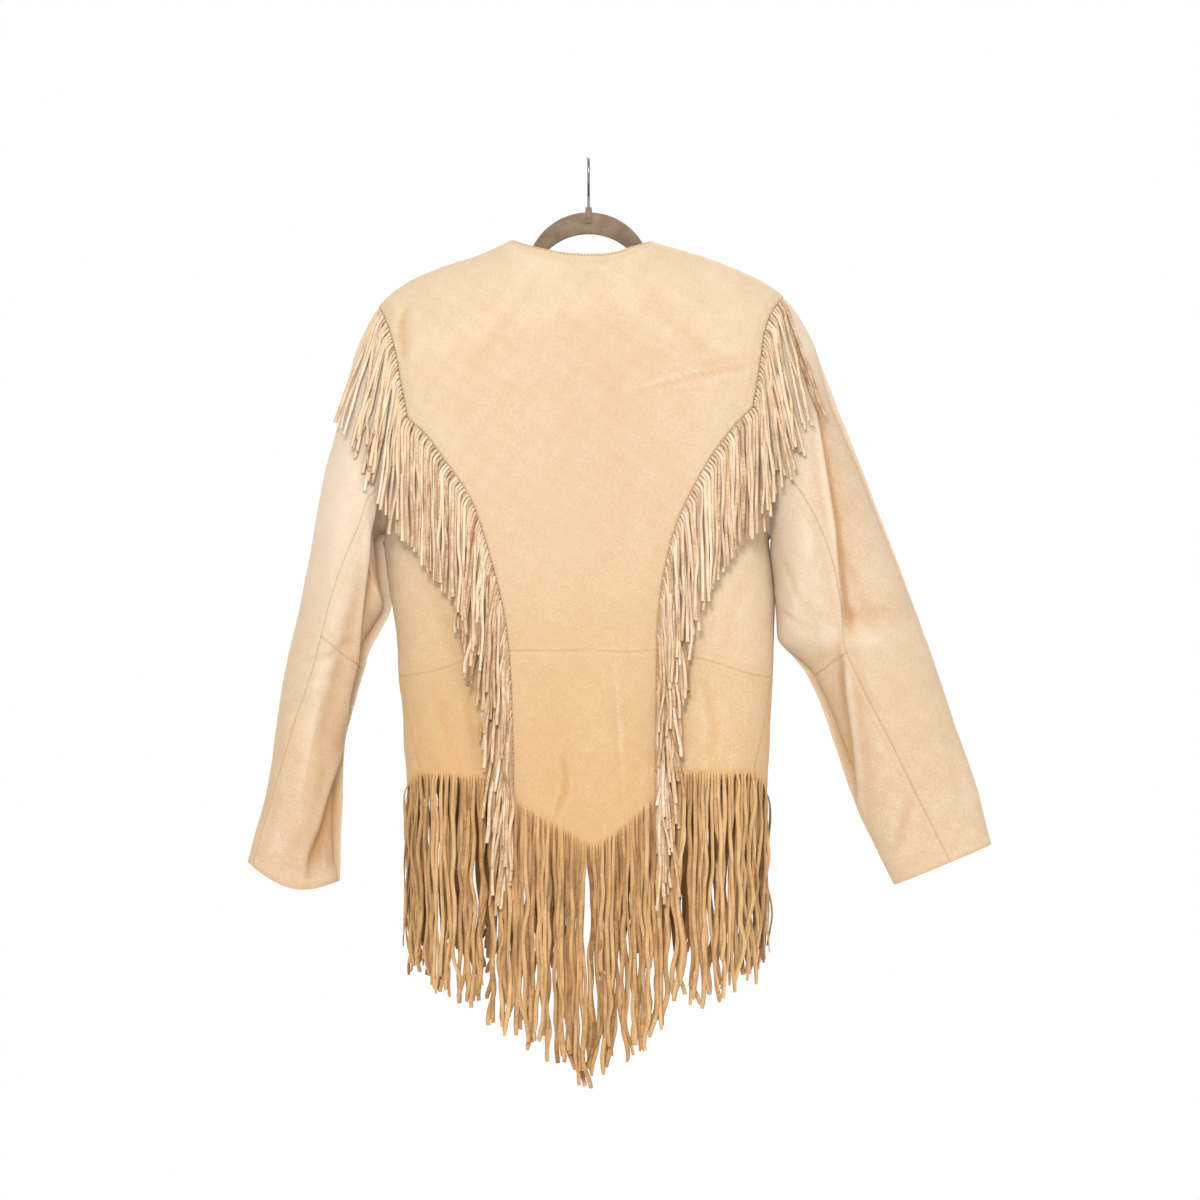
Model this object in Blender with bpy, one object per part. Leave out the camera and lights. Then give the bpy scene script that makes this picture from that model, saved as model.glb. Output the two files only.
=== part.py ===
"""A fringed buckskin jacket, hanging on a slim flocked hanger with a swivelling wire hook.

The jacket's back faces -Y and its front +Y; +X is the wearer's right. The origin is the
underside of the hook's crown, where a rail holds it. Sizes are in millimetres until a
mesh is made. Each leather panel is a closed wall on one shared body or sleeve surface,
cut along shared seams, so that neighbours keep one even gap.
"""

import math

import bmesh
import bpy
import numpy as np

MM = 0.001
MERGE = 0.00001
SHARP_ANGLE = 40.0
LEATHER = 1.5
SEAM_GAP = 0.3
HALF_GAP = SEAM_GAP / 2.0
SLEEVE_INSET = 0.2
TIP_CUT = 0.3

# The sign of Y that each face looks towards, and the turns that run round the body.
BACK, FRONT = -1, 1
FACE_WORDS = {BACK: "back", FRONT: "front"}
HALF_TURN, WHOLE_TURN = 3.0, 6.0

# Body form: half depths and the widths over which its edges round away.
SIDE_ROUND = 95.0
TOP_ROUND = 105.0
ROW_SCALE = 100.0
FIRST_HEIGHT = -300.0
SETTLING_PASSES = 14
BODY_STEP = 0.004
BODY_DEPTH = [
    {"z": -80.0, "half_depth": 60.0},
    {"z": -250.0, "half_depth": 63.0},
    {"z": -437.0, "half_depth": 63.0},
    {"z": -556.0, "half_depth": 58.0},
    {"z": -700.0, "half_depth": 64.0},
    {"z": -800.0, "half_depth": 66.0},
]

# Side outlines of the body. Above the underarm they pass outside the armhole seams.
SIDES = [
    {"z": -140.0, "left": -254.0, "right": 236.0},
    {"z": -250.0, "left": -247.0, "right": 224.0},
    {"z": -330.0, "left": -239.5, "right": 213.5},
    {"z": -400.0, "left": -233.5, "right": 206.0},
    {"z": -434.0, "left": -231.2, "right": 204.6},
    {"z": -474.0, "left": -227.5, "right": 208.9},
    {"z": -512.0, "left": -221.3, "right": 211.0},
    {"z": -545.0, "left": -216.6, "right": 210.2},
    {"z": -586.0, "left": -215.0, "right": 208.4},
    {"z": -620.0, "left": -210.3, "right": 206.4},
    {"z": -668.0, "left": -208.7, "right": 204.2},
    {"z": -705.0, "left": -205.3, "right": 202.9},
]

# The shoulder line, which runs on unseen over the neck and past each shoulder point.
RIDGE = [
    {"x": -262.0, "z": -205.0},
    {"x": -238.0, "z": -168.5},
    {"x": -216.6, "z": -146.9},
    {"x": -180.6, "z": -127.8},
    {"x": -122.1, "z": -107.6},
    {"x": -86.6, "z": -91.8},
    {"x": -48.9, "z": -82.0},
    {"x": 0.0, "z": -79.0},
    {"x": 41.0, "z": -83.0},
    {"x": 70.9, "z": -93.3},
    {"x": 127.0, "z": -109.6},
    {"x": 170.4, "z": -126.5},
    {"x": 208.5, "z": -145.7},
    {"x": 221.6, "z": -157.5},
    {"x": 246.0, "z": -192.0},
]

BACK_NECK = [
    {"x": -86.6, "z": -91.8},
    {"x": -66.0, "z": -99.0},
    {"x": -40.0, "z": -105.0},
    {"x": 0.0, "z": -108.6},
    {"x": 30.0, "z": -106.5},
    {"x": 52.0, "z": -99.0},
    {"x": 70.9, "z": -93.3},
]
FRONT_NECK_DEPTH = 292.0

ARMHOLES = {
    "L": [
        {"z": -168.5, "x": -238.0},
        {"z": -180.3, "x": -231.5},
        {"z": -206.2, "x": -222.5},
        {"z": -250.1, "x": -213.5},
        {"z": -294.1, "x": -205.8},
        {"z": -330.0, "x": -205.3},
        {"z": -375.0, "x": -212.1},
        {"z": -414.0, "x": -224.0},
        {"z": -434.0, "x": -231.2},
    ],
    "R": [
        {"z": -157.5, "x": 221.6},
        {"z": -171.1, "x": 210.6},
        {"z": -192.9, "x": 201.0},
        {"z": -225.6, "x": 195.6},
        {"z": -252.9, "x": 191.6},
        {"z": -282.8, "x": 186.1},
        {"z": -319.1, "x": 183.9},
        {"z": -364.1, "x": 188.4},
        {"z": -403.4, "x": 198.0},
        {"z": -431.0, "x": 204.6},
    ],
}

# The princess seams leave the armholes at their first row, cross the waist seam and end at the hem.
PRINCESS_WAIST_ROW = 7
PRINCESS = {
    "L": [
        {"z": -294.1, "x": -205.8},
        {"z": -314.6, "x": -183.7},
        {"z": -345.7, "x": -160.5},
        {"z": -379.2, "x": -137.3},
        {"z": -410.2, "x": -124.3},
        {"z": -443.9, "x": -114.2},
        {"z": -505.8, "x": -98.4},
        {"z": -555.9, "x": -91.7},
        {"z": -654.3, "x": -87.0},
        {"z": -719.2, "x": -86.2},
    ],
    "R": [
        {"z": -282.8, "x": 186.1},
        {"z": -302.0, "x": 167.0},
        {"z": -337.4, "x": 139.7},
        {"z": -375.5, "x": 117.9},
        {"z": -411.0, "x": 101.6},
        {"z": -449.2, "x": 90.7},
        {"z": -520.1, "x": 79.8},
        {"z": -555.1, "x": 78.8},
        {"z": -634.1, "x": 77.6},
        {"z": -717.6, "x": 76.4},
    ],
}

WAIST = [
    {"x": -216.0, "z": -586.0},
    {"x": -176.4, "z": -578.8},
    {"x": -129.9, "z": -564.3},
    {"x": -91.7, "z": -555.9},
    {"x": 0.0, "z": -555.6},
    {"x": 42.2, "z": -557.5},
    {"x": 78.8, "z": -555.1},
    {"x": 113.5, "z": -562.0},
    {"x": 148.4, "z": -571.0},
    {"x": 180.6, "z": -581.5},
    {"x": 209.0, "z": -587.0},
]

# Where the side outlines are read for the waist seam's two ends.
SIDE_WAIST = -586.0

# How far each side seam lies behind the body's side outline, on its way to the hem.
SIDE_SEAM = [
    {"z": -437.0, "inset": 0.0},
    {"z": -588.0, "inset": 2.2},
    {"z": -634.0, "inset": 6.0},
    {"z": -689.0, "inset": 16.0},
]

BACK_SIDE_HEM = -689.2
FRONT_HEM = -701.6
SIDE_HEMS = {BACK: BACK_SIDE_HEM, FRONT: FRONT_HEM}
BACK_HEM = [
    {"x": -86.2, "z": -719.2},
    {"x": -52.3, "z": -740.6},
    {"x": -17.4, "z": -759.5},
    {"x": 7.8, "z": -771.3},
    {"x": 29.8, "z": -757.1},
    {"x": 55.1, "z": -735.9},
    {"x": 76.4, "z": -717.6},
]

# The open front: half the gap between its edges, about a line just left of centre.
FRONT_LINE = -3.0
FRONT_GAP = [
    {"z": -292.0, "half": 5.0},
    {"z": -500.0, "half": 9.0},
    {"z": -702.0, "half": 14.0},
]

# Largest folds of the body: soft ridges (+) and troughs (-) along short lines.
BODY_FOLDS = [
    {"x0": -206.0, "z0": -172.0, "x1": -211.0, "z1": -236.0, "width": 9.0, "rise": -3.5, "face": BACK},
    {"x0": 28.0, "z0": -250.0, "x1": 33.0, "z1": -530.0, "width": 16.0, "rise": -1.8, "face": BACK},
    {"x0": 34.0, "z0": -570.0, "x1": 42.0, "z1": -715.0, "width": 14.0, "rise": -3.0, "face": BACK},
    {"x0": -46.0, "z0": -590.0, "x1": -36.0, "z1": -735.0, "width": 16.0, "rise": -3.4, "face": BACK},
    {"x0": 120.0, "z0": -240.0, "x1": 188.0, "z1": -228.0, "width": 10.0, "rise": -1.6, "face": BACK},
    {"x0": -120.0, "z0": -330.0, "x1": -96.0, "z1": -520.0, "width": 18.0, "rise": 3.0, "face": FRONT},
    {"x0": 96.0, "z0": -320.0, "x1": 80.0, "z1": -540.0, "width": 18.0, "rise": -3.0, "face": FRONT},
    {"x0": -50.0, "z0": -600.0, "x1": -44.0, "z1": -690.0, "width": 15.0, "rise": -3.0, "face": FRONT},
    {"x0": 56.0, "z0": -590.0, "x1": 48.0, "z1": -690.0, "width": 15.0, "rise": 2.6, "face": FRONT},
]

# Sleeve sections, from the armhole down: the outer and the inner end of each section,
# its half depth, and how far round the back the seam lies (0 outer end, 1 inner end).
SLEEVES = {
    "L": [
        {"xo": -238.0, "zo": -168.5, "xi": -231.2, "zi": -434.0, "depth": 44.0, "seam": 0.60},
        {"xo": -245.8, "zo": -180.5, "xi": -234.6, "zi": -430.2, "depth": 45.0, "seam": 0.65},
        {"xo": -255.0, "zo": -198.0, "xi": -236.6, "zi": -436.0, "depth": 47.0, "seam": 0.69},
        {"xo": -263.7, "zo": -217.8, "xi": -233.4, "zi": -449.6, "depth": 50.0, "seam": 0.67},
        {"xo": -270.1, "zo": -241.4, "xi": -230.9, "zi": -464.2, "depth": 52.0, "seam": 0.62},
        {"xo": -276.2, "zo": -268.4, "xi": -229.2, "zi": -479.0, "depth": 54.0, "seam": 0.56},
        {"xo": -287.7, "zo": -315.7, "xi": -226.6, "zi": -504.7, "depth": 56.0, "seam": 0.49},
        {"xo": -300.7, "zo": -366.3, "xi": -240.0, "zi": -535.1, "depth": 56.0, "seam": 0.46},
        {"xo": -314.5, "zo": -440.6, "xi": -248.2, "zi": -557.6, "depth": 54.0, "seam": 0.41},
        {"xo": -329.6, "zo": -518.5, "xi": -253.4, "zi": -577.0, "depth": 50.0, "seam": 0.375},
        {"xo": -343.0, "zo": -577.8, "xi": -261.6, "zi": -605.9, "depth": 47.0, "seam": 0.353},
        {"xo": -354.3, "zo": -645.3, "xi": -275.8, "zi": -662.2, "depth": 43.0, "seam": 0.242},
        {"xo": -364.2, "zo": -712.8, "xi": -278.6, "zi": -733.1, "depth": 37.0, "seam": 0.10},
        {"xo": -385.8, "zo": -795.6, "xi": -282.0, "zi": -817.4, "depth": 29.0, "seam": 0.05},
    ],
    "R": [
        {"xo": 221.6, "zo": -157.5, "xi": 204.6, "zi": -431.0, "depth": 43.0, "seam": 0.60},
        {"xo": 229.6, "zo": -166.5, "xi": 207.4, "zi": -427.0, "depth": 45.0, "seam": 0.65},
        {"xo": 240.6, "zo": -182.0, "xi": 209.6, "zi": -432.4, "depth": 47.0, "seam": 0.655},
        {"xo": 252.3, "zo": -204.3, "xi": 210.2, "zi": -445.0, "depth": 50.0, "seam": 0.63},
        {"xo": 262.4, "zo": -231.3, "xi": 211.0, "zi": -463.0, "depth": 52.0, "seam": 0.58},
        {"xo": 275.1, "zo": -262.8, "xi": 212.4, "zi": -481.0, "depth": 54.0, "seam": 0.535},
        {"xo": 295.5, "zo": -315.7, "xi": 213.8, "zi": -516.0, "depth": 56.0, "seam": 0.462},
        {"xo": 316.5, "zo": -369.7, "xi": 217.4, "zi": -541.8, "depth": 56.0, "seam": 0.434},
        {"xo": 342.3, "zo": -437.2, "xi": 233.0, "zi": -565.4, "depth": 54.0, "seam": 0.528},
        {"xo": 367.2, "zo": -503.0, "xi": 249.4, "zi": -588.0, "depth": 50.0, "seam": 0.66},
        {"xo": 391.6, "zo": -572.2, "xi": 264.4, "zi": -622.8, "depth": 47.0, "seam": 0.634},
        {"xo": 414.6, "zo": -639.7, "xi": 283.0, "zi": -675.7, "depth": 43.0, "seam": 0.56},
        {"xo": 437.9, "zo": -707.2, "xi": 306.6, "zi": -740.9, "depth": 37.0, "seam": 0.50},
        {"xo": 455.7, "zo": -775.5, "xi": 345.9, "zi": -821.1, "depth": 29.0, "seam": 0.43},
    ],
}
ELBOW_ROW = 9.0
SLEEVE_RINGS = [0.0, 0.5, 1.0, 1.6, 2.3, 3.2, 4.2, 5.2, 6.2, 7.2, 8.1, 9.0, 10.0, 11.0, 12.0, 13.0]
BLEND_ROWS = 5.0
SEAM_BLEND_ROWS = 2.0
SLEEVE_STEP = 0.02
FRONT_SEAM = 0.83

# Long folds of the sleeves: their first and last section, and the share of the way round there.
SLEEVE_FOLDS = {
    ("L", BACK): [
        {"row0": 5.0, "at0": 0.76, "row1": 12.5, "at1": 0.72, "width": 0.13, "rise": -6.0},
        {"row0": 6.0, "at0": 0.30, "row1": 11.5, "at1": 0.55, "width": 0.12, "rise": 2.5},
    ],
    ("R", BACK): [
        {"row0": 4.5, "at0": 0.28, "row1": 11.5, "at1": 0.86, "width": 0.13, "rise": -6.0},
        {"row0": 6.5, "at0": 0.62, "row1": 9.0, "at1": 0.88, "width": 0.11, "rise": -3.0},
    ],
    ("L", FRONT): [{"row0": 5.0, "at0": 0.50, "row1": 12.0, "at1": 0.62, "width": 0.13, "rise": -4.0}],
    ("R", FRONT): [{"row0": 5.0, "at0": 0.45, "row1": 12.0, "at1": 0.66, "width": 0.13, "rise": -4.0}],
}

# How far the back of each cuff bows below a straight line, and the section where that starts.
CUFF_BOW = {"L": 18.3, "R": 0.0}
CUFF_BOW_ROW = 12.0

# Fringe.
FRINGE_THICK = 1.2
FRINGE_LENGTH = 140.0
FRINGE_STRIP = 3.0
FRINGE_LIFT = 0.5
LOCK_WIDTH = 9.6
ROOT_WIDTH = 9.0
LOCK_PITCH = 12.0
LOCK_LEVEL_PITCH = 27.0
LOCK_LEAN = 0.095
LOCK_SPREAD = [0.5, 10.8, 21.1]
FRINGE_ENDS = {"top": 5.0, "low": 8.0}
ROOT_SAMPLES = 900
FINE_STEP = 2.0
LOCK_GAP = 0.6
SPREAD_DROP = 36.0
OVER_SLEEVE = 20.0
SLEEVE_LOCK_LEVELS = [9.0, 24.0, 44.0, 70.0, 102.0]
BODY_LOCK_LEVELS = [11.0, 60.0]
SHOULDER_DRIFT = 0.32
HEM_LOCK_SHARE = 0.78
HEM_LOCK_PITCH = 9.0
CENTRE_LOCK_PITCH = 5.2
HEM_STRIP = 4.0
HEM_FRINGE_ENDS = [
    {"x": -214.0, "z": -907.0},
    {"x": -185.0, "z": -928.0},
    {"x": -114.0, "z": -950.0},
    {"x": -94.0, "z": -981.0},
    {"x": -50.0, "z": -999.0},
    {"x": -8.0, "z": -1037.0},
    {"x": 22.0, "z": -1015.0},
    {"x": 56.0, "z": -993.0},
    {"x": 86.0, "z": -978.0},
    {"x": 97.0, "z": -952.0},
    {"x": 150.0, "z": -937.0},
    {"x": 205.0, "z": -909.0},
]
FRONT_FRINGE_LENGTH = 215.0
FRONT_FRINGE_RISE = 0.06

# Hanger and hook.
PLATE_THICK = 5.5
ARM_SEAT = [
    {"x": 66.0, "z": -103.0},
    {"x": 105.0, "z": -106.3},
    {"x": 127.0, "z": -112.8},
    {"x": 170.4, "z": -130.1},
    {"x": 202.0, "z": -147.0},
]
ARM_WIDTH = 15.0
NECK_ARC = {"radius": 71.0, "centre_z": -131.2}
NECK_HOLE_ARC = {"radius": 67.0, "centre_z": -152.0}
BAR_TOP = -176.0
BAR_BOTTOM = -186.0
HANGER_END = 213.0
HANGER_CORNER = 14.0
HANGER_TIP = [(209.0, -153.0), (213.0, -160.0)]
HOLE_CORNER = [(192.0, -158.0), (194.0, -168.0), (186.0, BAR_TOP)]
HOLE_ARC_END = 36.0
BOSS_RADIUS = 5.2
BOSS_TOP_RADIUS = 3.4
BOSS_TOP = -54.5
BOSS_BOTTOM = -72.0
BORE_RADIUS = 1.8
BORE_BOTTOM = -69.0
WIRE_RADIUS = 1.5
HOOK_RADIUS = 18.5
HOOK_TURNS = {"first": 210.0, "last": -30.0}
HOOK_FOOT = -46.0
HOOK_SWEEP = 26.0
STEM = [-67.0, -56.0, -50.0]

COLOURS = {
    "back": (0.86, 0.68, 0.46, 1.0),
    "sleeve": (0.88, 0.73, 0.55, 1.0),
    "fringe": (0.70, 0.50, 0.32, 1.0),
    "hanger": (0.38, 0.30, 0.25, 1.0),
    "wire": (0.35, 0.35, 0.36, 1.0),
}

# How many cells each seam is cut into.
ARM_ROWS_UPPER = 6
ARM_ROWS_LOWER = 6
SHOULDER_COLUMNS = 5
NECK_COLUMNS = 8
CENTRE_COLUMNS = 2 * SHOULDER_COLUMNS + NECK_COLUMNS
PRINCESS_ROWS = ARM_ROWS_LOWER + 6
LOWER_ROWS = 5
SIDE_COLUMNS = {BACK: 5, FRONT: 7}
FRONT_NECK_ROWS = 8
FRONT_NECK_CURVE = 1.15
BACK_SEAM_STEP = ARM_ROWS_UPPER + 1
FRONT_SEAM_STEP = ARM_ROWS_UPPER + 3


def clear_scene():
    """Removes whatever the scene holds."""
    for obj in list(bpy.data.objects):
        bpy.data.objects.remove(obj, do_unlink=True)


def material(name, colour, rough, metal=0.0):
    """A Principled material of one colour."""
    mat = bpy.data.materials.new(name)
    mat.use_nodes = True
    shader = mat.node_tree.nodes["Principled BSDF"]
    shader.inputs["Base Color"].default_value = colour
    shader.inputs["Roughness"].default_value = rough
    shader.inputs["Metallic"].default_value = metal
    return mat


def curve_of(table, key, value):
    """A smooth function through a table's rows, which never overshoots them."""
    rows = sorted(table, key=lambda row: row[key])
    xs = np.array([row[key] for row in rows])
    ys = np.array([row[value] for row in rows])
    slope = np.diff(ys) / np.diff(xs)
    tangent = np.concatenate([slope[:1], (slope[:-1] + slope[1:]) / 2.0, slope[-1:]])
    for i in range(1, len(xs) - 1):
        if slope[i - 1] * slope[i] <= 0.0:
            tangent[i] = 0.0
        else:
            limit = 3.0 * min(abs(slope[i - 1]), abs(slope[i]))
            tangent[i] = math.copysign(min(abs(tangent[i]), limit), tangent[i])

    def value_at(x):
        """The curve's value at x."""
        x = np.asarray(x, dtype=float)
        i = np.clip(np.searchsorted(xs, x) - 1, 0, len(xs) - 2)
        step = xs[i + 1] - xs[i]
        t = np.clip((x - xs[i]) / step, 0.0, 1.0)
        rise = (2 * t**3 - 3 * t**2 + 1) * ys[i] + (3 * t**2 - 2 * t**3) * ys[i + 1]
        lean = (t**3 - 2 * t**2 + t) * tangent[i] + (t**3 - t**2) * tangent[i + 1]
        return rise + lean * step

    return value_at


depth_at = curve_of(BODY_DEPTH, "z", "half_depth")
left_at = curve_of(SIDES, "z", "left")
right_at = curve_of(SIDES, "z", "right")
ridge_at = curve_of(RIDGE, "x", "z")
neck_at = curve_of(BACK_NECK, "x", "z")
waist_at = curve_of(WAIST, "x", "z")
inset_at = curve_of(SIDE_SEAM, "z", "inset")
hem_at = curve_of(BACK_HEM, "x", "z")
front_half_at = curve_of(FRONT_GAP, "z", "half")
hem_end_at = curve_of(HEM_FRINGE_ENDS, "x", "z")
arm_at = {side: curve_of(ARMHOLES[side], "z", "x") for side in "LR"}
princess_at = {side: curve_of(PRINCESS[side], "z", "x") for side in "LR"}
SHOULDER_POINT = {side: ARMHOLES[side][0] for side in "LR"}
UNDERARM = {side: ARMHOLES[side][-1] for side in "LR"}
BRANCH = {side: PRINCESS[side][0] for side in "LR"}


def quarter_arc(share):
    """How far round a quarter turn, 0 to 1, an edge has rounded at a share of its width."""
    return np.arccos(np.clip(1.0 - share, 0.0, 1.0)) * 2.0 / np.pi


def body_param(x, z, face):
    """Where a point seen at (x, z) lies on the body: n runs round it, w runs down it."""
    x = np.asarray(x, dtype=float)
    z = np.asarray(z, dtype=float)
    left, right = left_at(z), right_at(z)
    from_left = np.clip(x - left, 0.0, None)
    from_right = np.clip(right - x, 0.0, None)
    arc_left = quarter_arc(from_left / SIDE_ROUND)
    arc_right = HALF_TURN - quarter_arc(from_right / SIDE_ROUND)
    middle = 1.0 + (from_left - SIDE_ROUND) / (right - left - 2.0 * SIDE_ROUND)
    n = np.where(from_left < SIDE_ROUND, arc_left, np.where(from_right < SIDE_ROUND, arc_right, middle))
    drop = np.clip(ridge_at(x) - z, 0.0, None)
    w = np.where(drop < TOP_ROUND, quarter_arc(drop / TOP_ROUND), 1.0 + (drop - TOP_ROUND) / ROW_SCALE)
    return (n if face == BACK else WHOLE_TURN - n), w


def body_point(n, w):
    """The body surface's plain point for n round it (0 left side, 3 right side) and w down it.

    A point's x depends on its height, and its height on the shoulder line over that x, so the
    two are settled in turn, from a first height near the middle of the garment.
    """
    n = np.mod(np.asarray(n, dtype=float), WHOLE_TURN)
    w = np.asarray(w, dtype=float)
    n, w = np.broadcast_arrays(n, w)
    back = n <= HALF_TURN
    m = np.where(back, n, WHOLE_TURN - n)
    side = np.where(m < 1.0, m, np.where(m > 2.0, HALF_TURN - m, 1.0)) * np.pi / 2.0
    top = np.clip(w, -1.0, 1.0) * np.pi / 2.0
    z = np.full(n.shape, FIRST_HEIGHT)
    for _ in range(SETTLING_PASSES):
        left, right = left_at(z), right_at(z)
        reach = SIDE_ROUND * (1.0 - np.cos(side))
        inner = left + SIDE_ROUND + (m - 1.0) * (right - left - 2.0 * SIDE_ROUND)
        x = np.where(m < 1.0, left + reach, np.where(m > 2.0, right - reach, inner))
        z = ridge_at(x) - TOP_ROUND * (1.0 - np.cos(top)) - np.clip(w - 1.0, 0.0, None) * ROW_SCALE
    y = depth_at(z) * np.sin(side) * np.sin(top)
    return np.stack([x, np.where(back, -y, y), z], axis=-1)


def unit(vectors):
    """Vectors of length 1."""
    return vectors / np.maximum(np.linalg.norm(vectors, axis=-1, keepdims=True), 1e-9)


def body_normal(n, w):
    """The body surface's outward direction, from points a small step to each side."""
    along = body_point(n + BODY_STEP, w) - body_point(n - BODY_STEP, w)
    down = body_point(n, w + BODY_STEP) - body_point(n, w - BODY_STEP)
    return unit(np.cross(down, along))


def line_fold(points, x0, z0, x1, z1, width, rise):
    """The height of one soft fold at each point, from its line's ends and its width."""
    start = np.array([x0, z0])
    run = np.array([x1, z1]) - start
    seen = points[..., [0, 2]] - start
    share = np.clip(seen @ run / (run @ run), 0.0, 1.0)
    off = np.linalg.norm(seen - share[..., None] * run, axis=-1)
    fade = np.sin(np.pi * np.clip(0.12 + 0.76 * share, 0.0, 1.0))
    return rise * fade * np.exp(-((off / width) ** 2))


def body_surface(n, w):
    """Points of the body's outer face with its folds, and the outward directions there."""
    points = body_point(n, w)
    normals = body_normal(n, w)
    calm = np.abs(normals[..., 1])
    height = np.zeros(points.shape[:-1])
    for fold in BODY_FOLDS:
        size = {key: fold[key] for key in ("x0", "z0", "x1", "z1", "width", "rise")}
        height += np.where(points[..., 1] * fold["face"] > 0.0, line_fold(points, **size), 0.0)
    return points + normals * (height * calm**2)[..., None], normals


def armhole_angles(side):
    """Turns round the armhole, 0 at the shoulder point and pi at the underarm."""
    top, low = SHOULDER_POINT[side]["z"], UNDERARM[side]["z"]
    branch = math.acos(1.0 - 2.0 * (BRANCH[side]["z"] - top) / (low - top))
    upper = np.linspace(0.0, branch, ARM_ROWS_UPPER + 1)
    lower = np.linspace(branch, math.pi, ARM_ROWS_LOWER + 1)
    return np.concatenate([upper, lower[1:]])


def armhole_seam(side, face):
    """The armhole's points in body terms, from the shoulder point to the underarm."""
    top, low = SHOULDER_POINT[side]["z"], UNDERARM[side]["z"]
    z = top + (low - top) * (1.0 - np.cos(armhole_angles(side))) / 2.0
    n, w = body_param(arm_at[side](z), z, face)
    w[0] = 0.0
    end = 0.0 if side == "L" else HALF_TURN
    n[-1] = end if face == BACK or side == "R" else WHOLE_TURN
    return np.stack([n, w], axis=-1)


def seam_by_z(x_of_z, top, low, count, face):
    """A seam given by its x at each height, in body terms."""
    z = np.linspace(top, low, count + 1)
    return np.stack(body_param(x_of_z(z), z, face), axis=-1)


def seam_by_x(z_of_x, start, end, count, face):
    """A seam given by its height at each x, in body terms."""
    x = np.linspace(start, end, count + 1)
    return np.stack(body_param(x, z_of_x(x), face), axis=-1)


def side_seam_x(side, z):
    """The side seam, on the back near the body's side outline."""
    return left_at(z) + inset_at(z) if side == "L" else right_at(z) - inset_at(z)


def straight(start, end, count):
    """A straight run between two places in body terms."""
    share = np.linspace(0.0, 1.0, count + 1)[:, None]
    return np.asarray(start) * (1.0 - share) + np.asarray(end) * share


def join(*runs):
    """Runs of points end to end, without doubling their shared ends."""
    return np.concatenate([runs[0]] + [run[1:] for run in runs[1:]])


def patch(top, bottom, left, right):
    """A grid of places between four edges that meet at its corners. Rows keep the edges' own spacing."""
    u = np.linspace(0.0, 1.0, len(top))[None, :, None]
    fall = [(edge[:, 1] - edge[0, 1]) / (edge[-1, 1] - edge[0, 1]) for edge in (left, right)]
    v = ((fall[0] + fall[1]) / 2.0)[:, None, None]
    across = left[:, None] * (1.0 - u) + right[:, None] * u
    down = top[None] * (1.0 - v) + bottom[None] * v
    corner = (top[0] * (1 - u) + top[-1] * u) * (1 - v) + (bottom[0] * (1 - u) + bottom[-1] * u) * v
    return across + down - corner


def edge_inset(points, normals, by):
    """Draws a grid's outer edges in along the surface by a set distance."""
    moved = points.copy()
    rows, columns = points.shape[:2]
    for axis, size in ((0, rows), (1, columns)):
        for edge, inner in ((0, 1), (size - 1, size - 2)):
            line = np.take(points, edge, axis)
            inward = np.take(points, inner, axis) - line
            tangent = unit(np.gradient(line, axis=0))
            across = unit(np.cross(np.take(normals, edge, axis), tangent))
            across *= np.sign(np.sum(across * inward, axis=-1, keepdims=True))
            if axis == 0:
                moved[edge] += across * by
            else:
                moved[:, edge] += across * by
    return moved


def merge_doubles(mesh):
    """Merges a mesh's double points and turns its faces outwards."""
    builder = bmesh.new()
    builder.from_mesh(mesh)
    bmesh.ops.remove_doubles(builder, verts=builder.verts, dist=MERGE)
    bmesh.ops.recalc_face_normals(builder, faces=builder.faces)
    builder.to_mesh(mesh)
    builder.free()


def add_mesh(name, verts, faces, mat):
    """A mesh object from points in millimetres, its double points merged and shaded smooth."""
    mesh = bpy.data.meshes.new(name)
    mesh.from_pydata([tuple(v * MM) for v in verts], [], faces)
    mesh.materials.append(mat)
    merge_doubles(mesh)
    mesh.shade_smooth()
    mesh.set_sharp_from_angle(angle=math.radians(SHARP_ANGLE))
    PARTS.objects.link(bpy.data.objects.new(name, mesh))


def thicken(name, points, normals, quads, thick, mat):
    """A closed wall: the given faces outside, their copy inside, and rims between."""
    count = len(points)
    verts = np.concatenate([points, points - normals * thick])
    faces = [tuple(quad) for quad in quads] + [tuple(count + i for i in reversed(quad)) for quad in quads]
    uses = {}
    for quad in quads:
        for a, b in zip(quad, quad[1:] + quad[:1]):
            uses[(a, b)] = uses.get((a, b), 0) + 1
    faces += [(b, a, count + a, count + b) for a, b in uses if (b, a) not in uses]
    add_mesh(name, verts, faces, mat)


def grid_wall(name, points, normals, thick, mat):
    """A closed wall over a grid of outer points."""
    rows, columns = points.shape[:2]
    place = np.arange(rows * columns).reshape(rows, columns)
    quads = [
        [int(place[i, j]), int(place[i + 1, j]), int(place[i + 1, j + 1]), int(place[i, j + 1])]
        for i in range(rows - 1)
        for j in range(columns - 1)
    ]
    thicken(name, points.reshape(-1, 3), normals.reshape(-1, 3), quads, thick, mat)


def body_panel(name, places, mat, tip=False):
    """A leather panel of the body over a grid of places. A tip is cut blunt, not to a point."""
    points, normals = body_surface(places[..., 0], places[..., 1])
    if tip:
        points[0] += (points[1] - points[0]) * TIP_CUT
        normals[0] = unit(normals[0] + (normals[1] - normals[0]) * TIP_CUT)
    grid_wall(name, edge_inset(points, normals, HALF_GAP), normals, LEATHER, mat)


def shoulder_seam(side, face):
    """The shoulder seam, from the shoulder point to the neck."""
    neck = BACK_NECK[0]["x"] if side == "L" else BACK_NECK[-1]["x"]
    x = np.linspace(SHOULDER_POINT[side]["x"], neck, SHOULDER_COLUMNS + 1)
    n, w = body_param(x, ridge_at(x), face)
    return np.stack([n, w * 0.0], axis=-1)


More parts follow.
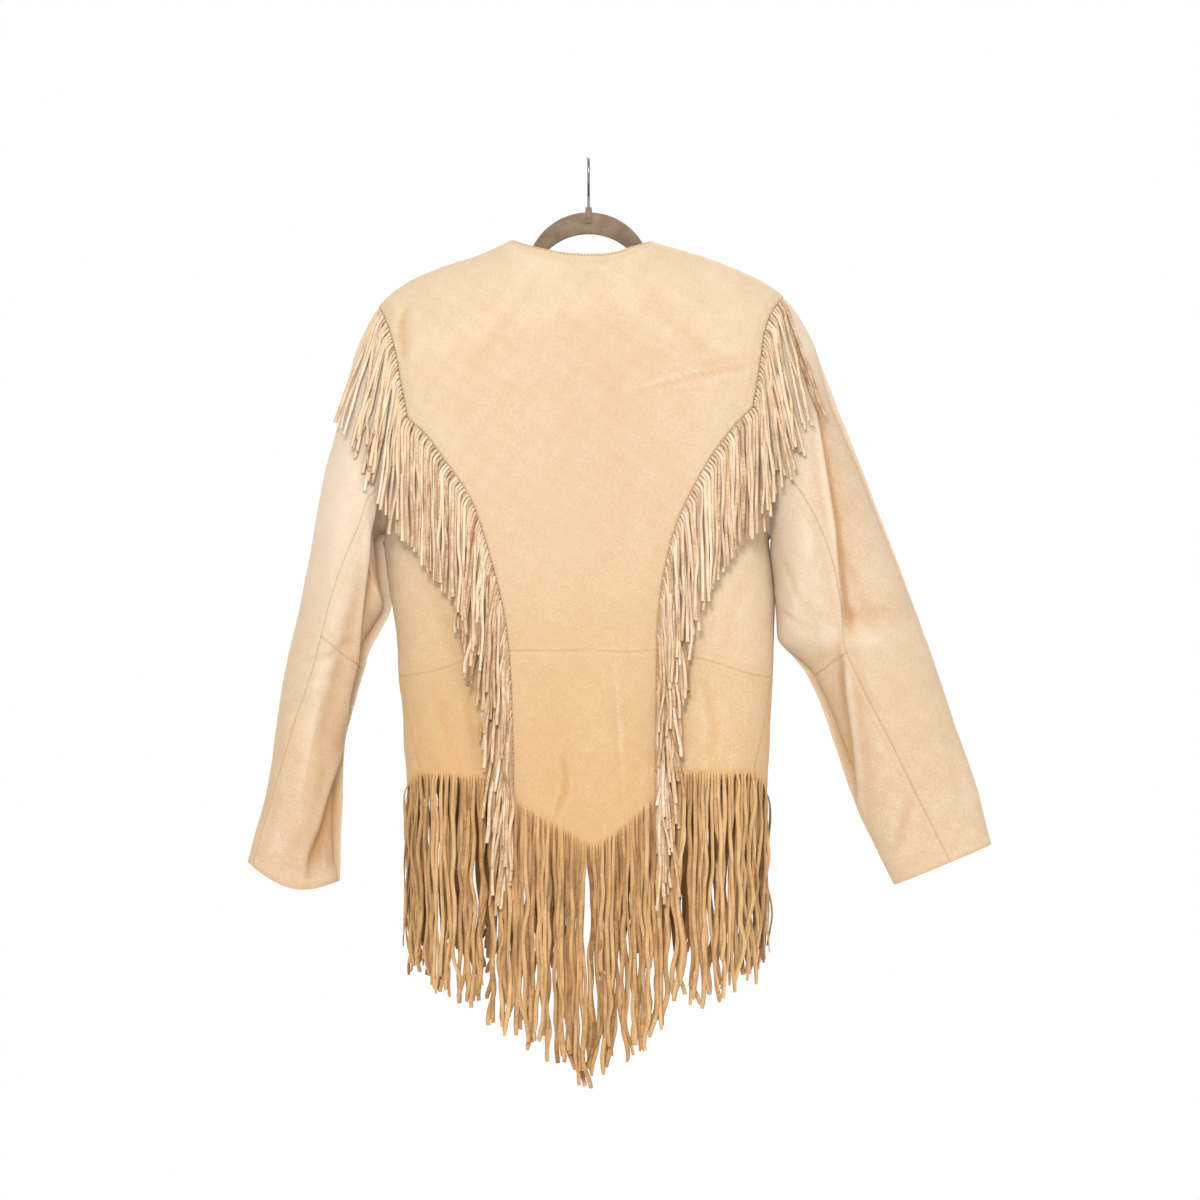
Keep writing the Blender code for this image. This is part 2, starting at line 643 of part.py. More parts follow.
def princess_seam(side, face, top, low, count):
    """A stretch of the princess seam between two heights."""
    return seam_by_z(princess_at[side], top, low, count, face)


def waist_height(side):
    """The height at which the waist seam meets the princess seam."""
    return float(waist_at(PRINCESS[side][PRINCESS_WAIST_ROW]["x"]))


def side_waist(side):
    """The height at which the side seam meets the waist seam."""
    outline_at = left_at if side == "L" else right_at
    return float(waist_at(outline_at(SIDE_WAIST)))


def side_run(side, top, low, count, on_front):
    """A stretch of the side seam. The front pieces count it from beyond the back."""
    z = np.linspace(top, low, count + 1)
    n, w = body_param(side_seam_x(side, z), z, BACK)
    if side == "L" and on_front:
        n = n + WHOLE_TURN
    return np.stack([n, w], axis=-1)


def armhole_parts(side, face):
    """The armhole above and below the princess seam."""
    seam = armhole_seam(side, face)
    return seam[: ARM_ROWS_UPPER + 1], seam[ARM_ROWS_UPPER:]


def build_back(mats):
    """The six panels of the back, above and below the waist seam."""
    edges = {}
    for side in "LR":
        upper, _ = armhole_parts(side, BACK)
        top = BRANCH[side]["z"]
        edges[side] = join(upper, princess_seam(side, BACK, top, waist_height(side), PRINCESS_ROWS))
    # The neckline drops fast near its ends, so its points lie closer there.
    share = (1.0 - np.cos(np.linspace(0.0, math.pi, NECK_COLUMNS + 1))) / 2.0
    neck_x = BACK_NECK[0]["x"] + (BACK_NECK[-1]["x"] - BACK_NECK[0]["x"]) * share
    neck = np.stack(body_param(neck_x, neck_at(neck_x), BACK), axis=-1)
    head = join(shoulder_seam("L", BACK), neck, shoulder_seam("R", BACK)[::-1])
    ends = [float(princess_at[side](waist_height(side))) for side in "LR"]
    waist = seam_by_x(waist_at, ends[0], ends[1], CENTRE_COLUMNS, BACK)
    body_panel("back_centre_upper", patch(head, waist, edges["L"], edges["R"]), mats["back"])

    low = {}
    for side in "LR":
        hem_z = PRINCESS[side][-1]["z"]
        low[side] = princess_seam(side, BACK, waist_height(side), hem_z, LOWER_ROWS)
    hem = seam_by_x(hem_at, BACK_HEM[0]["x"], BACK_HEM[-1]["x"], CENTRE_COLUMNS, BACK)
    body_panel("back_centre_lower", patch(waist, hem, low["L"], low["R"]), mats["back"])
    for side in "LR":
        build_side(side, BACK, mats)


def build_side(side, face, mats):
    """The side panels of the back or front, above and below the waist seam."""
    word = FACE_WORDS[face]
    _, lower = armhole_parts(side, face)
    z_waist = side_waist(side)
    wrap = face == FRONT
    flank = join(lower, side_run(side, UNDERARM[side]["z"], z_waist, PRINCESS_ROWS - ARM_ROWS_LOWER, wrap))
    inner = princess_seam(side, face, BRANCH[side]["z"], waist_height(side), PRINCESS_ROWS)
    columns = SIDE_COLUMNS[face]
    head = np.repeat(inner[:1], columns + 1, axis=0)
    waist = straight(flank[-1], inner[-1], columns)
    for column in range(1, columns):
        x = float(body_point(waist[column, 0], waist[column, 1])[0])
        behind = np.mod(waist[column, 0], WHOLE_TURN) <= HALF_TURN
        waist[column, 1] = body_param(x, waist_at(x), BACK if behind else FRONT)[1]
    body_panel(f"{word}_side_upper_{side}", patch(head, waist, flank, inner), mats["back"], tip=True)

    hem_z = SIDE_HEMS[face]
    rows = LOWER_ROWS - 1
    outer = side_run(side, z_waist, BACK_SIDE_HEM, rows, wrap)
    inner = princess_seam(side, face, waist_height(side), hem_z, rows)
    hem = straight(outer[-1], inner[-1], columns)
    body_panel(f"{word}_side_lower_{side}", patch(waist, hem, outer, inner), mats["back"])


def front_edge_x(side, z):
    """The front opening's edge."""
    return FRONT_LINE + (-1.0 if side == "L" else 1.0) * front_half_at(z)


def build_front(mats):
    """The two halves of the open front."""
    columns = SHOULDER_COLUMNS
    for side in "LR":
        upper, _ = armhole_parts(side, FRONT)
        rows = ARM_ROWS_UPPER + PRINCESS_ROWS
        z_waist = waist_height(side)
        outer = join(upper, princess_seam(side, FRONT, BRANCH[side]["z"], z_waist, PRINCESS_ROWS))
        shoulder = shoulder_seam(side, FRONT)
        neck_x = BACK_NECK[0]["x"] if side == "L" else BACK_NECK[-1]["x"]
        neck_z = float(ridge_at(neck_x))
        share = np.linspace(0.0, 1.0, FRONT_NECK_ROWS + 1)
        v_z = neck_z + (-FRONT_NECK_DEPTH - neck_z) * share
        v_x = neck_x + (front_edge_x(side, -FRONT_NECK_DEPTH) - neck_x) * share**FRONT_NECK_CURVE
        v_line = np.stack(body_param(v_x, v_z, FRONT), axis=-1)
        v_line[0, 1] = 0.0
        z = np.linspace(-FRONT_NECK_DEPTH, float(waist_at(FRONT_LINE)), rows - FRONT_NECK_ROWS + 1)
        edge = join(v_line, np.stack(body_param(front_edge_x(side, z), z, FRONT), axis=-1))
        ends = [float(princess_at[side](z_waist)), float(front_edge_x(side, z[-1]))]
        waist = seam_by_x(waist_at, ends[0], ends[1], columns, FRONT)
        body_panel(f"front_centre_upper_{side}", patch(shoulder, waist, outer, edge), mats["back"])

        rows = LOWER_ROWS - 1
        z = np.linspace(float(z[-1]), FRONT_HEM, rows + 1)
        edge = np.stack(body_param(front_edge_x(side, z), z, FRONT), axis=-1)
        outer = princess_seam(side, FRONT, z_waist, FRONT_HEM, rows)
        hem = straight(outer[-1], edge[-1], columns)
        body_panel(f"front_centre_lower_{side}", patch(waist, hem, outer, edge), mats["back"])
        build_side(side, FRONT, mats)


def sleeve_columns(side):
    """A sleeve's section sizes as smooth functions of the section number."""
    rows = [dict(row, row=float(i)) for i, row in enumerate(SLEEVES[side])]
    return {key: curve_of(rows, "row", key) for key in ("xo", "zo", "xi", "zi", "depth", "seam")}


def half_turn(share):
    """The turn round a section for a share of the way from its outer to its inner end."""
    return np.arccos(np.clip(1.0 - 2.0 * share, -1.0, 1.0))


def sleeve_angle(side, row, step, face):
    """The turn of a lengthwise line at a section. Lines bunch to keep to the seams."""
    base = armhole_angles(side)
    last = base[-1]
    pivot = BACK_SEAM_STEP if face == BACK else FRONT_SEAM_STEP
    columns = sleeve_columns(side)
    share = columns["seam"](row) if face == BACK else FRONT_SEAM
    fade = np.clip(row / SEAM_BLEND_ROWS, 0.0, 1.0)
    target = base[pivot] * (1.0 - fade) + half_turn(share) * fade
    below = base[step] * target / base[pivot]
    above = last - (last - base[step]) * (last - target) / (last - base[pivot])
    return np.where(step <= pivot, below, above)


def sleeve_point(side, row, angle, face):
    """A point of a sleeve's surface at a section number and a turn from its outer end."""
    c = sleeve_columns(side)
    row = np.asarray(row, dtype=float)
    angle = np.asarray(angle, dtype=float)
    share = (1.0 - np.cos(angle)) / 2.0
    x = c["xo"](row) + (c["xi"](row) - c["xo"](row)) * share
    z = c["zo"](row) + (c["zi"](row) - c["zo"](row)) * share
    y = c["depth"](row) * np.sin(angle)
    if face == BACK:
        z = z - CUFF_BOW[side] * np.clip(row - CUFF_BOW_ROW, 0.0, 1.0) ** 2 * np.sin(np.pi * share)
    top, low = SHOULDER_POINT[side], UNDERARM[side]
    z0 = top["z"] + (low["z"] - top["z"]) * share
    x0 = top["x"] + (low["x"] - top["x"]) * share
    seam_x = arm_at[side](z0)
    seam_y = np.abs(body_point(*body_param(seam_x, z0, face))[..., 1])
    fade = np.clip(1.0 - row / BLEND_ROWS, 0.0, 1.0) ** 2
    x = x + fade * (seam_x - x0)
    y = y + fade * (seam_y - c["depth"](0.0) * np.sin(angle))
    return np.stack([x, face * y, z], axis=-1)


def sleeve_fold(side, row, share, face):
    """The height of the sleeve's folds at a section and a share of the way round."""
    height = np.zeros(np.broadcast(row, share).shape)
    for fold in SLEEVE_FOLDS[side, face]:
        along = (row - fold["row0"]) / (fold["row1"] - fold["row0"])
        at = fold["at0"] + (fold["at1"] - fold["at0"]) * np.clip(along, 0.0, 1.0)
        fade = np.sin(np.pi * np.clip(0.1 + 0.8 * along, 0.0, 1.0))
        fade = np.where((along < -0.125) | (along > 1.125), 0.0, fade)
        height = height + fold["rise"] * fade * np.exp(-(((share - at) / fold["width"]) ** 2))
    return height


def sleeve_surface(side, row, angle, face):
    """Points of a sleeve's outer face and the outward directions there."""
    step = SLEEVE_STEP
    plain = sleeve_point(side, row, angle, face)
    down = sleeve_point(side, row + step, angle, face)
    down = down - sleeve_point(side, np.maximum(row - step, 0.0), angle, face)
    round_it = sleeve_point(side, row, angle + step, face) - sleeve_point(side, row, angle - step, face)
    normals = unit(np.cross(down, round_it)) * (face if side == "R" else -face)
    height = sleeve_fold(side, row, (1.0 - np.cos(angle)) / 2.0, face)
    return plain + normals * height[..., None], normals


def sleeve_line(side, rows, step, face):
    """One lengthwise line of a sleeve, whose first point lies just off the armhole."""
    angle = sleeve_angle(side, rows, step, face)
    points, normals = sleeve_surface(side, rows, angle, face)
    if rows[0] == 0.0:
        seam = armhole_seam(side, face)
        seam_points, body_normals = body_surface(seam[:, 0], seam[:, 1])
        tangent = unit(np.gradient(seam_points, axis=0))[step]
        across = unit(np.cross(body_normals[step], tangent))
        outward = points[1] - seam_points[step]
        across = across * np.sign(across @ outward)
        if step == len(seam) - 1:
            across = np.array([0.0, 0.0, 1.0])
        points[0] = seam_points[step] + across * HALF_GAP
        normals[0] = body_normals[step]
    return points, normals


def sleeve_piece(name, side, rows, steps, mat):
    """A sleeve panel across a run of (step, face) lines."""
    lines = [sleeve_line(side, rows, step, face) for step, face in steps]
    points = np.stack([line[0] for line in lines], axis=1)
    normals = np.stack([line[1] for line in lines], axis=1)
    if side == "R":
        points, normals = points[:, ::-1], normals[:, ::-1]
    grid_wall(name, edge_inset(points, normals, SLEEVE_INSET), normals, LEATHER, mat)


def build_sleeve(side, mats):
    """The top sleeve, and the under sleeve above and below the elbow seam."""
    whole = np.array(SLEEVE_RINGS)
    elbow = SLEEVE_RINGS.index(ELBOW_ROW)
    outer = [(step, FRONT) for step in range(FRONT_SEAM_STEP, 0, -1)]
    outer += [(step, BACK) for step in range(BACK_SEAM_STEP + 1)]
    end = ARM_ROWS_UPPER + ARM_ROWS_LOWER
    under = [(step, BACK) for step in range(BACK_SEAM_STEP, end + 1)]
    under += [(step, FRONT) for step in range(end - 1, FRONT_SEAM_STEP - 1, -1)]
    sleeve_piece(f"sleeve_top_{side}", side, whole, outer, mats["sleeve"])
    sleeve_piece(f"sleeve_under_upper_{side}", side, whole[: elbow + 1], under, mats["sleeve"])
    sleeve_piece(f"sleeve_under_lower_{side}", side, whole[elbow:], under, mats["sleeve"])


# A map of how far out the cloth reaches: its cells, its corner and its size, and how finely
# the body and the sleeves are sampled for it.
CELL = 3.0
MAP_LEFT, MAP_TOP = -420.0, -60.0
MAP_COLUMNS, MAP_ROWS = 300, 270
BODY_SAMPLES = {"round": 170, "down": 240, "last": 6.3}
SLEEVE_SAMPLES = {"round": 90, "down": 150, "last": 8.0}


def map_place(x, z):
    """The map's row and column at places seen at (x, z)."""
    column = np.clip(((x - MAP_LEFT) / CELL).astype(int), 0, MAP_COLUMNS - 1)
    row = np.clip(((MAP_TOP - z) / CELL).astype(int), 0, MAP_ROWS - 1)
    return row, column


def outer_map(face):
    """How far out the cloth reaches at each place seen from the back or front."""
    reach = np.full((MAP_ROWS, MAP_COLUMNS), -1000.0)
    start = 0.0 if face == BACK else HALF_TURN
    n = np.linspace(start, start + HALF_TURN, BODY_SAMPLES["round"])
    w = np.linspace(0.0, BODY_SAMPLES["last"], BODY_SAMPLES["down"])
    body = body_surface(*np.meshgrid(n, w))[0].reshape(-1, 3)
    clouds = [body[body[:, 2] > BACK_SIDE_HEM]]
    rows = np.linspace(0.0, SLEEVE_SAMPLES["last"], SLEEVE_SAMPLES["down"])
    row, angle = np.meshgrid(rows, np.linspace(0.0, np.pi, SLEEVE_SAMPLES["round"]))
    for side in "LR":
        clouds.append(sleeve_surface(side, row, angle, face)[0].reshape(-1, 3))
    for cloud in clouds:
        np.maximum.at(reach, map_place(cloud[:, 0], cloud[:, 2]), cloud[:, 1] * face)
    grown = reach.copy()
    for dr in range(-1, 2):
        for dc in range(-2, 3):
            grown = np.maximum(grown, np.roll(np.roll(reach, dr, 0), dc, 1))
    return grown


def fringe_x(side, z):
    """The seam that carries the fringe: the armhole, then the princess seam."""
    return np.where(z > BRANCH[side]["z"], arm_at[side](z), princess_at[side](z))


def seam_slant(side, z, step):
    """How far that seam moves sideways for each millimetre down, read over a step each way."""
    return abs(float(fringe_x(side, z + step) - fringe_x(side, z - step))) / (2.0 * step)


def lock_drift(side, z):
    """How far the locks lean outward per unit of drop: most at the shoulder point."""
    top, low = SHOULDER_POINT[side]["z"], BRANCH[side]["z"]
    return SHOULDER_DRIFT * np.clip((z - low) / (top - low), 0.0, 1.0)


def lock_roots(side):
    """Heights of the locks down a seam, each clear of the next where it hangs."""
    top = SHOULDER_POINT[side]["z"] - FRINGE_ENDS["top"]
    z = np.linspace(top, PRINCESS[side][-1]["z"] + FRINGE_ENDS["low"], ROOT_SAMPLES)
    x = fringe_x(side, z)
    out = -1.0 if side == "L" else 1.0
    across = np.abs(np.diff(x) + out * np.diff(z) * lock_drift(side, z)[1:])
    need = np.maximum(across / LOCK_PITCH, np.abs(np.diff(z)) / LOCK_LEVEL_PITCH)
    run = np.concatenate([[0.0], np.cumsum(need)])
    return np.interp(np.arange(int(run[-1])) + 0.5, run, z)


def strip_places(side, face, z):
    """The seam's points with the outward direction and the direction away from the centre."""
    x = fringe_x(side, z)
    ahead, behind = z - 1.0, z + 1.0
    points, normals = body_surface(*body_param(x, z, face))
    low, _ = body_surface(*body_param(fringe_x(side, ahead), ahead, face))
    high, _ = body_surface(*body_param(fringe_x(side, behind), behind, face))
    across = unit(np.cross(normals, unit(low - high)))
    out = -1.0 if side == "L" else 1.0
    across = across * np.sign(across[..., :1] * out)
    return points, normals, across


class Comb:
    """Locks joined by a strip: points, their outward directions, and faces."""

    def __init__(self):
        """Starts with no points."""
        self.points = []
        self.normals = []
        self.quads = []
        self.last_pair = None

    def add_pair(self, first, second, normal_first, normal_second):
        """Adds the two points of one cross line."""
        self.points += [first, second]
        self.normals += [normal_first, normal_second]
        return len(self.points) - 2

    def link(self, pair):
        """Runs the strip on from the last pair of its points to a new one."""
        if self.last_pair is not None:
            a, b = self.last_pair, pair
            self.quads.append([a, a + 1, b + 1, b])
        self.last_pair = pair

    def lock(self, start, end, rungs):
        """Hangs a lock from the strip's free edge between two pairs of its points."""
        left, right = start + 1, end + 1
        for rung in rungs:
            pair = self.add_pair(*rung)
            self.quads.append([left, pair, pair + 1, right])
            left, right = pair, pair + 1

    def build(self, name, thick, mat):
        """Makes the comb a closed wall."""
        thicken(name, np.array(self.points), np.array(self.normals), self.quads, thick, mat)


def lock_rungs(side, face, root, low_x, low_z, start_depth, reach, number):
    """The cross lines of one lock of a seam's fringe, down its length."""
    out = -1.0 if side == "L" else 1.0
    length = FRINGE_LENGTH * (1.0 + 0.05 * math.sin(2.3 * number))
    over_sleeve = root > BRANCH[side]["z"] - OVER_SLEEVE
    inner = SLEEVE_LOCK_LEVELS if over_sleeve else BODY_LOCK_LEVELS
    fine = np.arange(0.0, length + FINE_STEP, FINE_STEP)
    slant = seam_slant(side, root, 3.0)
    spread = 0.0 if over_sleeve else LOCK_SPREAD[number % 3] * float(np.clip(1.25 - 2.0 * slant, 0.0, 1.0))
    half = LOCK_WIDTH / 2.0
    drift = float(lock_drift(side, root))
    fan = spread * np.clip(fine / SPREAD_DROP, 0.0, 1.0)
    middle = low_x + out * (half + LOCK_GAP + drift * fine + fan)
    depth = reach[map_place(middle, low_z - fine)] + FRINGE_LIFT + FRINGE_THICK + LOCK_LEAN * fine
    depth[0] = max(depth[0], start_depth) if over_sleeve else start_depth
    depth = np.maximum.accumulate(depth)
    normal = np.array([0.0, face, 0.0])
    rungs = []
    for level in inner + [length]:
        x = float(np.interp(level, fine, middle))
        y = face * float(np.interp(level, fine, depth))
        a = np.array([x + out * half, y, low_z - level])
        b = np.array([x - out * half, y, low_z - level])
        rungs.append((a, b, normal, normal))
    return rungs


def build_seam_fringe(side, face, reach, mats):
    """One comb of locks set in the armhole and princess seams."""
    comb = Comb()
    lift = FRINGE_LIFT + FRINGE_THICK
    for number, root in enumerate(lock_roots(side)):
        rise = 0.5 * ROOT_WIDTH / math.hypot(1.0, seam_slant(side, root, 1.0))
        ends = []
        for z in (root + rise, root - rise):
            points, normals, across = strip_places(side, face, np.array([z]))
            points = points + normals * lift
            inner, outer = points[0] - across[0] * FRINGE_STRIP, points[0]
            pair = comb.add_pair(inner, outer, normals[0], normals[0])
            comb.link(pair)
            ends.append(pair)
        low = comb.points[ends[1] + 1]
        rungs = lock_rungs(side, face, root, low[0], low[2], abs(low[1]), reach, number)
        comb.lock(ends[0], ends[1], rungs)
    comb.build(f"fringe_{FACE_WORDS[face]}_{side}", FRINGE_THICK, mats["fringe"])


def build_hem_fringe(name, places, end_of_x, pitch, mats):
    """A comb cut just below one panel's hem, its locks ending where end_of_x says."""
    corners, normals = body_surface(places[:, 0], places[:, 1])
    level = unit(normals * np.array([1.0, 1.0, 0.0]))
    comb = Comb()
    number = 0

    def strip_pair(column, share):
        """Runs the strip on to a share of the way along one of the hem's columns."""
        point = corners[column] * (1.0 - share) + corners[column + 1] * share
        normal = unit(level[column] * (1.0 - share) + level[column + 1] * share)
        top = point - np.array([0.0, 0.0, SEAM_GAP])
        low = top - np.array([0.0, 0.0, HEM_STRIP])
        pair = comb.add_pair(top, low, normal, normal)
        comb.link(pair)
        return pair, low, normal

    for column in range(len(corners) - 1):
        length = float(np.linalg.norm((corners[column + 1] - corners[column])[:2]))
        count = max(1, round(length / pitch))
        for place in range(count):
            middle, half = (place + 0.5) / count, 0.5 * HEM_LOCK_SHARE / count
            first, a, normal_a = strip_pair(column, middle - half)
            second, b, normal_b = strip_pair(column, middle + half)
            end_z = float(end_of_x((a[0] + b[0]) / 2.0)) + 5.0 * math.sin(1.9 * number)
            rung_a, rung_b = np.array([a[0], a[1], end_z]), np.array([b[0], b[1], end_z])
            comb.lock(first, second, [(rung_a, rung_b, normal_a, normal_b)])
            number += 1
        if column < len(corners) - 2:
            strip_pair(column, 1.0)
    comb.build(name, FRINGE_THICK, mats["fringe"])


def plate_outline():
    """The hanger's outline: crescent neck, sloping arms, round ends and a straight bar."""
    radius, centre = NECK_ARC["radius"], NECK_ARC["centre_z"]
    first = ARM_SEAT[0]
    meet = math.atan2(first["z"] - centre, first["x"])
    arc = [
        (radius * math.cos(a), centre + radius * math.sin(a))
        for a in np.linspace(math.pi / 2.0, meet, 9)[:-1]
    ]
    arm = [(row["x"], row["z"]) for row in ARM_SEAT]
    centre_x, centre_z = HANGER_END - HANGER_CORNER, BAR_BOTTOM + HANGER_CORNER
    low = [
        (centre_x + HANGER_CORNER * math.cos(a), centre_z + HANGER_CORNER * math.sin(a))
        for a in np.linspace(0.0, -math.pi / 2.0, 5)
    ]
    half = arc + arm + HANGER_TIP + low
    return [(-x, z) for x, z in reversed(half[1:])] + half


def plate_hole():
    """The opening between the neck, the arms and the bar."""
    radius, centre = NECK_HOLE_ARC["radius"], NECK_HOLE_ARC["centre_z"]
    arc = [
        (radius * math.cos(a), centre + radius * math.sin(a))
        for a in np.linspace(math.pi / 2.0, math.radians(HOLE_ARC_END), 7)
    ]
    arm = [(row["x"], row["z"] - ARM_WIDTH) for row in ARM_SEAT[1:-1]]
    half = arc + arm + HOLE_CORNER
    return [(-x, z) for x, z in reversed(half[1:])] + half


def build_hanger(mats):
    """The flat hanger, with a boss at its neck bored for the hook."""
    curve = bpy.data.curves.new("hanger_outline", "CURVE")
    curve.dimensions = "2D"
    curve.fill_mode = "BOTH"
    curve.extrude = PLATE_THICK / 2.0 * MM
    for loop in (plate_outline(), plate_hole()):
        spline = curve.splines.new("POLY")
        spline.points.add(len(loop) - 1)
        spline.use_cyclic_u = True
        for point, (x, z) in zip(spline.points, loop):
            point.co = (x * MM, z * MM, 0.0, 1.0)
    drawn = bpy.data.objects.new("hanger_outline", curve)
    drawn.rotation_euler = (math.pi / 2.0, 0.0, 0.0)
    CUTTERS.objects.link(drawn)
    bpy.context.view_layer.update()
    graph = bpy.context.evaluated_depsgraph_get()
    mesh = bpy.data.meshes.new_from_object(drawn.evaluated_get(graph))
    plate = bpy.data.objects.new("hanger", mesh)
    plate.matrix_world = drawn.matrix_world.copy()
    bpy.data.objects.remove(drawn, do_unlink=True)
    merge_doubles(mesh)
    mesh.materials.clear()
    mesh.materials.append(mats["hanger"])
    PARTS.objects.link(plate)
    boss = turned("hanger_boss", BOSS_RADIUS, BOSS_TOP_RADIUS, BOSS_BOTTOM, BOSS_TOP)
    bore = turned("hanger_bore", BORE_RADIUS, BORE_RADIUS, BORE_BOTTOM, BOSS_TOP + 4.0)
    for tool, kind in ((boss, "UNION"), (bore, "DIFFERENCE")):
        cut = plate.modifiers.new(tool.name, "BOOLEAN")
        cut.operation = kind
        cut.object = tool


def turned(name, radius_low, radius_top, bottom, top):
    """A cone or cylinder on the swivel axis, kept with the cutters."""
    mesh = bpy.data.meshes.new(name)
    builder = bmesh.new()
    bmesh.ops.create_cone(
        builder,
        cap_ends=True,
        segments=20,
        radius1=radius_low * MM,
        radius2=radius_top * MM,
        depth=(top - bottom) * MM,
    )
    builder.to_mesh(mesh)
    builder.free()
    tool = bpy.data.objects.new(name, mesh)
    tool.location = (0.0, 0.0, (top + bottom) / 2.0 * MM)
    tool.hide_render = True
    tool.display_type = "WIRE"
    CUTTERS.objects.link(tool)
    return tool


def hook_path():
    """The wire's middle line: a stem on the swivel axis, then a question mark over it."""
    centre = WIRE_RADIUS - HOOK_RADIUS
    first, last = math.radians(HOOK_TURNS["first"]), math.radians(HOOK_TURNS["last"])
    meet = np.array([HOOK_RADIUS * math.cos(first), centre + HOOK_RADIUS * math.sin(first)])
    upward = np.array([0.0, HOOK_SWEEP])
    lean = np.array([math.sin(first), -math.cos(first)]) * HOOK_SWEEP
    foot = np.array([0.0, HOOK_FOOT])
    points = [(0.0, z) for z in STEM]
    for t in np.linspace(0.0, 1.0, 8)[:-1]:
        rise = (2 * t**3 - 3 * t**2 + 1) * foot + (3 * t**2 - 2 * t**3) * meet
        bend = (t**3 - 2 * t**2 + t) * upward + (t**3 - t**2) * lean
        points.append(tuple(rise + bend))
    for turn in np.linspace(first, last, 17):
        points.append((HOOK_RADIUS * math.cos(turn), centre + HOOK_RADIUS * math.sin(turn)))
    return points


def build_hook(mats):
    """The wire hook, a bevelled curve with filled ends."""
    curve = bpy.data.curves.new("hook", "CURVE")
    curve.dimensions = "3D"
    curve.bevel_depth = WIRE_RADIUS * MM
    curve.bevel_resolution = 2
    curve.use_fill_caps = True
    path = hook_path()
    spline = curve.splines.new("POLY")
    spline.points.add(len(path) - 1)
    for point, (y, z) in zip(spline.points, path):
        point.co = (0.0, y * MM, z * MM, 1.0)
    curve.materials.append(mats["wire"])
    PARTS.objects.link(bpy.data.objects.new("hook", curve))


def front_fringe_end(x):
    """The height at which the front's hem fringe ends, a little higher towards the sides."""
    return FRONT_HEM - FRONT_FRINGE_LENGTH + FRONT_FRINGE_RISE * abs(x)


def build_hem_fringes(mats):
    """One comb below the hem of each lower panel."""
    hem = seam_by_x(hem_at, BACK_HEM[0]["x"], BACK_HEM[-1]["x"], CENTRE_COLUMNS, BACK)
    build_hem_fringe("hem_fringe_back_centre", hem, hem_end_at, CENTRE_LOCK_PITCH, mats)
    for side in "LR":
        for face, ends in ((BACK, hem_end_at), (FRONT, front_fringe_end)):
            name = f"hem_fringe_{FACE_WORDS[face]}_side_{side}"
            outer = side_run(side, BACK_SIDE_HEM, BACK_SIDE_HEM - 1.0, 1, face == FRONT)[0]
            inner = princess_seam(side, face, SIDE_HEMS[face] + 1.0, SIDE_HEMS[face], 1)[-1]
            places = straight(outer, inner, SIDE_COLUMNS[face])
            build_hem_fringe(name, places, ends, HEM_LOCK_PITCH, mats)
        edge_x = front_edge_x(side, FRONT_HEM)
        inner = princess_seam(side, FRONT, FRONT_HEM + 1.0, FRONT_HEM, 1)[-1]
        edge = np.array([float(v) for v in body_param(edge_x, FRONT_HEM, FRONT)])
        name = f"hem_fringe_front_centre_{side}"
        places = straight(inner, edge, SHOULDER_COLUMNS)
        build_hem_fringe(name, places, front_fringe_end, HEM_LOCK_PITCH, mats)


clear_scene()
PARTS = bpy.data.collections.new("fringed_jacket")
CUTTERS = bpy.data.collections.new("cutters")
for group in (PARTS, CUTTERS):
    bpy.context.scene.collection.children.link(group)
MATERIALS = {
    "back": material("buckskin", COLOURS["back"], 0.85),
    "sleeve": material("buckskin_sleeve", COLOURS["sleeve"], 0.85),
    "fringe": material("buckskin_fringe", COLOURS["fringe"], 0.85),
    "hanger": material("flocked_plastic", COLOURS["hanger"], 0.9),
    "wire": material("steel_wire", COLOURS["wire"], 0.35, 1.0),
}
build_back(MATERIALS)
build_front(MATERIALS)
for SIDE in "LR":
    build_sleeve(SIDE, MATERIALS)
for FACE in (BACK, FRONT):
    REACH = outer_map(FACE)
    for SIDE in "LR":
        build_seam_fringe(SIDE, FACE, REACH, MATERIALS)
build_hem_fringes(MATERIALS)
build_hanger(MATERIALS)
build_hook(MATERIALS)
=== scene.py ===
"""Dresses a fringed buckskin jacket, hung on a slim flocked hanger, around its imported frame.

Lengths in the tables are millimetres in the frame's axes: the jacket's back faces -Y, its
front +Y, +X is the wearer's right, and the origin is the underside of the hook's crown.
"""

import logging
import math
from dataclasses import dataclass, field
from enum import Enum
from typing import Callable, Optional, Sequence

import bmesh
import bpy
import numpy as np
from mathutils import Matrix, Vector


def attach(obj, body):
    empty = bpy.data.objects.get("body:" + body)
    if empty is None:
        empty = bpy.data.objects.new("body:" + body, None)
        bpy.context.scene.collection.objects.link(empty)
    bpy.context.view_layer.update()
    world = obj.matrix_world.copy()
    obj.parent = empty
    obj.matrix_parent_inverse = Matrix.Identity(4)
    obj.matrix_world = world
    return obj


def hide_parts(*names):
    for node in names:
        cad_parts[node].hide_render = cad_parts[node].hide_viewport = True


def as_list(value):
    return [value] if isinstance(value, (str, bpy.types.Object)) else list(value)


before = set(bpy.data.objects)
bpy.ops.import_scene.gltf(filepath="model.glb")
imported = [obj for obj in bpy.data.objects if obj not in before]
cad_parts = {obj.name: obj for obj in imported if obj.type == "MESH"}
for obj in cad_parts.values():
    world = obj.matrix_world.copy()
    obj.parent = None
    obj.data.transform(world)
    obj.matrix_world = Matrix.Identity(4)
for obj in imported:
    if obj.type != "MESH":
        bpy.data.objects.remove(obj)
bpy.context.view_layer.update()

LOG = logging.getLogger("fringed_jacket")
MM = 0.001
TAU = 2.0 * math.pi
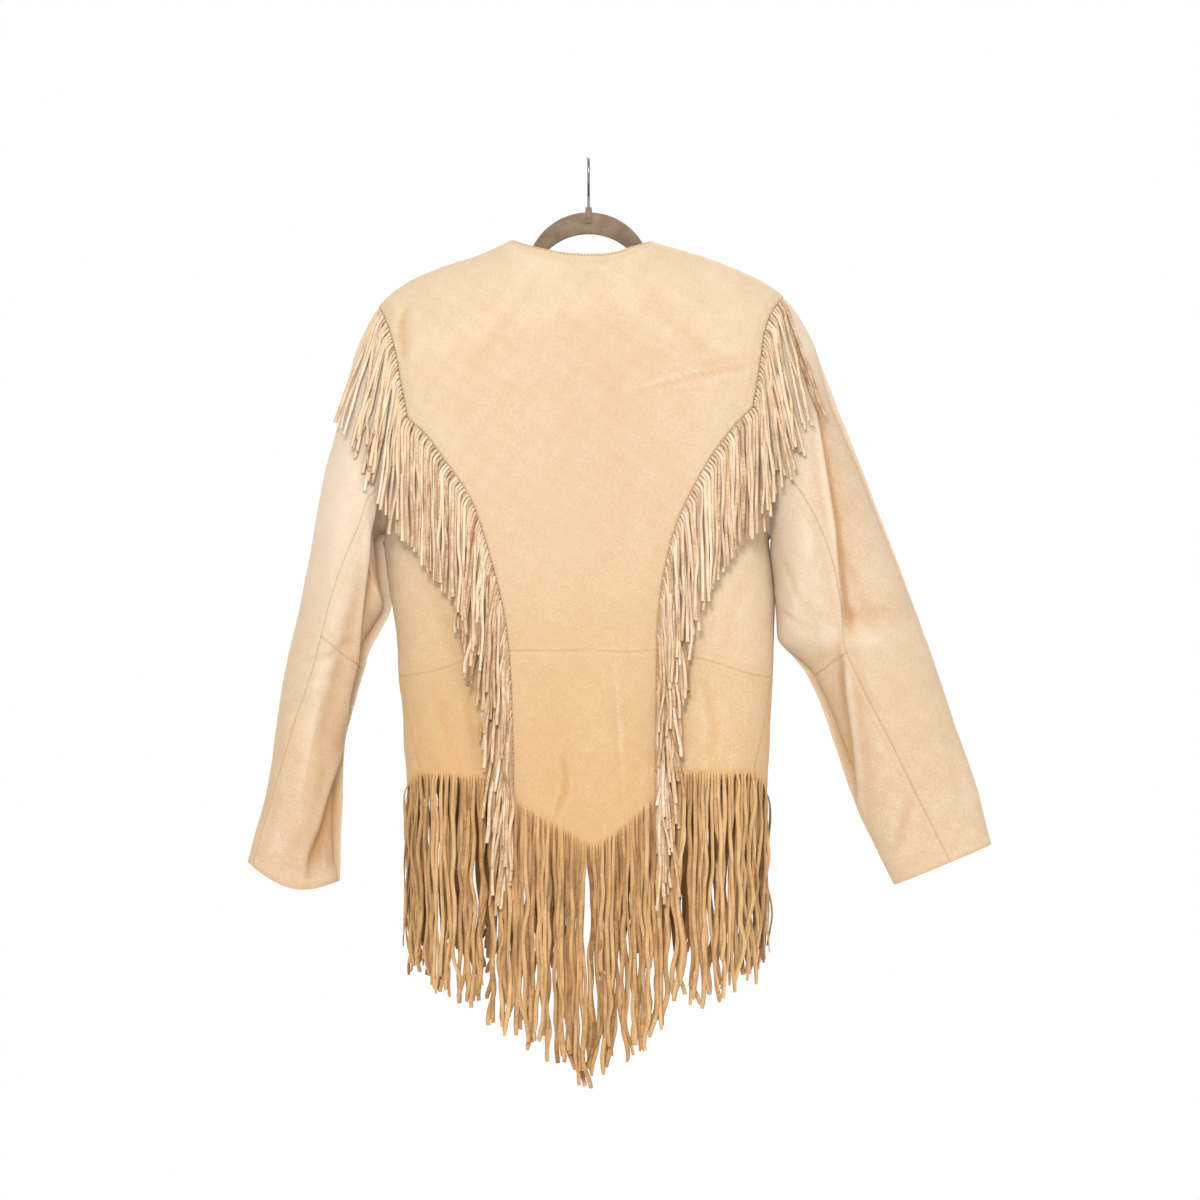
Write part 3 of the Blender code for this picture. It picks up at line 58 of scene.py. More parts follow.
# Points nearer than this, in metres, are one point; edges sharper than this, in degrees,
# are shaded hard; and this is how far out a place without cloth counts, in millimetres.
DOUBLES = 0.00001
HARD_EDGE = 50.0
NO_CLOTH = -900.0
Array = np.ndarray
Curve = Callable[[Array], Array]


class Side(Enum):
    """The two sides of the garment, by the letter that its nodes carry."""

    LEFT = "L"
    RIGHT = "R"

    @property
    def out(self) -> float:
        """The sign of X away from the centre."""
        return -1.0 if self is Side.LEFT else 1.0


class Face(Enum):
    """The back or the front, by the sign of Y that it looks towards."""

    BACK = -1
    FRONT = 1

    @property
    def word(self) -> str:
        """The word that node names use."""
        return "back" if self is Face.BACK else "front"


class Edge(Enum):
    """How an edge of a panel is finished."""

    SEAM = "seam"
    GATHERED = "gathered"
    FREE = "free"
    CUT = "cut"


Edges = tuple[Edge, Edge, Edge, Edge]


@dataclass(frozen=True)
class Table:
    """Rows of sizes under named columns."""

    columns: tuple[str, ...]
    rows: tuple[tuple[float, ...], ...]

    def column(self, name: str) -> Array:
        """The values of one column, from the first row to the last."""
        place = self.columns.index(name)
        return np.array([row[place] for row in self.rows], dtype=float)

    def curve(self, key: str, value: str) -> Curve:
        """A smooth function through the rows, which never overshoots them.

        Args:
            key: The column that the function takes.
            value: The column that it gives.

        Returns:
            A function of an array of keys.
        """
        return smooth_curve(self.column(key), self.column(value))


def hermite(t: Array, start: Array, end: Array, leave: Array, arrive: Array) -> Array:
    """A cubic from start to end at t of 0 to 1, with its slopes at the two ends."""
    rise = (2 * t**3 - 3 * t**2 + 1) * start + (3 * t**2 - 2 * t**3) * end
    return rise + (t**3 - 2 * t**2 + t) * leave + (t**3 - t**2) * arrive


def smooth_curve(keys: Array, values: Array) -> Curve:
    """A monotone cubic through points.

    Args:
        keys: Where the points lie, in any order.
        values: The value at each.

    Returns:
        A function of an array of keys.
    """
    order = np.argsort(keys)
    xs, ys = keys[order], values[order]
    slope = np.diff(ys) / np.diff(xs)
    tangent = np.concatenate([slope[:1], (slope[:-1] + slope[1:]) / 2.0, slope[-1:]])
    inner = tangent[1:-1]
    limit = 3.0 * np.minimum(np.abs(slope[:-1]), np.abs(slope[1:]))
    inner[:] = np.sign(inner) * np.minimum(np.abs(inner), limit)
    inner[slope[:-1] * slope[1:] <= 0.0] = 0.0

    def value_at(x: Array) -> Array:
        """The curve's value at x."""
        x = np.asarray(x, dtype=float)
        i = np.clip(np.searchsorted(xs, x) - 1, 0, len(xs) - 2)
        step = xs[i + 1] - xs[i]
        t = np.clip((x - xs[i]) / step, 0.0, 1.0)
        return hermite(t, ys[i], ys[i + 1], tangent[i] * step, tangent[i + 1] * step)

    return value_at


# Sizes of the garment's form.
LEATHER = 1.5
HALF_GAP = 0.05
SLEEVE_INSET = 0.1
CUFF_BOW_ROW = 12.0
SIDE_ROUND = 95.0
TOP_ROUND = 105.0
ROW_SCALE = 100.0
HALF_TURN = 3.0
WHOLE_TURN = 6.0
FRONT_NECK_DEPTH = 292.0
BACK_SIDE_HEM = -689.2
FRONT_HEM = -701.6
FRONT_LINE = -3.0
ELBOW_ROW = 9.0
BLEND_ROWS = 5.0
FRONT_SEAM = 0.83
PLAIN_WAIST = -586.0
DEPTHS = Table(
    ("z", "half"),
    ((-80, 60), (-250, 63), (-437, 63), (-556, 58), (-700, 64), (-800, 66)),
)
SIDES = Table(
    ("z", "left", "right"),
    (
        (-140, -254, 236), (-250, -247, 224), (-330, -239.5, 213.5), (-400, -233.5, 206),
        (-434, -231.2, 204.6), (-474, -227.5, 208.9), (-512, -221.3, 211), (-545, -216.6, 210.2),
        (-586, -215, 208.4), (-620, -210.3, 206.4), (-668, -208.7, 204.2), (-705, -205.3, 202.9),
    ),
)
RIDGE = Table(
    ("x", "z"),
    (
        (-262, -205), (-238, -168.5), (-216.6, -146.9), (-180.6, -127.8), (-122.1, -107.6),
        (-86.6, -91.8), (-48.9, -82), (0, -79), (41, -83), (70.9, -93.3), (127, -109.6),
        (170.4, -126.5), (208.5, -145.7), (221.6, -157.5), (246, -192),
    ),
)
BACK_NECK = Table(
    ("x", "z"),
    ((-86.6, -91.8), (-66, -99), (-40, -105), (0, -108.6), (30, -106.5), (52, -99), (70.9, -93.3)),
)
NECK_ENDS = (-85.0, 69.0)
ARMHOLES = {
    Side.LEFT: Table(
        ("z", "x"),
        (
            (-168.5, -238), (-180.3, -231.5), (-206.2, -222.5), (-250.1, -213.5), (-294.1, -205.8),
            (-330, -205.3), (-375, -212.1), (-414, -224), (-434, -231.2),
        ),
    ),
    Side.RIGHT: Table(
        ("z", "x"),
        (
            (-157.5, 221.6), (-171.1, 210.6), (-192.9, 201), (-225.6, 195.6), (-252.9, 191.6),
            (-282.8, 186.1), (-319.1, 183.9), (-364.1, 188.4), (-403.4, 198), (-431, 204.6),
        ),
    ),
}
PRINCESS = {
    Side.LEFT: Table(
        ("z", "x"),
        (
            (-294.1, -205.8), (-314.6, -183.7), (-345.7, -160.5), (-379.2, -137.3), (-410.2, -124.3),
            (-443.9, -114.2), (-505.8, -98.4), (-555.9, -91.7), (-654.3, -87), (-719.2, -86.2),
        ),
    ),
    Side.RIGHT: Table(
        ("z", "x"),
        (
            (-282.8, 186.1), (-302, 167), (-337.4, 139.7), (-375.5, 117.9), (-411, 101.6),
            (-449.2, 90.7), (-520.1, 79.8), (-555.1, 78.8), (-634.1, 77.6), (-717.6, 76.4),
        ),
    ),
}
WAIST_ROW = 7
WAIST = Table(
    ("x", "z"),
    (
        (-216, -586), (-176.4, -578.8), (-129.9, -564.3), (-91.7, -555.9), (0, -555.6), (42.2, -557.5),
        (78.8, -555.1), (113.5, -562), (148.4, -571), (180.6, -581.5), (209, -587),
    ),
)
SIDE_SEAM = Table(("z", "inset"), ((-437, 0), (-588, 2.2), (-634, 6), (-689, 16)))
BACK_HEM = Table(
    ("x", "z"),
    (
        (-86.2, -719.2), (-52.3, -740.6), (-17.4, -759.5), (7.8, -771.3), (29.8, -757.1),
        (55.1, -735.9), (76.4, -717.6),
    ),
)
FRONT_GAP = Table(("z", "half"), ((-292, 5), (-500, 9), (-702, 14)))
SLEEVES = {
    Side.LEFT: Table(
        ("xo", "zo", "xi", "zi", "depth", "seam"),
        (
            (-238, -168.5, -231.2, -434, 44, 0.6),
            (-245.8, -180.5, -233, -432, 45, 0.65),
            (-255, -198, -232.4, -437, 47, 0.69),
            (-263.7, -217.8, -229.8, -449.6, 50, 0.67),
            (-270.1, -241.4, -228.3, -464.2, 52, 0.62),
            (-276.2, -268.4, -226.8, -479, 54, 0.56),
            (-287.7, -315.7, -222.8, -504.7, 56, 0.49),
            (-300.7, -366.3, -236, -535.1, 56, 0.46),
            (-314.5, -440.6, -248.2, -557.6, 54, 0.41),
            (-329.6, -518.5, -253.4, -577, 50, 0.375),
            (-343, -577.8, -261.6, -605.9, 47, 0.353),
            (-354.3, -645.3, -275.8, -662.2, 43, 0.242),
            (-364.2, -712.8, -278.6, -733.1, 37, 0.1),
            (-385.8, -795.6, -282, -817.4, 29, 0.05),
        ),
    ),
    Side.RIGHT: Table(
        ("xo", "zo", "xi", "zi", "depth", "seam"),
        (
            (221.6, -157.5, 204.6, -431, 43, 0.6),
            (229.6, -166.5, 205.8, -429, 45, 0.65),
            (240.6, -182, 206, -434, 47, 0.655),
            (252.3, -204.3, 205.2, -446, 50, 0.63),
            (262.4, -231.3, 207, -463, 52, 0.58),
            (275.1, -262.8, 209, -481, 54, 0.535),
            (295.5, -315.7, 211.8, -516, 56, 0.462),
            (316.5, -369.7, 213.4, -541.8, 56, 0.434),
            (342.3, -437.2, 233, -565.4, 54, 0.528),
            (367.2, -503, 249.4, -588, 50, 0.66),
            (391.6, -572.2, 264.4, -622.8, 47, 0.634),
            (414.6, -639.7, 283, -675.7, 43, 0.56),
            (437.9, -707.2, 306.6, -740.9, 37, 0.5),
            (455.7, -775.5, 345.9, -821.1, 29, 0.43),
        ),
    ),
}
# Painted light and shade on the sleeves by height, as a change of tone: the left sleeve paler high up, the right one
# darker midway and paler near the cuff.
SLEEVE_LIGHT_BY_HEIGHT = {
    Side.LEFT: Table(("z", "tone"), ((-160, 0.2), (-380, 0.16), (-600, 0), (-700, -0.04), (-830, 0.04))),
    Side.RIGHT: Table(("z", "tone"), ((-160, 0), (-400, -0.14), (-560, -0.12), (-700, 0.04), (-830, 0.16))),
}
CUFF_BOW = {Side.LEFT: 18.3, Side.RIGHT: 0.0}
HEM_ENDS = Table(
    ("x", "z"),
    (
        (-214, -905), (-204, -913), (-185, -928), (-166, -936), (-145, -946), (-114, -950),
        (-94.5, -981), (-79, -986), (-51, -999), (-34, -1013), (-23, -1024), (-8, -1037),
        (10, -1030), (22, -1015), (44, -1006), (56, -994), (77, -986), (86, -978), (97, -954),
        (119, -947), (148, -938), (171, -925), (187, -916), (205, -909),
    ),
)


@dataclass(frozen=True)
class Crease:
    """A soft fold that a worn hide keeps, along a line seen from the back or front.

    Fields:
        line: Its (x, z) points.
        rise: Its height; a trough's is negative.
        width: How far it spreads to each side.
        sharp: The share of that width on its far side, under 1 for a lopsided fold.
        face: The face that carries it.
        ends: How much of its height is left at its two ends.
    """

    line: tuple[tuple[float, float], ...]
    rise: float
    width: float
    sharp: float = 1.0
    face: Face = Face.BACK
    ends: float = 0.3


@dataclass(frozen=True)
class Step:
    """A lengthwise fold of a sleeve, past which the leather turns away and lies deeper.

    Fields:
        line: The fold's (x, z) points, from top to bottom.
        drop: How much deeper the leather lies past it.
        width: Over how many millimetres it falls.
        side: The sleeve's side.
        dark: How much painted shade darkens it before the fold and past it.
        outward: Whether the deeper part is the one away from the body.
        face: The face that carries it.
    """

    line: tuple[tuple[float, float], ...]
    drop: float
    width: float
    side: Side
    dark: tuple[float, float]
    outward: bool = False
    face: Face = Face.BACK


BODY_CREASES = (
    Crease(((-206, -172), (-211, -236)), -3.5, 9.0, ends=0.37),
    Crease(((28, -250), (33, -530)), -1.8, 16.0, ends=0.37),
    Crease(((34, -570), (42, -715)), -3.0, 14.0, ends=0.37),
    Crease(((-46, -590), (-36, -735)), -3.4, 16.0, ends=0.37),
    Crease(((120, -240), (188, -228)), -1.6, 10.0, ends=0.37),
    Crease(((-206.4, -169.4), (-213.2, -187.4), (-215.4, -202), (-210.9, -223.4)), -3.0, 5.5, 0.6),
    Crease(((54.6, -260.5), (120.9, -242.5), (190.7, -229)), 0.8, 3.2),
    Crease(((56, -264), (121, -246.2), (190, -232.6)), -0.9, 3.0),
    Crease(((29.8, -558.7), (37.7, -678), (41.7, -731)), 3.0, 9.0, 0.5),
    Crease(((-30, -672), (-27.4, -696), (-28.6, -716), (-38.2, -746)), -2.7, 6.5, 0.5),
    Crease(((-25, -680), (-21, -702), (-23, -722), (-31, -748)), 1.0, 5.0),
    Crease(((-70, -575), (-58, -640), (-61, -700)), -1.3, 10.0),
    Crease(((58, -590), (61, -650), (56, -705)), -1.3, 9.0),
    Crease(((2, -600), (8, -680), (4, -745)), 1.2, 12.0),
    Crease(((-140, -590), (-132, -640), (-126, -680)), -1.6, 8.0, 0.6),
    Crease(((-176, -600), (-160, -650), (-152, -684)), -1.2, 7.0),
    Crease(((130, -590), (140, -640), (137, -684)), -1.3, 8.0, 0.6),
    Crease(((176, -470), (160, -520), (157, -560)), -1.2, 9.0),
    Crease(((-180, -480), (-160, -525), (-152, -560)), -1.2, 9.0),
    Crease(((-60, -150), (-110, -210), (-130, -260)), -1.3, 14.0),
    Crease(((60, -150), (112, -200), (140, -225)), -1.2, 13.0),
    Crease(((-20, -300), (-45, -390), (-52, -470)), -1.1, 18.0),
    Crease(((70, -320), (60, -420), (62, -500)), 0.9, 14.0),
    Crease(((-120, -330), (-96, -520)), 3.0, 18.0, face=Face.FRONT, ends=0.37),
    Crease(((96, -320), (80, -540)), -3.0, 18.0, face=Face.FRONT, ends=0.37),
    Crease(((-50, -600), (-44, -690)), -3.0, 15.0, face=Face.FRONT, ends=0.37),
    Crease(((56, -590), (48, -690)), 2.6, 15.0, face=Face.FRONT, ends=0.37),
    Crease(((-150, -170), (-110, -240), (-100, -300)), -1.6, 12.0, face=Face.FRONT),
    Crease(((150, -165), (112, -230), (92, -300)), -1.6, 12.0, face=Face.FRONT),
    Crease(((-60, -360), (-40, -430), (-44, -520)), -1.6, 10.0, 0.6, Face.FRONT),
    Crease(((44, -340), (34, -420), (40, -500)), 1.4, 9.0, 0.6, Face.FRONT),
    Crease(((-150, -590), (-140, -640), (-136, -695)), -1.5, 8.0, 0.6, Face.FRONT),
    Crease(((150, -590), (136, -650), (140, -698)), -1.5, 8.0, 0.6, Face.FRONT),
    Crease(((-30, -575), (-24, -640), (-28, -695)), 1.2, 6.0, face=Face.FRONT),
    Crease(((24, -575), (30, -640), (26, -695)), -1.2, 6.0, face=Face.FRONT),
)
SLEEVE_CREASES = (
    Crease(((208.7, -433.8), (222.2, -461.9), (232.3, -490), (245.8, -515.9)), -1.3, 5.0, 0.6),
    Crease(((211.5, -509.2), (222, -514), (233.4, -523.8)), -1.4, 3.2, 0.6),
    Crease(((363.9, -724.1), (356.1, -745.4), (345.9, -778)), -1.2, 6.5),
    Crease(((268, -410), (300, -470), (322, -530)), -1.4, 9.0),
    Crease(((330, -560), (352, -610), (372, -650)), -0.6, 10.0),
    Crease(((300, -600), (322, -620), (352, -628)), -0.6, 9.0),
    Crease(((310, -640), (332, -668), (352, -700)), 0.5, 9.0),
    Crease(((400, -640), (412, -690), (424, -740)), -1.2, 9.0),
    Crease(((-290, -330), (-296, -400), (-306, -460)), -1.4, 10.0),
    Crease(((-262, -540), (-290, -560), (-322, -566)), -1.5, 6.0, 0.6),
    Crease(((-272, -600), (-300, -592), (-330, -600)), 1.2, 7.0),
    Crease(((-300, -620), (-312, -680), (-322, -740)), -1.5, 8.0, 0.6),
    Crease(((-330, -610), (-344, -670), (-352, -730)), 1.1, 9.0),
    Crease(((-350, -720), (-362, -760), (-372, -790)), -1.3, 7.0),
    Crease(((-299.6, -765.4), (-291, -802.4)), 0.8, 3.5),
    Crease(((-262, -250), (-270, -310), (-276, -350)), -1.3, 9.0, face=Face.FRONT),
    Crease(((-262, -520), (-292, -548), (-330, -560)), -1.8, 7.0, 0.5, Face.FRONT),
    Crease(((-270, -585), (-300, -600), (-336, -604)), 1.5, 7.0, face=Face.FRONT),
    Crease(((-300, -640), (-322, -700), (-334, -770)), -1.6, 8.0, 0.6, Face.FRONT),
    Crease(((262, -250), (285, -320), (300, -380)), -1.3, 10.0, face=Face.FRONT),
    Crease(((262, -530), (300, -560), (345, -566)), -1.8, 7.0, 0.5, Face.FRONT),
    Crease(((280, -600), (318, -616), (360, -612)), 1.5, 7.0, face=Face.FRONT),
    Crease(((340, -640), (372, -700), (394, -760)), -1.6, 8.0, 0.6, Face.FRONT),
)
SLEEVE_STEPS = (
    Step(
        (
            (-232, -330), (-235.2, -364), (-241.3, -407.9), (-245.8, -441.7), (-252.1, -505.8),
            (-259.9, -572.2), (-269, -609.3), (-277.8, -670), (-293.1, -717.3), (-303.2, -752.9),
            (-319.2, -789.3), (-326, -830),
        ),
        15.0, 9.0, Side.LEFT, (0.6, 0.62),
    ),
    Step(
        ((240, -215), (252, -262), (262, -320), (270.6, -378.7), (276.2, -416.9), (280, -470), (287, -552)),
        11.0, 8.0, Side.RIGHT, (0.0, 0.6), True,
    ),
    Step(
        ((286, -535), (288.2, -562.1), (290.8, -604.8), (298.4, -662.2), (303.2, -704.9), (305, -770)),
        14.0, 10.0, Side.RIGHT, (0.1, 0.5),
    ),
)


@dataclass(frozen=True)
class LongFold:
    """A fold down a sleeve, by section number and by the share of the way round it."""

    side: Side
    face: Face
    rows: tuple[float, float]
    shares: tuple[float, float]
    width: float
    rise: float


LONG_FOLDS = (
    LongFold(Side.LEFT, Face.BACK, (5, 12.5), (0.76, 0.72), 0.13, -6),
    LongFold(Side.LEFT, Face.BACK, (6, 11.5), (0.3, 0.55), 0.12, 1.5),
    LongFold(Side.RIGHT, Face.BACK, (4.5, 11.5), (0.28, 0.86), 0.13, -6),
    LongFold(Side.RIGHT, Face.BACK, (6.5, 9), (0.62, 0.88), 0.11, -3),
    LongFold(Side.LEFT, Face.FRONT, (5, 12), (0.5, 0.62), 0.13, -4),
    LongFold(Side.RIGHT, Face.FRONT, (5, 12), (0.45, 0.66), 0.13, -4),
)


def unit(vectors: Array) -> Array:
    """The vectors, each made 1 long."""
    return vectors / np.maximum(np.linalg.norm(vectors, axis=-1, keepdims=True), 1e-9)


def lengths(points: Array, axis: int = 0) -> Array:
    """How far along its line, or the lines of a grid, each point lies."""
    steps = np.linalg.norm(np.diff(points, axis=axis), axis=-1)
    return np.cumsum(np.insert(steps, 0, 0.0, axis=axis), axis=axis)


def at_lengths(places: Array | float, run: Array, points: Array) -> Array:
    """The points that lie at given distances along a line, whose own points lie at run."""
    return np.stack([np.interp(places, run, points[:, k]) for k in range(3)], axis=-1)


def bell(off: Array, width: float) -> Array:
    """A soft bump, 1 where off is 0, that fades over a width to both sides."""
    return np.exp(-((off / width) ** 2))


def smoothstep(value: Array) -> Array:
    """A soft step from 0 to 1 as the value goes from 0 to 1."""
    value = np.clip(value, 0.0, 1.0)
    return value * value * (3.0 - 2.0 * value)


def off_line(seen: Array, line: Sequence[tuple[float, float]]) -> tuple[Array, Array]:
    """Where points lie about a line of several stretches.

    Args:
        seen: The points' (x, z).
        line: The line's (x, z) points.

    Returns:
        The signed distance from the line, and the share of the way down it.
    """
    knots = np.array(line, dtype=float)
    runs = np.linalg.norm(np.diff(knots, axis=0), axis=1)
    best = np.full(seen.shape[:-1], 1e9)
    signed, share = best.copy(), np.zeros(seen.shape[:-1])
    before = 0.0
    for start, end, length in zip(knots[:-1], knots[1:], runs):
        run = (end - start) / length
        rel = seen - start
        along = np.clip(rel @ run, 0.0, length)
        away = rel - along[..., None] * run
        far = np.linalg.norm(away, axis=-1)
        sign = np.where(run[0] * rel[..., 1] - run[1] * rel[..., 0] < 0.0, -1.0, 1.0)
        closer = far < best
        best = np.where(closer, far, best)
        signed = np.where(closer, far * sign, signed)
        share = np.where(closer, (before + along) / runs.sum(), share)
        before += length
    return signed, share


@dataclass
class JacketForm:
    """The surface that every panel is cut from: the body and the two sleeves.

    On the body, n runs round it (0 the left side, 3 the right side across the back, 6 the
    left side again across the front) and w runs down it from the shoulder line.
    """

    depth_at: Curve = DEPTHS.curve("z", "half")
    left_at: Curve = SIDES.curve("z", "left")
    right_at: Curve = SIDES.curve("z", "right")
    ridge_at: Curve = RIDGE.curve("x", "z")
    waist_at: Curve = WAIST.curve("x", "z")
    inset_at: Curve = SIDE_SEAM.curve("z", "inset")
    front_half_at: Curve = FRONT_GAP.curve("z", "half")
    arm_at: dict = field(default_factory=lambda: {s: ARMHOLES[s].curve("z", "x") for s in Side})
    princess_at: dict = field(default_factory=lambda: {s: PRINCESS[s].curve("z", "x") for s in Side})
    sleeve_at: dict = field(default_factory=dict)

    def __post_init__(self) -> None:
        """Makes the sleeves' section sizes smooth functions of the section number."""
        for side, table in SLEEVES.items():
            rows = np.arange(len(table.rows), dtype=float)
            self.sleeve_at[side] = {name: smooth_curve(rows, table.column(name)) for name in table.columns}

    def shoulder_point(self, side: Side) -> tuple[float, float]:
        """The (z, x) where the shoulder seam meets the armhole."""
        return ARMHOLES[side].rows[0]

    def underarm(self, side: Side) -> tuple[float, float]:
        """The (z, x) of the armhole's lowest point."""
        return ARMHOLES[side].rows[-1]

    def branch(self, side: Side) -> float:
        """The height at which the princess seam leaves the armhole."""
        return PRINCESS[side].rows[0][0]

    def body_param(self, x: Array, z: Array, face: Face) -> tuple[Array, Array]:
        """Where points seen at (x, z) lie on the body.

        Args:
            x: Their X.
            z: Their Z.
            face: Whether they are seen from the back or the front.

        Returns:
            The turn n and the row w of each.
        """
        x, z = np.asarray(x, dtype=float), np.asarray(z, dtype=float)
        left, right = self.left_at(z), self.right_at(z)
        from_left = np.clip(x - left, 0.0, None)
        from_right = np.clip(right - x, 0.0, None)
        arc_left = quarter_arc(from_left / SIDE_ROUND)
        arc_right = HALF_TURN - quarter_arc(from_right / SIDE_ROUND)
        middle = 1.0 + (from_left - SIDE_ROUND) / (right - left - 2.0 * SIDE_ROUND)
        n = np.where(from_right < SIDE_ROUND, arc_right, middle)
        n = np.where(from_left < SIDE_ROUND, arc_left, n)
        drop = np.clip(self.ridge_at(x) - z, 0.0, None)
        w = np.where(drop < TOP_ROUND, quarter_arc(drop / TOP_ROUND), 1.0 + (drop - TOP_ROUND) / ROW_SCALE)
        return (n if face is Face.BACK else WHOLE_TURN - n), w

    def body_point(self, n: Array, w: Array) -> Array:
        """The plain points of the body's outer face.

        Args:
            n: Their turns round the body.
            w: Their rows down it.

        Returns:
            The points.
        """
        n, w = np.broadcast_arrays(np.mod(np.asarray(n, dtype=float), WHOLE_TURN), np.asarray(w, dtype=float))
        back = n <= HALF_TURN
        m = np.where(back, n, WHOLE_TURN - n)
        side = np.where(m < 1.0, m, np.where(m > 2.0, HALF_TURN - m, 1.0)) * np.pi / 2.0
        top = np.clip(w, -1.0, 1.0) * np.pi / 2.0
        fall = TOP_ROUND * (1.0 - np.cos(top)) + np.clip(w - 1.0, 0.0, None) * ROW_SCALE
        reach = SIDE_ROUND * (1.0 - np.cos(side))
        z = np.full(n.shape, -300.0)
        for _ in range(14):
            left, right = self.left_at(z), self.right_at(z)
            inner = left + SIDE_ROUND + (m - 1.0) * (right - left - 2.0 * SIDE_ROUND)
            x = np.where(m < 1.0, left + reach, np.where(m > 2.0, right - reach, inner))
            z = self.ridge_at(x) - fall
        y = self.depth_at(z) * np.sin(side) * np.sin(top)
        return np.stack([x, np.where(back, -y, y), z], axis=-1)

    def body_surface(self, n: Array, w: Array) -> tuple[Array, Array]:
        """The body's outer face with its creases.

        Args:
            n: The turns round the body.
            w: The rows down it.

        Returns:
            The points, and the outward directions there.
        """
        step = 0.004
        points = self.body_point(n, w)
        along = self.body_point(n + step, w) - self.body_point(n - step, w)
        down = self.body_point(n, w + step) - self.body_point(n, w - step)
        normals = unit(np.cross(down, along))
        calm = np.abs(normals[..., 1]) ** 2
        height = crease_height(points, BODY_CREASES) * calm + slow_waves(points, 0.45)
        return points + normals * height[..., None], normals

    def armhole_angles(self, side: Side, upper: int, lower: int) -> Array:
        """Turns round an armhole, 0 at the shoulder point and pi at the underarm.

        Args:
            side: The armhole's side.
            upper: How many steps it has above the princess seam.
            lower: How many it has below.

        Returns:
            The turns, one more than the steps.
        """
        top, low = self.shoulder_point(side)[0], self.underarm(side)[0]
        branch = math.acos(1.0 - 2.0 * (self.branch(side) - top) / (low - top))
        return join(np.linspace(0.0, branch, upper + 1), np.linspace(branch, math.pi, lower + 1))

    def armhole_seam(self, side: Side, face: Face, angles: Array) -> Array:
        """The armhole's places on the body, from the shoulder to the underarm.

        Args:
            side: Its side.
            face: Back or front.
            angles: Turns round the armhole.

        Returns:
            The place (n, w) at each turn.
        """
        top, low = self.shoulder_point(side)[0], self.underarm(side)[0]
        z = top + (low - top) * (1.0 - np.cos(angles)) / 2.0
        n, w = self.body_param(self.arm_at[side](z), z, face)
        w[0] = 0.0
        end = 0.0 if side is Side.LEFT else HALF_TURN
        n[-1] = end if face is Face.BACK or side is Side.RIGHT else WHOLE_TURN
        return np.stack([n, w], axis=-1)

    def sleeve_plain(self, side: Side, row: Array, angle: Array, face: Face) -> Array:
        """The plain points of a sleeve's outer face.

        Args:
            side: Its side.
            row: Section numbers from the top.
            angle: Turns from the outer end.
            face: Back or front.

        Returns:
            The points.
        """
        at = {name: curve(row) for name, curve in self.sleeve_at[side].items()}
        share = (1.0 - np.cos(angle)) / 2.0
        x = at["xo"] + (at["xi"] - at["xo"]) * share
        z = at["zo"] + (at["zi"] - at["zo"]) * share
        if face is Face.BACK:
            z = z - CUFF_BOW[side] * np.clip(row - CUFF_BOW_ROW, 0.0, 1.0) ** 2 * np.sin(np.pi * share)
        (top_z, top_x), (low_z, low_x) = self.shoulder_point(side), self.underarm(side)
        z0 = top_z + (low_z - top_z) * share
        seam_x = self.arm_at[side](z0)
        seam_y = np.abs(self.body_point(*self.body_param(seam_x, z0, face))[..., 1])
        fade = np.clip(1.0 - row / BLEND_ROWS, 0.0, 1.0) ** 2
        x = x + fade * (seam_x - top_x - (low_x - top_x) * share)
        y = at["depth"] * np.sin(angle)
        y = y + fade * (seam_y - self.sleeve_at[side]["depth"](0.0) * np.sin(angle))
        return np.stack([x, face.value * y, z], axis=-1)

    def sleeve_surface(self, side: Side, row: Array, angle: Array, face: Face) -> tuple[Array, Array]:
        """A sleeve's outer face with its folds.

        Args:
            side: Its side.
            row: Section numbers from the top.
            angle: Turns from the outer end.
            face: Back or front.

        Returns:
            The points, and the outward directions there.
        """
        step = 0.02
        row, angle = np.broadcast_arrays(np.asarray(row, dtype=float), np.asarray(angle, dtype=float))

        def plain_at(row: Array, angle: Array) -> Array:
            """The sleeve's plain points."""
            return self.sleeve_plain(side, row, angle, face)

        plain = plain_at(row, angle)
        down = plain_at(row + step, angle) - plain_at(np.maximum(row - step, 0.0), angle)
        turn = plain_at(row, angle + step) - plain_at(row, angle - step)
        normals = unit(np.cross(down, turn)) * face.value * side.out
        share = (1.0 - np.cos(angle)) / 2.0
        height = np.zeros(share.shape)
        for fold in LONG_FOLDS:
            if fold.side is side and fold.face is face:
                along = (row - fold.rows[0]) / (fold.rows[1] - fold.rows[0])
                at = fold.shares[0] + (fold.shares[1] - fold.shares[0]) * np.clip(along, 0.0, 1.0)
                fade = np.sin(np.pi * np.clip(0.1 + 0.8 * along, 0.0, 1.0))
                fade = np.where(np.abs(along - 0.5) > 0.625, 0.0, fade)
                height += fold.rise * fade * bell(share - at, fold.width)
        fine = crease_height(plain, SLEEVE_CREASES) * np.abs(normals[..., 1])
        fine += slow_waves(plain, 0.4)
        fine += sleeve_step_height(plain, side, face)
        height += fine * smoothstep(row / 1.5)
        return plain + normals * height[..., None], normals


def quarter_arc(share: Array) -> Array:
    """How far round a quarter turn, 0 to 1, an edge has rounded at a share of its width."""
    return np.arccos(np.clip(1.0 - share, 0.0, 1.0)) * 2.0 / np.pi


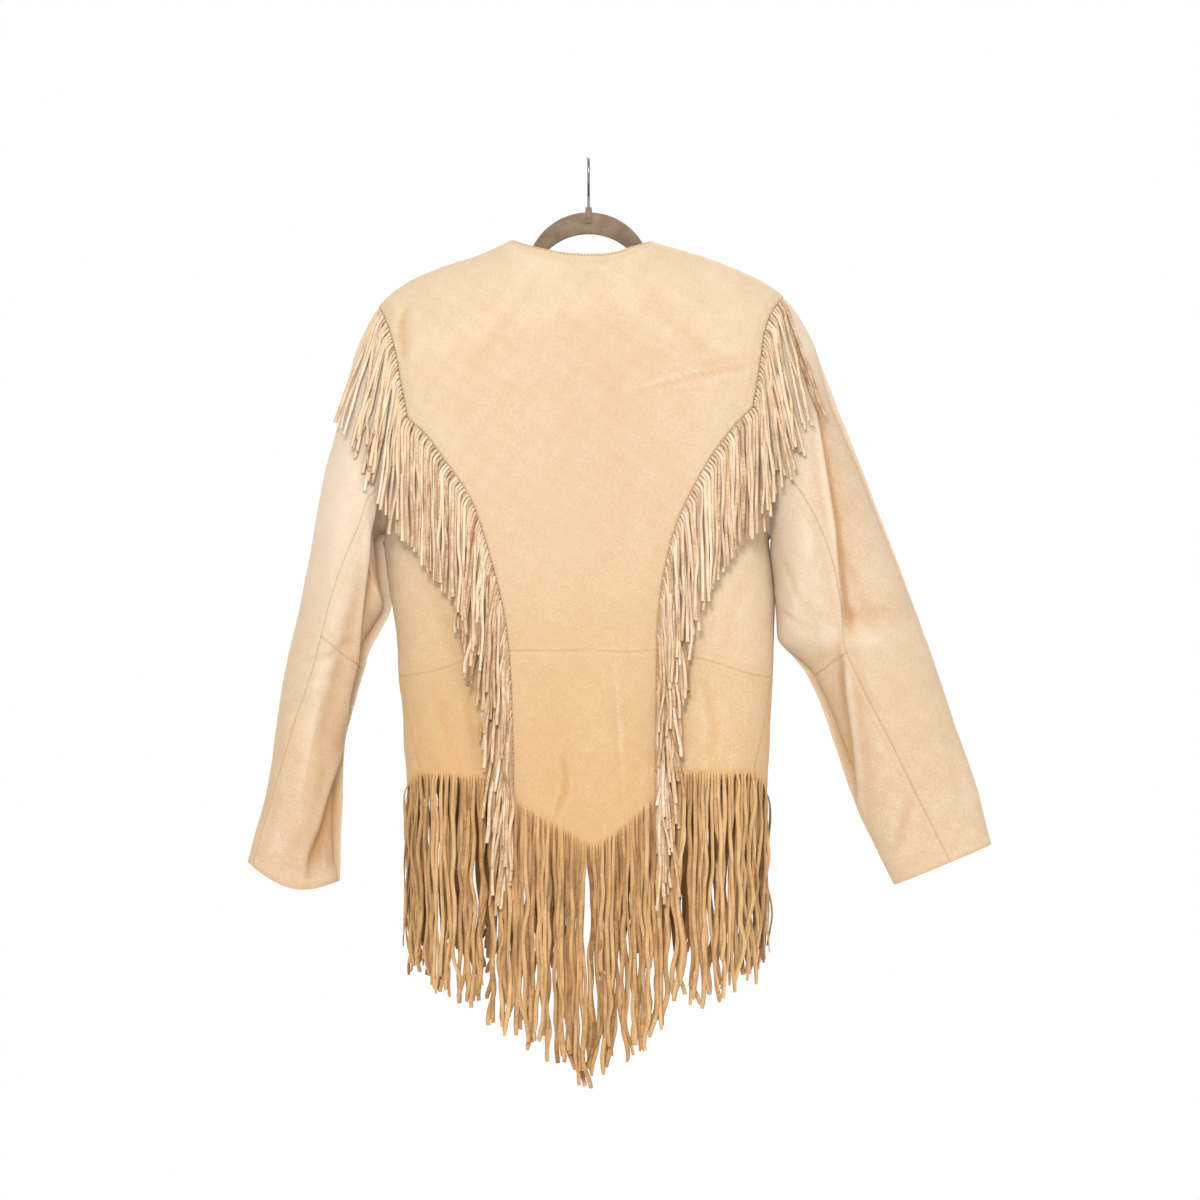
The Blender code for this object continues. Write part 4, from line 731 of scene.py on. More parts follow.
def crease_height(points: Array, creases: Sequence[Crease]) -> Array:
    """The height that creases give a surface.

    Args:
        points: The plain surface's points.
        creases: The creases.

    Returns:
        The height of each point, outward.
    """
    height = np.zeros(points.shape[:-1])
    for crease in creases:
        signed, share = off_line(points[..., [0, 2]], crease.line)
        width = np.where(signed < 0.0, crease.width * crease.sharp, crease.width)
        fade = crease.ends + (1.0 - crease.ends) * np.sin(np.pi * np.clip(share, 0.0, 1.0))
        bump = crease.rise * fade * bell(signed, width)
        height += np.where(points[..., 1] * crease.face.value > 0.0, bump, 0.0)
    return height


def past_step(points: Array, step: Step, run_in: float) -> tuple[Array, Array]:
    """How far points lie past a sleeve's lengthwise fold, and how strong it is there.

    Args:
        points: The sleeve's points.
        step: The fold.
        run_in: The share of its length over which it begins.

    Returns:
        The distance, negative before the fold, and the strength, 0 to 1.
    """
    signed, share = off_line(points[..., [0, 2]], step.line)
    past = signed * (1.0 if (step.side is Side.LEFT) != step.outward else -1.0)
    return past, smoothstep(share / run_in) * smoothstep((1.0 - share) / 0.12)


def sleeve_step_shade(points: Array, side: Side) -> Array:
    """Painted light and shade on a sleeve: paler or darker by height, and darker beside its lengthwise folds.

    Args:
        points: The sleeve's points.
        side: Its side.

    Returns:
        The change of tone at each point.
    """
    shade = SLEEVE_LIGHT_BY_HEIGHT[side].curve("z", "tone")(points[..., 2])
    for step in SLEEVE_STEPS:
        if step.side is side:
            past, fade = past_step(points, step, 0.3)
            before, past_it = step.dark
            # Painted shade beside each fold: darker just before it and darker still past it, where the leather turns
            # away.
            near = before * bell(np.minimum(past, 0.0), 22.0) * (1.0 - smoothstep(past / 30.0))
            beyond = smoothstep(past / 4.0) * np.exp(-np.clip(past - 4.0, 0.0, None) / 22.0)
            near += (past_it - before * 0.5) * beyond
            shade -= np.where(points[..., 1] * step.face.value > 0.0, near * fade, 0.0)
    return shade


def sleeve_step_height(points: Array, side: Side, face: Face) -> Array:
    """How much deeper a sleeve lies past its lengthwise folds.

    Args:
        points: The sleeve's points.
        side: Its side.
        face: Back or front.

    Returns:
        The height of each point, outward.
    """
    height = np.zeros(points.shape[:-1])
    for step in SLEEVE_STEPS:
        if step.side is side and step.face is face:
            past, fade = past_step(points, step, 0.2)
            fall = smoothstep(past / step.width) * np.exp(-np.clip(past, 0.0, None) / 60.0)
            height += (0.05 * bell(past + 4.0, 5.0) - fall) * step.drop * fade
    return height


# The waves of the hide's slow unevenness: height, turns along X, Y and Z, and start.
WAVES = (
    (1.0, 61.0, 9.0, 17.0, 0.4),
    (0.8, -43.0, 0.0, 37.0, 2.1),
    (0.6, 97.0, 31.0, 71.0, 4.0),
    (0.5, -29.0, 0.0, 113.0, 1.2),
    (0.3, 211.0, 0.0, -149.0, 3.3),
    (0.25, 173.0, 0.0, 263.0, 0.7),
)


def slow_waves(points: Array, rise: float) -> Array:
    """The slow unevenness of a worn hide, the same at every run.

    Args:
        points: A surface's points.
        rise: Its size.

    Returns:
        The height of each point, outward.
    """
    x, y, z = (points[..., i] / 1000.0 for i in range(3))
    waves = sum(high * np.sin(a * x + b * y + c * z + start) for high, a, b, c, start in WAVES)
    return rise * waves / 1.6


FORM = JacketForm()


def straight(start: Array, end: Array, count: int) -> Array:
    """A straight run of places from start to end, with the given number of steps."""
    share = np.linspace(0.0, 1.0, count + 1)[:, None]
    return np.asarray(start) * (1.0 - share) + np.asarray(end) * share


def join(*runs: Array) -> Array:
    """Runs of places end to end, without doubling their shared ends."""
    return np.concatenate([runs[0]] + [run[1:] for run in runs[1:]])


def patch(top: Array, bottom: Array, left: Array, right: Array) -> Array:
    """A grid of places between four edges that meet at its corners.

    Args:
        top: Places along the upper edge, from left to right.
        bottom: Places along the lower edge.
        left: Places down the left edge.
        right: Places down the right edge.

    Returns:
        The grid, row by row; rows keep the spacing of the left and right edges.
    """
    u = np.linspace(0.0, 1.0, len(top))[None, :, None]
    fall = [(edge[:, 1] - edge[0, 1]) / (edge[-1, 1] - edge[0, 1]) for edge in (left, right)]
    v = ((fall[0] + fall[1]) / 2.0)[:, None, None]
    across = left[:, None] * (1.0 - u) + right[:, None] * u
    down = top[None] * (1.0 - v) + bottom[None] * v
    upper = top[0] * (1 - u) + top[-1] * u
    lower = bottom[0] * (1 - u) + bottom[-1] * u
    return across + down - upper * (1 - v) - lower * v


def refined(grid: Array, times: int) -> Array:
    """Cuts each cell of a grid into smaller ones.

    Args:
        grid: The grid.
        times: How many times finer it becomes each way.

    Returns:
        The finer grid.
    """
    for axis in (0, 1):
        size = grid.shape[axis]
        at = np.linspace(0.0, size - 1.0, (size - 1) * times + 1)
        low = np.minimum(at.astype(int), size - 2)
        share = (at - low)[:, None, None] if axis == 0 else (at - low)[None, :, None]
        grid = np.take(grid, low, axis) * (1.0 - share) + np.take(grid, low + 1, axis) * share
    return grid


def bunched(grid: Array, share: float = 0.32) -> Array:
    """Adds one row or column just inside each edge of a grid.

    Args:
        grid: The grid.
        share: How far in it lies, as a share of a cell.

    Returns:
        The larger grid.
    """
    for axis in (0, 1):
        size = grid.shape[axis]
        first, second = np.take(grid, [0], axis), np.take(grid, [1], axis)
        last, before = np.take(grid, [size - 1], axis), np.take(grid, [size - 2], axis)
        near, far = first + (second - first) * share, last + (before - last) * share
        inner = np.take(grid, range(1, size - 1), axis)
        grid = np.concatenate([first, near, inner, far, last], axis=axis)
    return grid


def edge_inset(points: Array, normals: Array, by: float) -> Array:
    """Draws a grid's outer edges in along the surface.

    Args:
        points: The grid's points.
        normals: The outward directions there.
        by: How far.

    Returns:
        The moved points.
    """
    moved = points.copy()
    for axis in (0, 1):
        size = points.shape[axis]
        for edge, inner in ((0, 1), (size - 1, size - 2)):
            line = np.take(points, edge, axis)
            inward = np.take(points, inner, axis) - line
            across = unit(np.cross(np.take(normals, edge, axis), unit(np.gradient(line, axis=0))))
            across *= np.sign(np.sum(across * inward, axis=-1, keepdims=True))
            if axis == 0:
                moved[edge] += across * by
            else:
                moved[:, edge] += across * by
    return moved


@dataclass
class PanelGrid:
    """One piece of leather: its outer face as a grid of points, and how its edges are finished.

    Fields:
        points: The outer face, row by row from the top.
        normals: The outward directions there.
        edges: The finish of its top, bottom, left and right edges.
        shade: Painted light and shade: how much paler or darker it is drawn than the rest, in all or at each point.
    """

    points: Array
    normals: Array
    edges: Edges
    shade: Array | float = 0.0

    def from_edges(self) -> list[tuple[Edge, Array, Array]]:
        """How each point lies from the four edges.

        Returns:
            For each edge, its finish, each point's distance from it and its place along it.
        """
        down, over = lengths(self.points, 0), lengths(self.points, 1)
        top, bottom, left, right = self.edges
        return [
            (top, down, over),
            (bottom, down[-1:] - down, over),
            (left, over, down),
            (right, over[:, -1:] - over, down),
        ]

    def pressed(self) -> "PanelGrid":
        """Presses the seams in, rounds the turned edges and adds the puckers.

        Returns:
            The same piece with them.
        """
        height = np.zeros(self.points.shape[:-1])
        for finish, off, along in self.from_edges():
            if finish is Edge.SEAM:
                height += 0.18 * bell(off - 3.6, 2.4) - 0.4 * bell(off, 1.2)
            elif finish is Edge.GATHERED:
                ripple = np.sin(along * 1.17 + 2.0 * np.sin(along * 0.13)) * 0.28
                height += (0.25 + ripple) * bell(off - 3.2, 3.4) - 0.85 * bell(off, 2.0)
            elif finish is Edge.FREE:
                wander = np.sin(along * 0.31) + 0.7 * np.sin(along * 0.143 + 1.0)
                height += 0.25 * bell(off - 3.0, 3.0) + 0.18 * wander * np.exp(-off / 9.0) - 0.5 * bell(off, 1.3)
            else:
                height += 0.35 * np.sin(along * 0.23) * np.exp(-off / 14.0)
        return PanelGrid(self.points + self.normals * height[..., None], self.normals, self.edges, self.shade)

    def inset_line(self, edge: int, by: float, lift: float) -> Array:
        """A line beside an edge: 0 top, 1 bottom, 2 left, 3 right.

        Args:
            edge: Which edge.
            by: How far in from it the line runs.
            lift: How far over the surface.

        Returns:
            The line's points.
        """
        grid = self.points if edge < 2 else self.points.transpose(1, 0, 2)
        normals = self.normals if edge < 2 else self.normals.transpose(1, 0, 2)
        if edge % 2:
            grid, normals = grid[::-1], normals[::-1]
        runs = lengths(grid)
        line = np.stack([at_lengths(by, runs[:, i], grid[:, i]) for i in range(grid.shape[1])])
        return line + normals[1] * lift


def tone_from(points: Array, normals: Array) -> Array:
    """How pale the nap is drawn, 0 to 1: ridges rubbed pale by wear, and troughs darkened with painted shade.

    Args:
        points: A grid of a face's points.
        normals: The outward directions there.

    Returns:
        The tone of each point.
    """
    tone = np.full(points.shape[:-1], 0.5)
    for reach in (2, 5):
        if min(points.shape[:2]) > 2 * reach:
            middle = points[reach:-reach, reach:-reach]
            around = points[: -2 * reach, reach:-reach] + points[2 * reach :, reach:-reach]
            around = around + points[reach:-reach, : -2 * reach] + points[reach:-reach, 2 * reach :]
            bulge = np.sum((middle - around / 4.0) * normals[reach:-reach, reach:-reach], axis=-1)
            tone[reach:-reach, reach:-reach] += np.clip(bulge * (0.8 / reach), -0.35, 0.3)
    return np.clip(tone, 0.0, 1.0)


def put_in_scene(name: str, data: bpy.types.ID) -> bpy.types.Object:
    """Makes an object of a mesh, curve, lamp or camera and puts it in the scene.

    Args:
        name: The object's name.
        data: What it shows.

    Returns:
        The object.
    """
    thing = bpy.data.objects.new(name, data)
    bpy.context.scene.collection.objects.link(thing)
    return thing


def plain_mesh(maker: bpy.types.Object, *tools: bpy.types.Object) -> bpy.types.Mesh:
    """Keeps the mesh that an object's settings and modifiers make.

    Args:
        maker: The object, which is then removed.
        tools: Other objects to remove with it.

    Returns:
        The mesh.
    """
    graph = bpy.context.evaluated_depsgraph_get()
    mesh = bpy.data.meshes.new_from_object(maker.evaluated_get(graph))
    for spent in (maker, *tools):
        bpy.data.objects.remove(spent, do_unlink=True)
    return mesh


def turn_outwards(mesh: bpy.types.Mesh, merge: bool = True) -> None:
    """Turns a mesh's faces outwards.

    Args:
        mesh: The mesh.
        merge: Whether its doubles are merged first.
    """
    builder = bmesh.new()
    builder.from_mesh(mesh)
    if merge:
        bmesh.ops.remove_doubles(builder, verts=builder.verts, dist=DOUBLES)
    bmesh.ops.recalc_face_normals(builder, faces=builder.faces)
    builder.to_mesh(mesh)
    builder.free()


def smoothed(mesh: bpy.types.Mesh, hard: float = HARD_EDGE) -> bpy.types.Mesh:
    """Shades a mesh smooth but for its hard edges.

    Args:
        mesh: The mesh.
        hard: The angle past which an edge is hard, in degrees.

    Returns:
        The same mesh.
    """
    mesh.shade_smooth()
    mesh.set_sharp_from_angle(angle=math.radians(hard))
    return mesh


def draw_line(curve: bpy.types.Curve, points: Sequence[tuple[float, float, float]]) -> bpy.types.Spline:
    """Draws a line on a curve.

    Args:
        curve: The curve.
        points: The line's points, in millimetres.

    Returns:
        The line.
    """
    line = curve.splines.new("POLY")
    line.points.add(len(points) - 1)
    for point, (x, y, z) in zip(line.points, points):
        point.co = (x * MM, y * MM, z * MM, 1.0)
    return line


def clean_mesh(name: str, verts: Array, faces: Sequence[Sequence[int]], tone: Optional[Array] = None) -> bpy.types.Mesh:
    """A closed mesh from points in millimetres, with its faces turned outwards.

    Args:
        name: The mesh's name.
        verts: Its points.
        faces: Its faces' corners.
        tone: The nap's tone at each point, kept as an attribute.

    Returns:
        The mesh.
    """
    mesh = bpy.data.meshes.new(name)
    mesh.from_pydata((np.asarray(verts) * MM).tolist(), [], faces)
    if tone is not None:
        layer = mesh.attributes.new("tone", "FLOAT", "POINT")
        layer.data.foreach_set("value", np.asarray(tone, dtype=np.float32))
    turn_outwards(mesh)
    return smoothed(mesh)


def add_piece(
    name: str, mesh: bpy.types.Mesh, body: str, slot: str, material: bpy.types.Material, nodes: Sequence[str] = ()
) -> bpy.types.Object:
    """Puts a finished mesh in the scene on its body.

    Args:
        name: The piece's name.
        mesh: Its mesh.
        body: The body that it rides on.
        slot: The record's material slot, which is not used.
        material: Its finish.
        nodes: The CAD nodes that it stands for.

    Returns:
        The piece.
    """
    mesh.materials.clear()
    mesh.materials.append(material)
    piece = put_in_scene(name, mesh)
    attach(piece, body)
    if nodes:
        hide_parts(*nodes)
    LOG.info("%s: %d faces on %s", name, len(mesh.polygons), body)
    return piece


def wall_mesh(name: str, panel: PanelGrid, thick: float) -> bpy.types.Mesh:
    """A closed wall over a panel: its face, the flesh side behind it, and the cut rims.

    Args:
        name: The mesh's name.
        panel: The outer face.
        thick: The wall's thickness.

    Returns:
        The mesh.
    """
    rows, columns = panel.points.shape[:2]
    place = np.arange(rows * columns).reshape(rows, columns)
    count = rows * columns
    quads = np.stack([place[:-1, :-1], place[1:, :-1], place[1:, 1:], place[:-1, 1:]], axis=-1).reshape(-1, 4)
    rim = np.concatenate([place[:, 0], place[-1, 1:], place[::-1, -1][1:], place[0, ::-1][1:]])
    sides = np.stack([rim[1:], rim[:-1], rim[:-1] + count, rim[1:] + count], axis=-1)
    faces = np.concatenate([quads, quads[:, ::-1] + count, sides]).tolist()
    outer = panel.points.reshape(-1, 3)
    inner = outer - panel.normals.reshape(-1, 3) * thick
    # The tone: wear and painted crease shade, plus the panel's painted light and shade.
    tone = tone_from(panel.points, panel.normals) + panel.shade
    for finish, off, _ in panel.from_edges():
        if finish is Edge.FREE:
            tone -= 0.45 * bell(off, 1.6)
        elif finish is Edge.SEAM:
            tone -= 0.2 * bell(off, 1.1)
    tone = tone.ravel()
    # The flesh side is drawn at 0.6 of the face's tone: painted shade on the jacket's inside.
    return clean_mesh(name, np.concatenate([outer, inner]), faces, np.concatenate([tone, tone * 0.6]))


# How many cells each seam is cut into.
ARM_UPPER = 24
ARM_LOWER = 24
SHOULDER_CELLS = 26
NECK_CELLS = 34
FLANK_CELLS = 26
LOWER_CELLS = 30
SIDE_CELLS = 24
WRAP_CELLS = 34
FRONT_NECK_CELLS = 36
BACK_PIVOT = ARM_UPPER + 4
FRONT_PIVOT = ARM_UPPER + 12
SLEEVE_ROWS = (0, 0.5, 1, 1.6, 2.3, 3.2, 4.2, 5.2, 6.2, 7.2, 8.1, 9, 10, 11, 12, 13)
CELLS_A_RING = 12
FINER = 2
# Painted light and shade on the side panels: how much paler or darker each is drawn than the rest.
PAINTED_PANEL_LIGHT = {"back_side_upper_L": -0.06, "back_side_lower_L": -0.14, "back_side_upper_R": 0.14, "back_side_lower_R": 0.04}


class Seams:
    """Every seam of the jacket as places on the body, shared by the pieces on its two sides."""

    def along_z(self, x_of_z: Curve, top: float, low: float, count: int, face: Face) -> Array:
        """A seam given by its x at each height."""
        z = np.linspace(top, low, count + 1)
        return np.stack(FORM.body_param(x_of_z(z), z, face), axis=-1)

    def along_x(self, z_of_x: Curve, start: float, end: float, count: int, face: Face) -> Array:
        """A seam given by its height at each x."""
        x = np.linspace(start, end, count + 1)
        return np.stack(FORM.body_param(x, z_of_x(x), face), axis=-1)

    def neck_x(self, side: Side) -> float:
        """Where the neckline meets the shoulder seam."""
        return BACK_NECK.rows[0 if side is Side.LEFT else -1][0]

    def shoulder(self, side: Side, face: Face) -> Array:
        """The shoulder seam, from the shoulder point to the neck.

        Args:
            side: Its side.
            face: Back or front.

        Returns:
            Its places.
        """
        x = np.linspace(FORM.shoulder_point(side)[1], self.neck_x(side), SHOULDER_CELLS + 1)
        n, w = FORM.body_param(x, FORM.ridge_at(x), face)
        return np.stack([n, w * 0.0], axis=-1)

    def neckline(self) -> Array:
        """The back neckline, whose points lie closer at its ends, where it drops fast.

        Returns:
            Its places.
        """
        share = (1.0 - np.cos(np.linspace(0.0, math.pi, NECK_CELLS + 1))) / 2.0
        start, end = self.neck_x(Side.LEFT), self.neck_x(Side.RIGHT)
        x = start + (end - start) * share
        z = BACK_NECK.curve("x", "z")(x)
        return np.stack(FORM.body_param(x, z, Face.BACK), axis=-1)

    def armhole(self, side: Side, face: Face) -> tuple[Array, Array]:
        """The armhole's two stretches.

        Args:
            side: Its side.
            face: Back or front.

        Returns:
            The places above and below the princess seam.
        """
        angles = FORM.armhole_angles(side, ARM_UPPER, ARM_LOWER)
        seam = FORM.armhole_seam(side, face, angles)
        return seam[: ARM_UPPER + 1], seam[ARM_UPPER:]

    def waist_height(self, side: Side) -> float:
        """The height at which the waist seam meets the princess seam."""
        return float(FORM.waist_at(PRINCESS[side].rows[WAIST_ROW][1]))

    def princess(self, side: Side, face: Face, top: float, low: float, count: int) -> Array:
        """A stretch of the princess seam between two heights."""
        return self.along_z(FORM.princess_at[side], top, low, count, face)

    def side_x(self, side: Side, z: Array) -> Array:
        """The side seam, on the back near the body's side outline.

        Args:
            side: Its side.
            z: Heights.

        Returns:
            Its X at each height.
        """
        if side is Side.LEFT:
            return FORM.left_at(z) + FORM.inset_at(z)
        return FORM.right_at(z) - FORM.inset_at(z)

    def side_waist(self, side: Side) -> float:
        """The height at which the side seam meets the waist seam."""
        outline = FORM.left_at if side is Side.LEFT else FORM.right_at
        return float(FORM.waist_at(outline(PLAIN_WAIST)))

    def side_run(self, side: Side, top: float, low: float, count: int, on_front: bool) -> Array:
        """A stretch of the side seam.

        Args:
            side: Its side.
            top: The height that it starts from.
            low: The height that it ends at.
            count: How many steps it has.
            on_front: Whether a front piece uses it, which counts from beyond the back.

        Returns:
            Its places.
        """
        z = np.linspace(top, low, count + 1)
        n, w = FORM.body_param(self.side_x(side, z), z, Face.BACK)
        if side is Side.LEFT and on_front:
            n = n + WHOLE_TURN
        return np.stack([n, w], axis=-1)

    def front_edge_x(self, side: Side, z: Array) -> Array:
        """The front opening's edge."""
        return FRONT_LINE + side.out * FORM.front_half_at(z)


@dataclass(frozen=True)
class Leather:
    """The flat size that a piece is cut to, in millimetres, and its area, in square metres."""

    wide: float
    long: float
    area: float


@dataclass
class BodyPanels:
    """The fourteen panels of the back and the two fronts."""

    seams: Seams = field(default_factory=Seams)
    grids: dict = field(default_factory=dict)

    def cut(self, name: str, places: Array, edges: Edges, tip: bool = False) -> None:
        """Cuts one panel over a grid of places.

        Args:
            name: The node that it stands for.
            places: The grid of places.
            edges: The finish of its top, bottom, left and right edges.
            tip: Whether its top runs to a point, which is cut blunt.
        """
        places = bunched(refined(places, FINER))
        points, normals = FORM.body_surface(places[..., 0], places[..., 1])
        if tip:
            points[0] = points[0] * 0.7 + points[2] * 0.3
            normals[0] = unit(normals[0] * 0.7 + normals[2] * 0.3)
            points[1] = points[0] * 0.5 + points[2] * 0.5
            normals[1] = unit(normals[0] + normals[2])
        points = edge_inset(points, normals, HALF_GAP)
        self.grids[name] = PanelGrid(points, normals, edges, PAINTED_PANEL_LIGHT.get(name, 0.0)).pressed()

    def cut_back(self) -> None:
        """The panels of the back, above and below the waist seam."""
        seams, edge = self.seams, {}
        for side in Side:
            upper, _ = seams.armhole(side, Face.BACK)
            waist_z = seams.waist_height(side)
            run = seams.princess(side, Face.BACK, FORM.branch(side), waist_z, ARM_LOWER + FLANK_CELLS)
            edge[side] = join(upper, run)
        head = join(
            seams.shoulder(Side.LEFT, Face.BACK),
            seams.neckline(),
            seams.shoulder(Side.RIGHT, Face.BACK)[::-1],
        )
        ends = [float(FORM.princess_at[side](seams.waist_height(side))) for side in Side]
        waist = seams.along_x(FORM.waist_at, ends[0], ends[1], len(head) - 1, Face.BACK)
        grid = patch(head, waist, edge[Side.LEFT], edge[Side.RIGHT])
        self.cut("back_centre_upper", grid, (Edge.FREE, Edge.SEAM, Edge.GATHERED, Edge.GATHERED))
        low = {
            side: seams.princess(side, Face.BACK, seams.waist_height(side), PRINCESS[side].rows[-1][0], LOWER_CELLS)
            for side in Side
        }
        hem_at = BACK_HEM.curve("x", "z")
        hem = seams.along_x(hem_at, BACK_HEM.rows[0][0], BACK_HEM.rows[-1][0], len(head) - 1, Face.BACK)
        grid = patch(waist, hem, low[Side.LEFT], low[Side.RIGHT])
        self.cut("back_centre_lower", grid, (Edge.SEAM, Edge.CUT, Edge.GATHERED, Edge.GATHERED))

    def cut_side(self, side: Side, face: Face) -> None:
        """Cuts the side panels of the back or front, above and below the waist seam.

        Args:
            side: Their side.
            face: Back or front.
        """
        seams, wrap = self.seams, face is Face.FRONT
        _, lower = seams.armhole(side, face)
        z_waist = seams.side_waist(side)
        flank = join(lower, seams.side_run(side, FORM.underarm(side)[0], z_waist, FLANK_CELLS, wrap))
        rows = ARM_LOWER + FLANK_CELLS
        inner = seams.princess(side, face, FORM.branch(side), seams.waist_height(side), rows)
        columns = WRAP_CELLS if wrap else SIDE_CELLS
        head = np.repeat(inner[:1], columns + 1, axis=0)
        waist = straight(flank[-1], inner[-1], columns)
        for column in range(1, columns):
            x = float(FORM.body_point(waist[column, 0], waist[column, 1])[0])
            behind = np.mod(waist[column, 0], WHOLE_TURN) <= HALF_TURN
            waist[column, 1] = FORM.body_param(x, FORM.waist_at(x), Face.BACK if behind else Face.FRONT)[1]
        edges = (Edge.SEAM, Edge.SEAM, Edge.SEAM, Edge.GATHERED)
        self.cut(f"{face.word}_side_upper_{side.value}", patch(head, waist, flank, inner), edges, tip=True)

        hem_z = FRONT_HEM if wrap else BACK_SIDE_HEM
        outer = seams.side_run(side, z_waist, BACK_SIDE_HEM, LOWER_CELLS, wrap)
        inner = seams.princess(side, face, seams.waist_height(side), hem_z, LOWER_CELLS)
        hem = straight(outer[-1], inner[-1], columns)
        edges = (Edge.SEAM, Edge.CUT, Edge.SEAM, Edge.GATHERED)
        self.cut(f"{face.word}_side_lower_{side.value}", patch(waist, hem, outer, inner), edges)

    def cut_front(self, side: Side) -> None:
        """Cuts one half of the open front, above and below the waist seam.

        Args:
            side: Its side.
        """
        seams = self.seams
        upper, _ = seams.armhole(side, Face.FRONT)
        rows = ARM_UPPER + ARM_LOWER + FLANK_CELLS
        z_waist = seams.waist_height(side)
        run = seams.princess(side, Face.FRONT, FORM.branch(side), z_waist, ARM_LOWER + FLANK_CELLS)
        outer = join(upper, run)
        neck_x = seams.neck_x(side)
        neck_z = float(FORM.ridge_at(neck_x))
        share = np.linspace(0.0, 1.0, FRONT_NECK_CELLS + 1)
        v_z = neck_z + (-FRONT_NECK_DEPTH - neck_z) * share
        v_x = neck_x + (seams.front_edge_x(side, -FRONT_NECK_DEPTH) - neck_x) * share**1.15
        v_line = np.stack(FORM.body_param(v_x, v_z, Face.FRONT), axis=-1)
        v_line[0, 1] = 0.0
        z = np.linspace(-FRONT_NECK_DEPTH, float(FORM.waist_at(FRONT_LINE)), rows - FRONT_NECK_CELLS + 1)
        opening = np.stack(FORM.body_param(seams.front_edge_x(side, z), z, Face.FRONT), axis=-1)
        edge = join(v_line, opening)
        ends = [float(FORM.princess_at[side](z_waist)), float(seams.front_edge_x(side, z[-1]))]
        waist = seams.along_x(FORM.waist_at, ends[0], ends[1], SHOULDER_CELLS, Face.FRONT)
        edges = (Edge.SEAM, Edge.SEAM, Edge.GATHERED, Edge.FREE)
        grid = patch(seams.shoulder(side, Face.FRONT), waist, outer, edge)
        self.cut(f"front_centre_upper_{side.value}", grid, edges)

        z = np.linspace(float(z[-1]), FRONT_HEM, LOWER_CELLS + 1)
        edge = np.stack(FORM.body_param(seams.front_edge_x(side, z), z, Face.FRONT), axis=-1)
        outer = seams.princess(side, Face.FRONT, z_waist, FRONT_HEM, LOWER_CELLS)
        hem = straight(outer[-1], edge[-1], SHOULDER_CELLS)
        edges = (Edge.SEAM, Edge.CUT, Edge.GATHERED, Edge.FREE)
        self.cut(f"front_centre_lower_{side.value}", patch(waist, hem, outer, edge), edges)

    def build(self) -> None:
        """Cuts all fourteen panels."""
        self.cut_back()
        for side in Side:
            self.cut_front(side)
            for face in Face:
                self.cut_side(side, face)


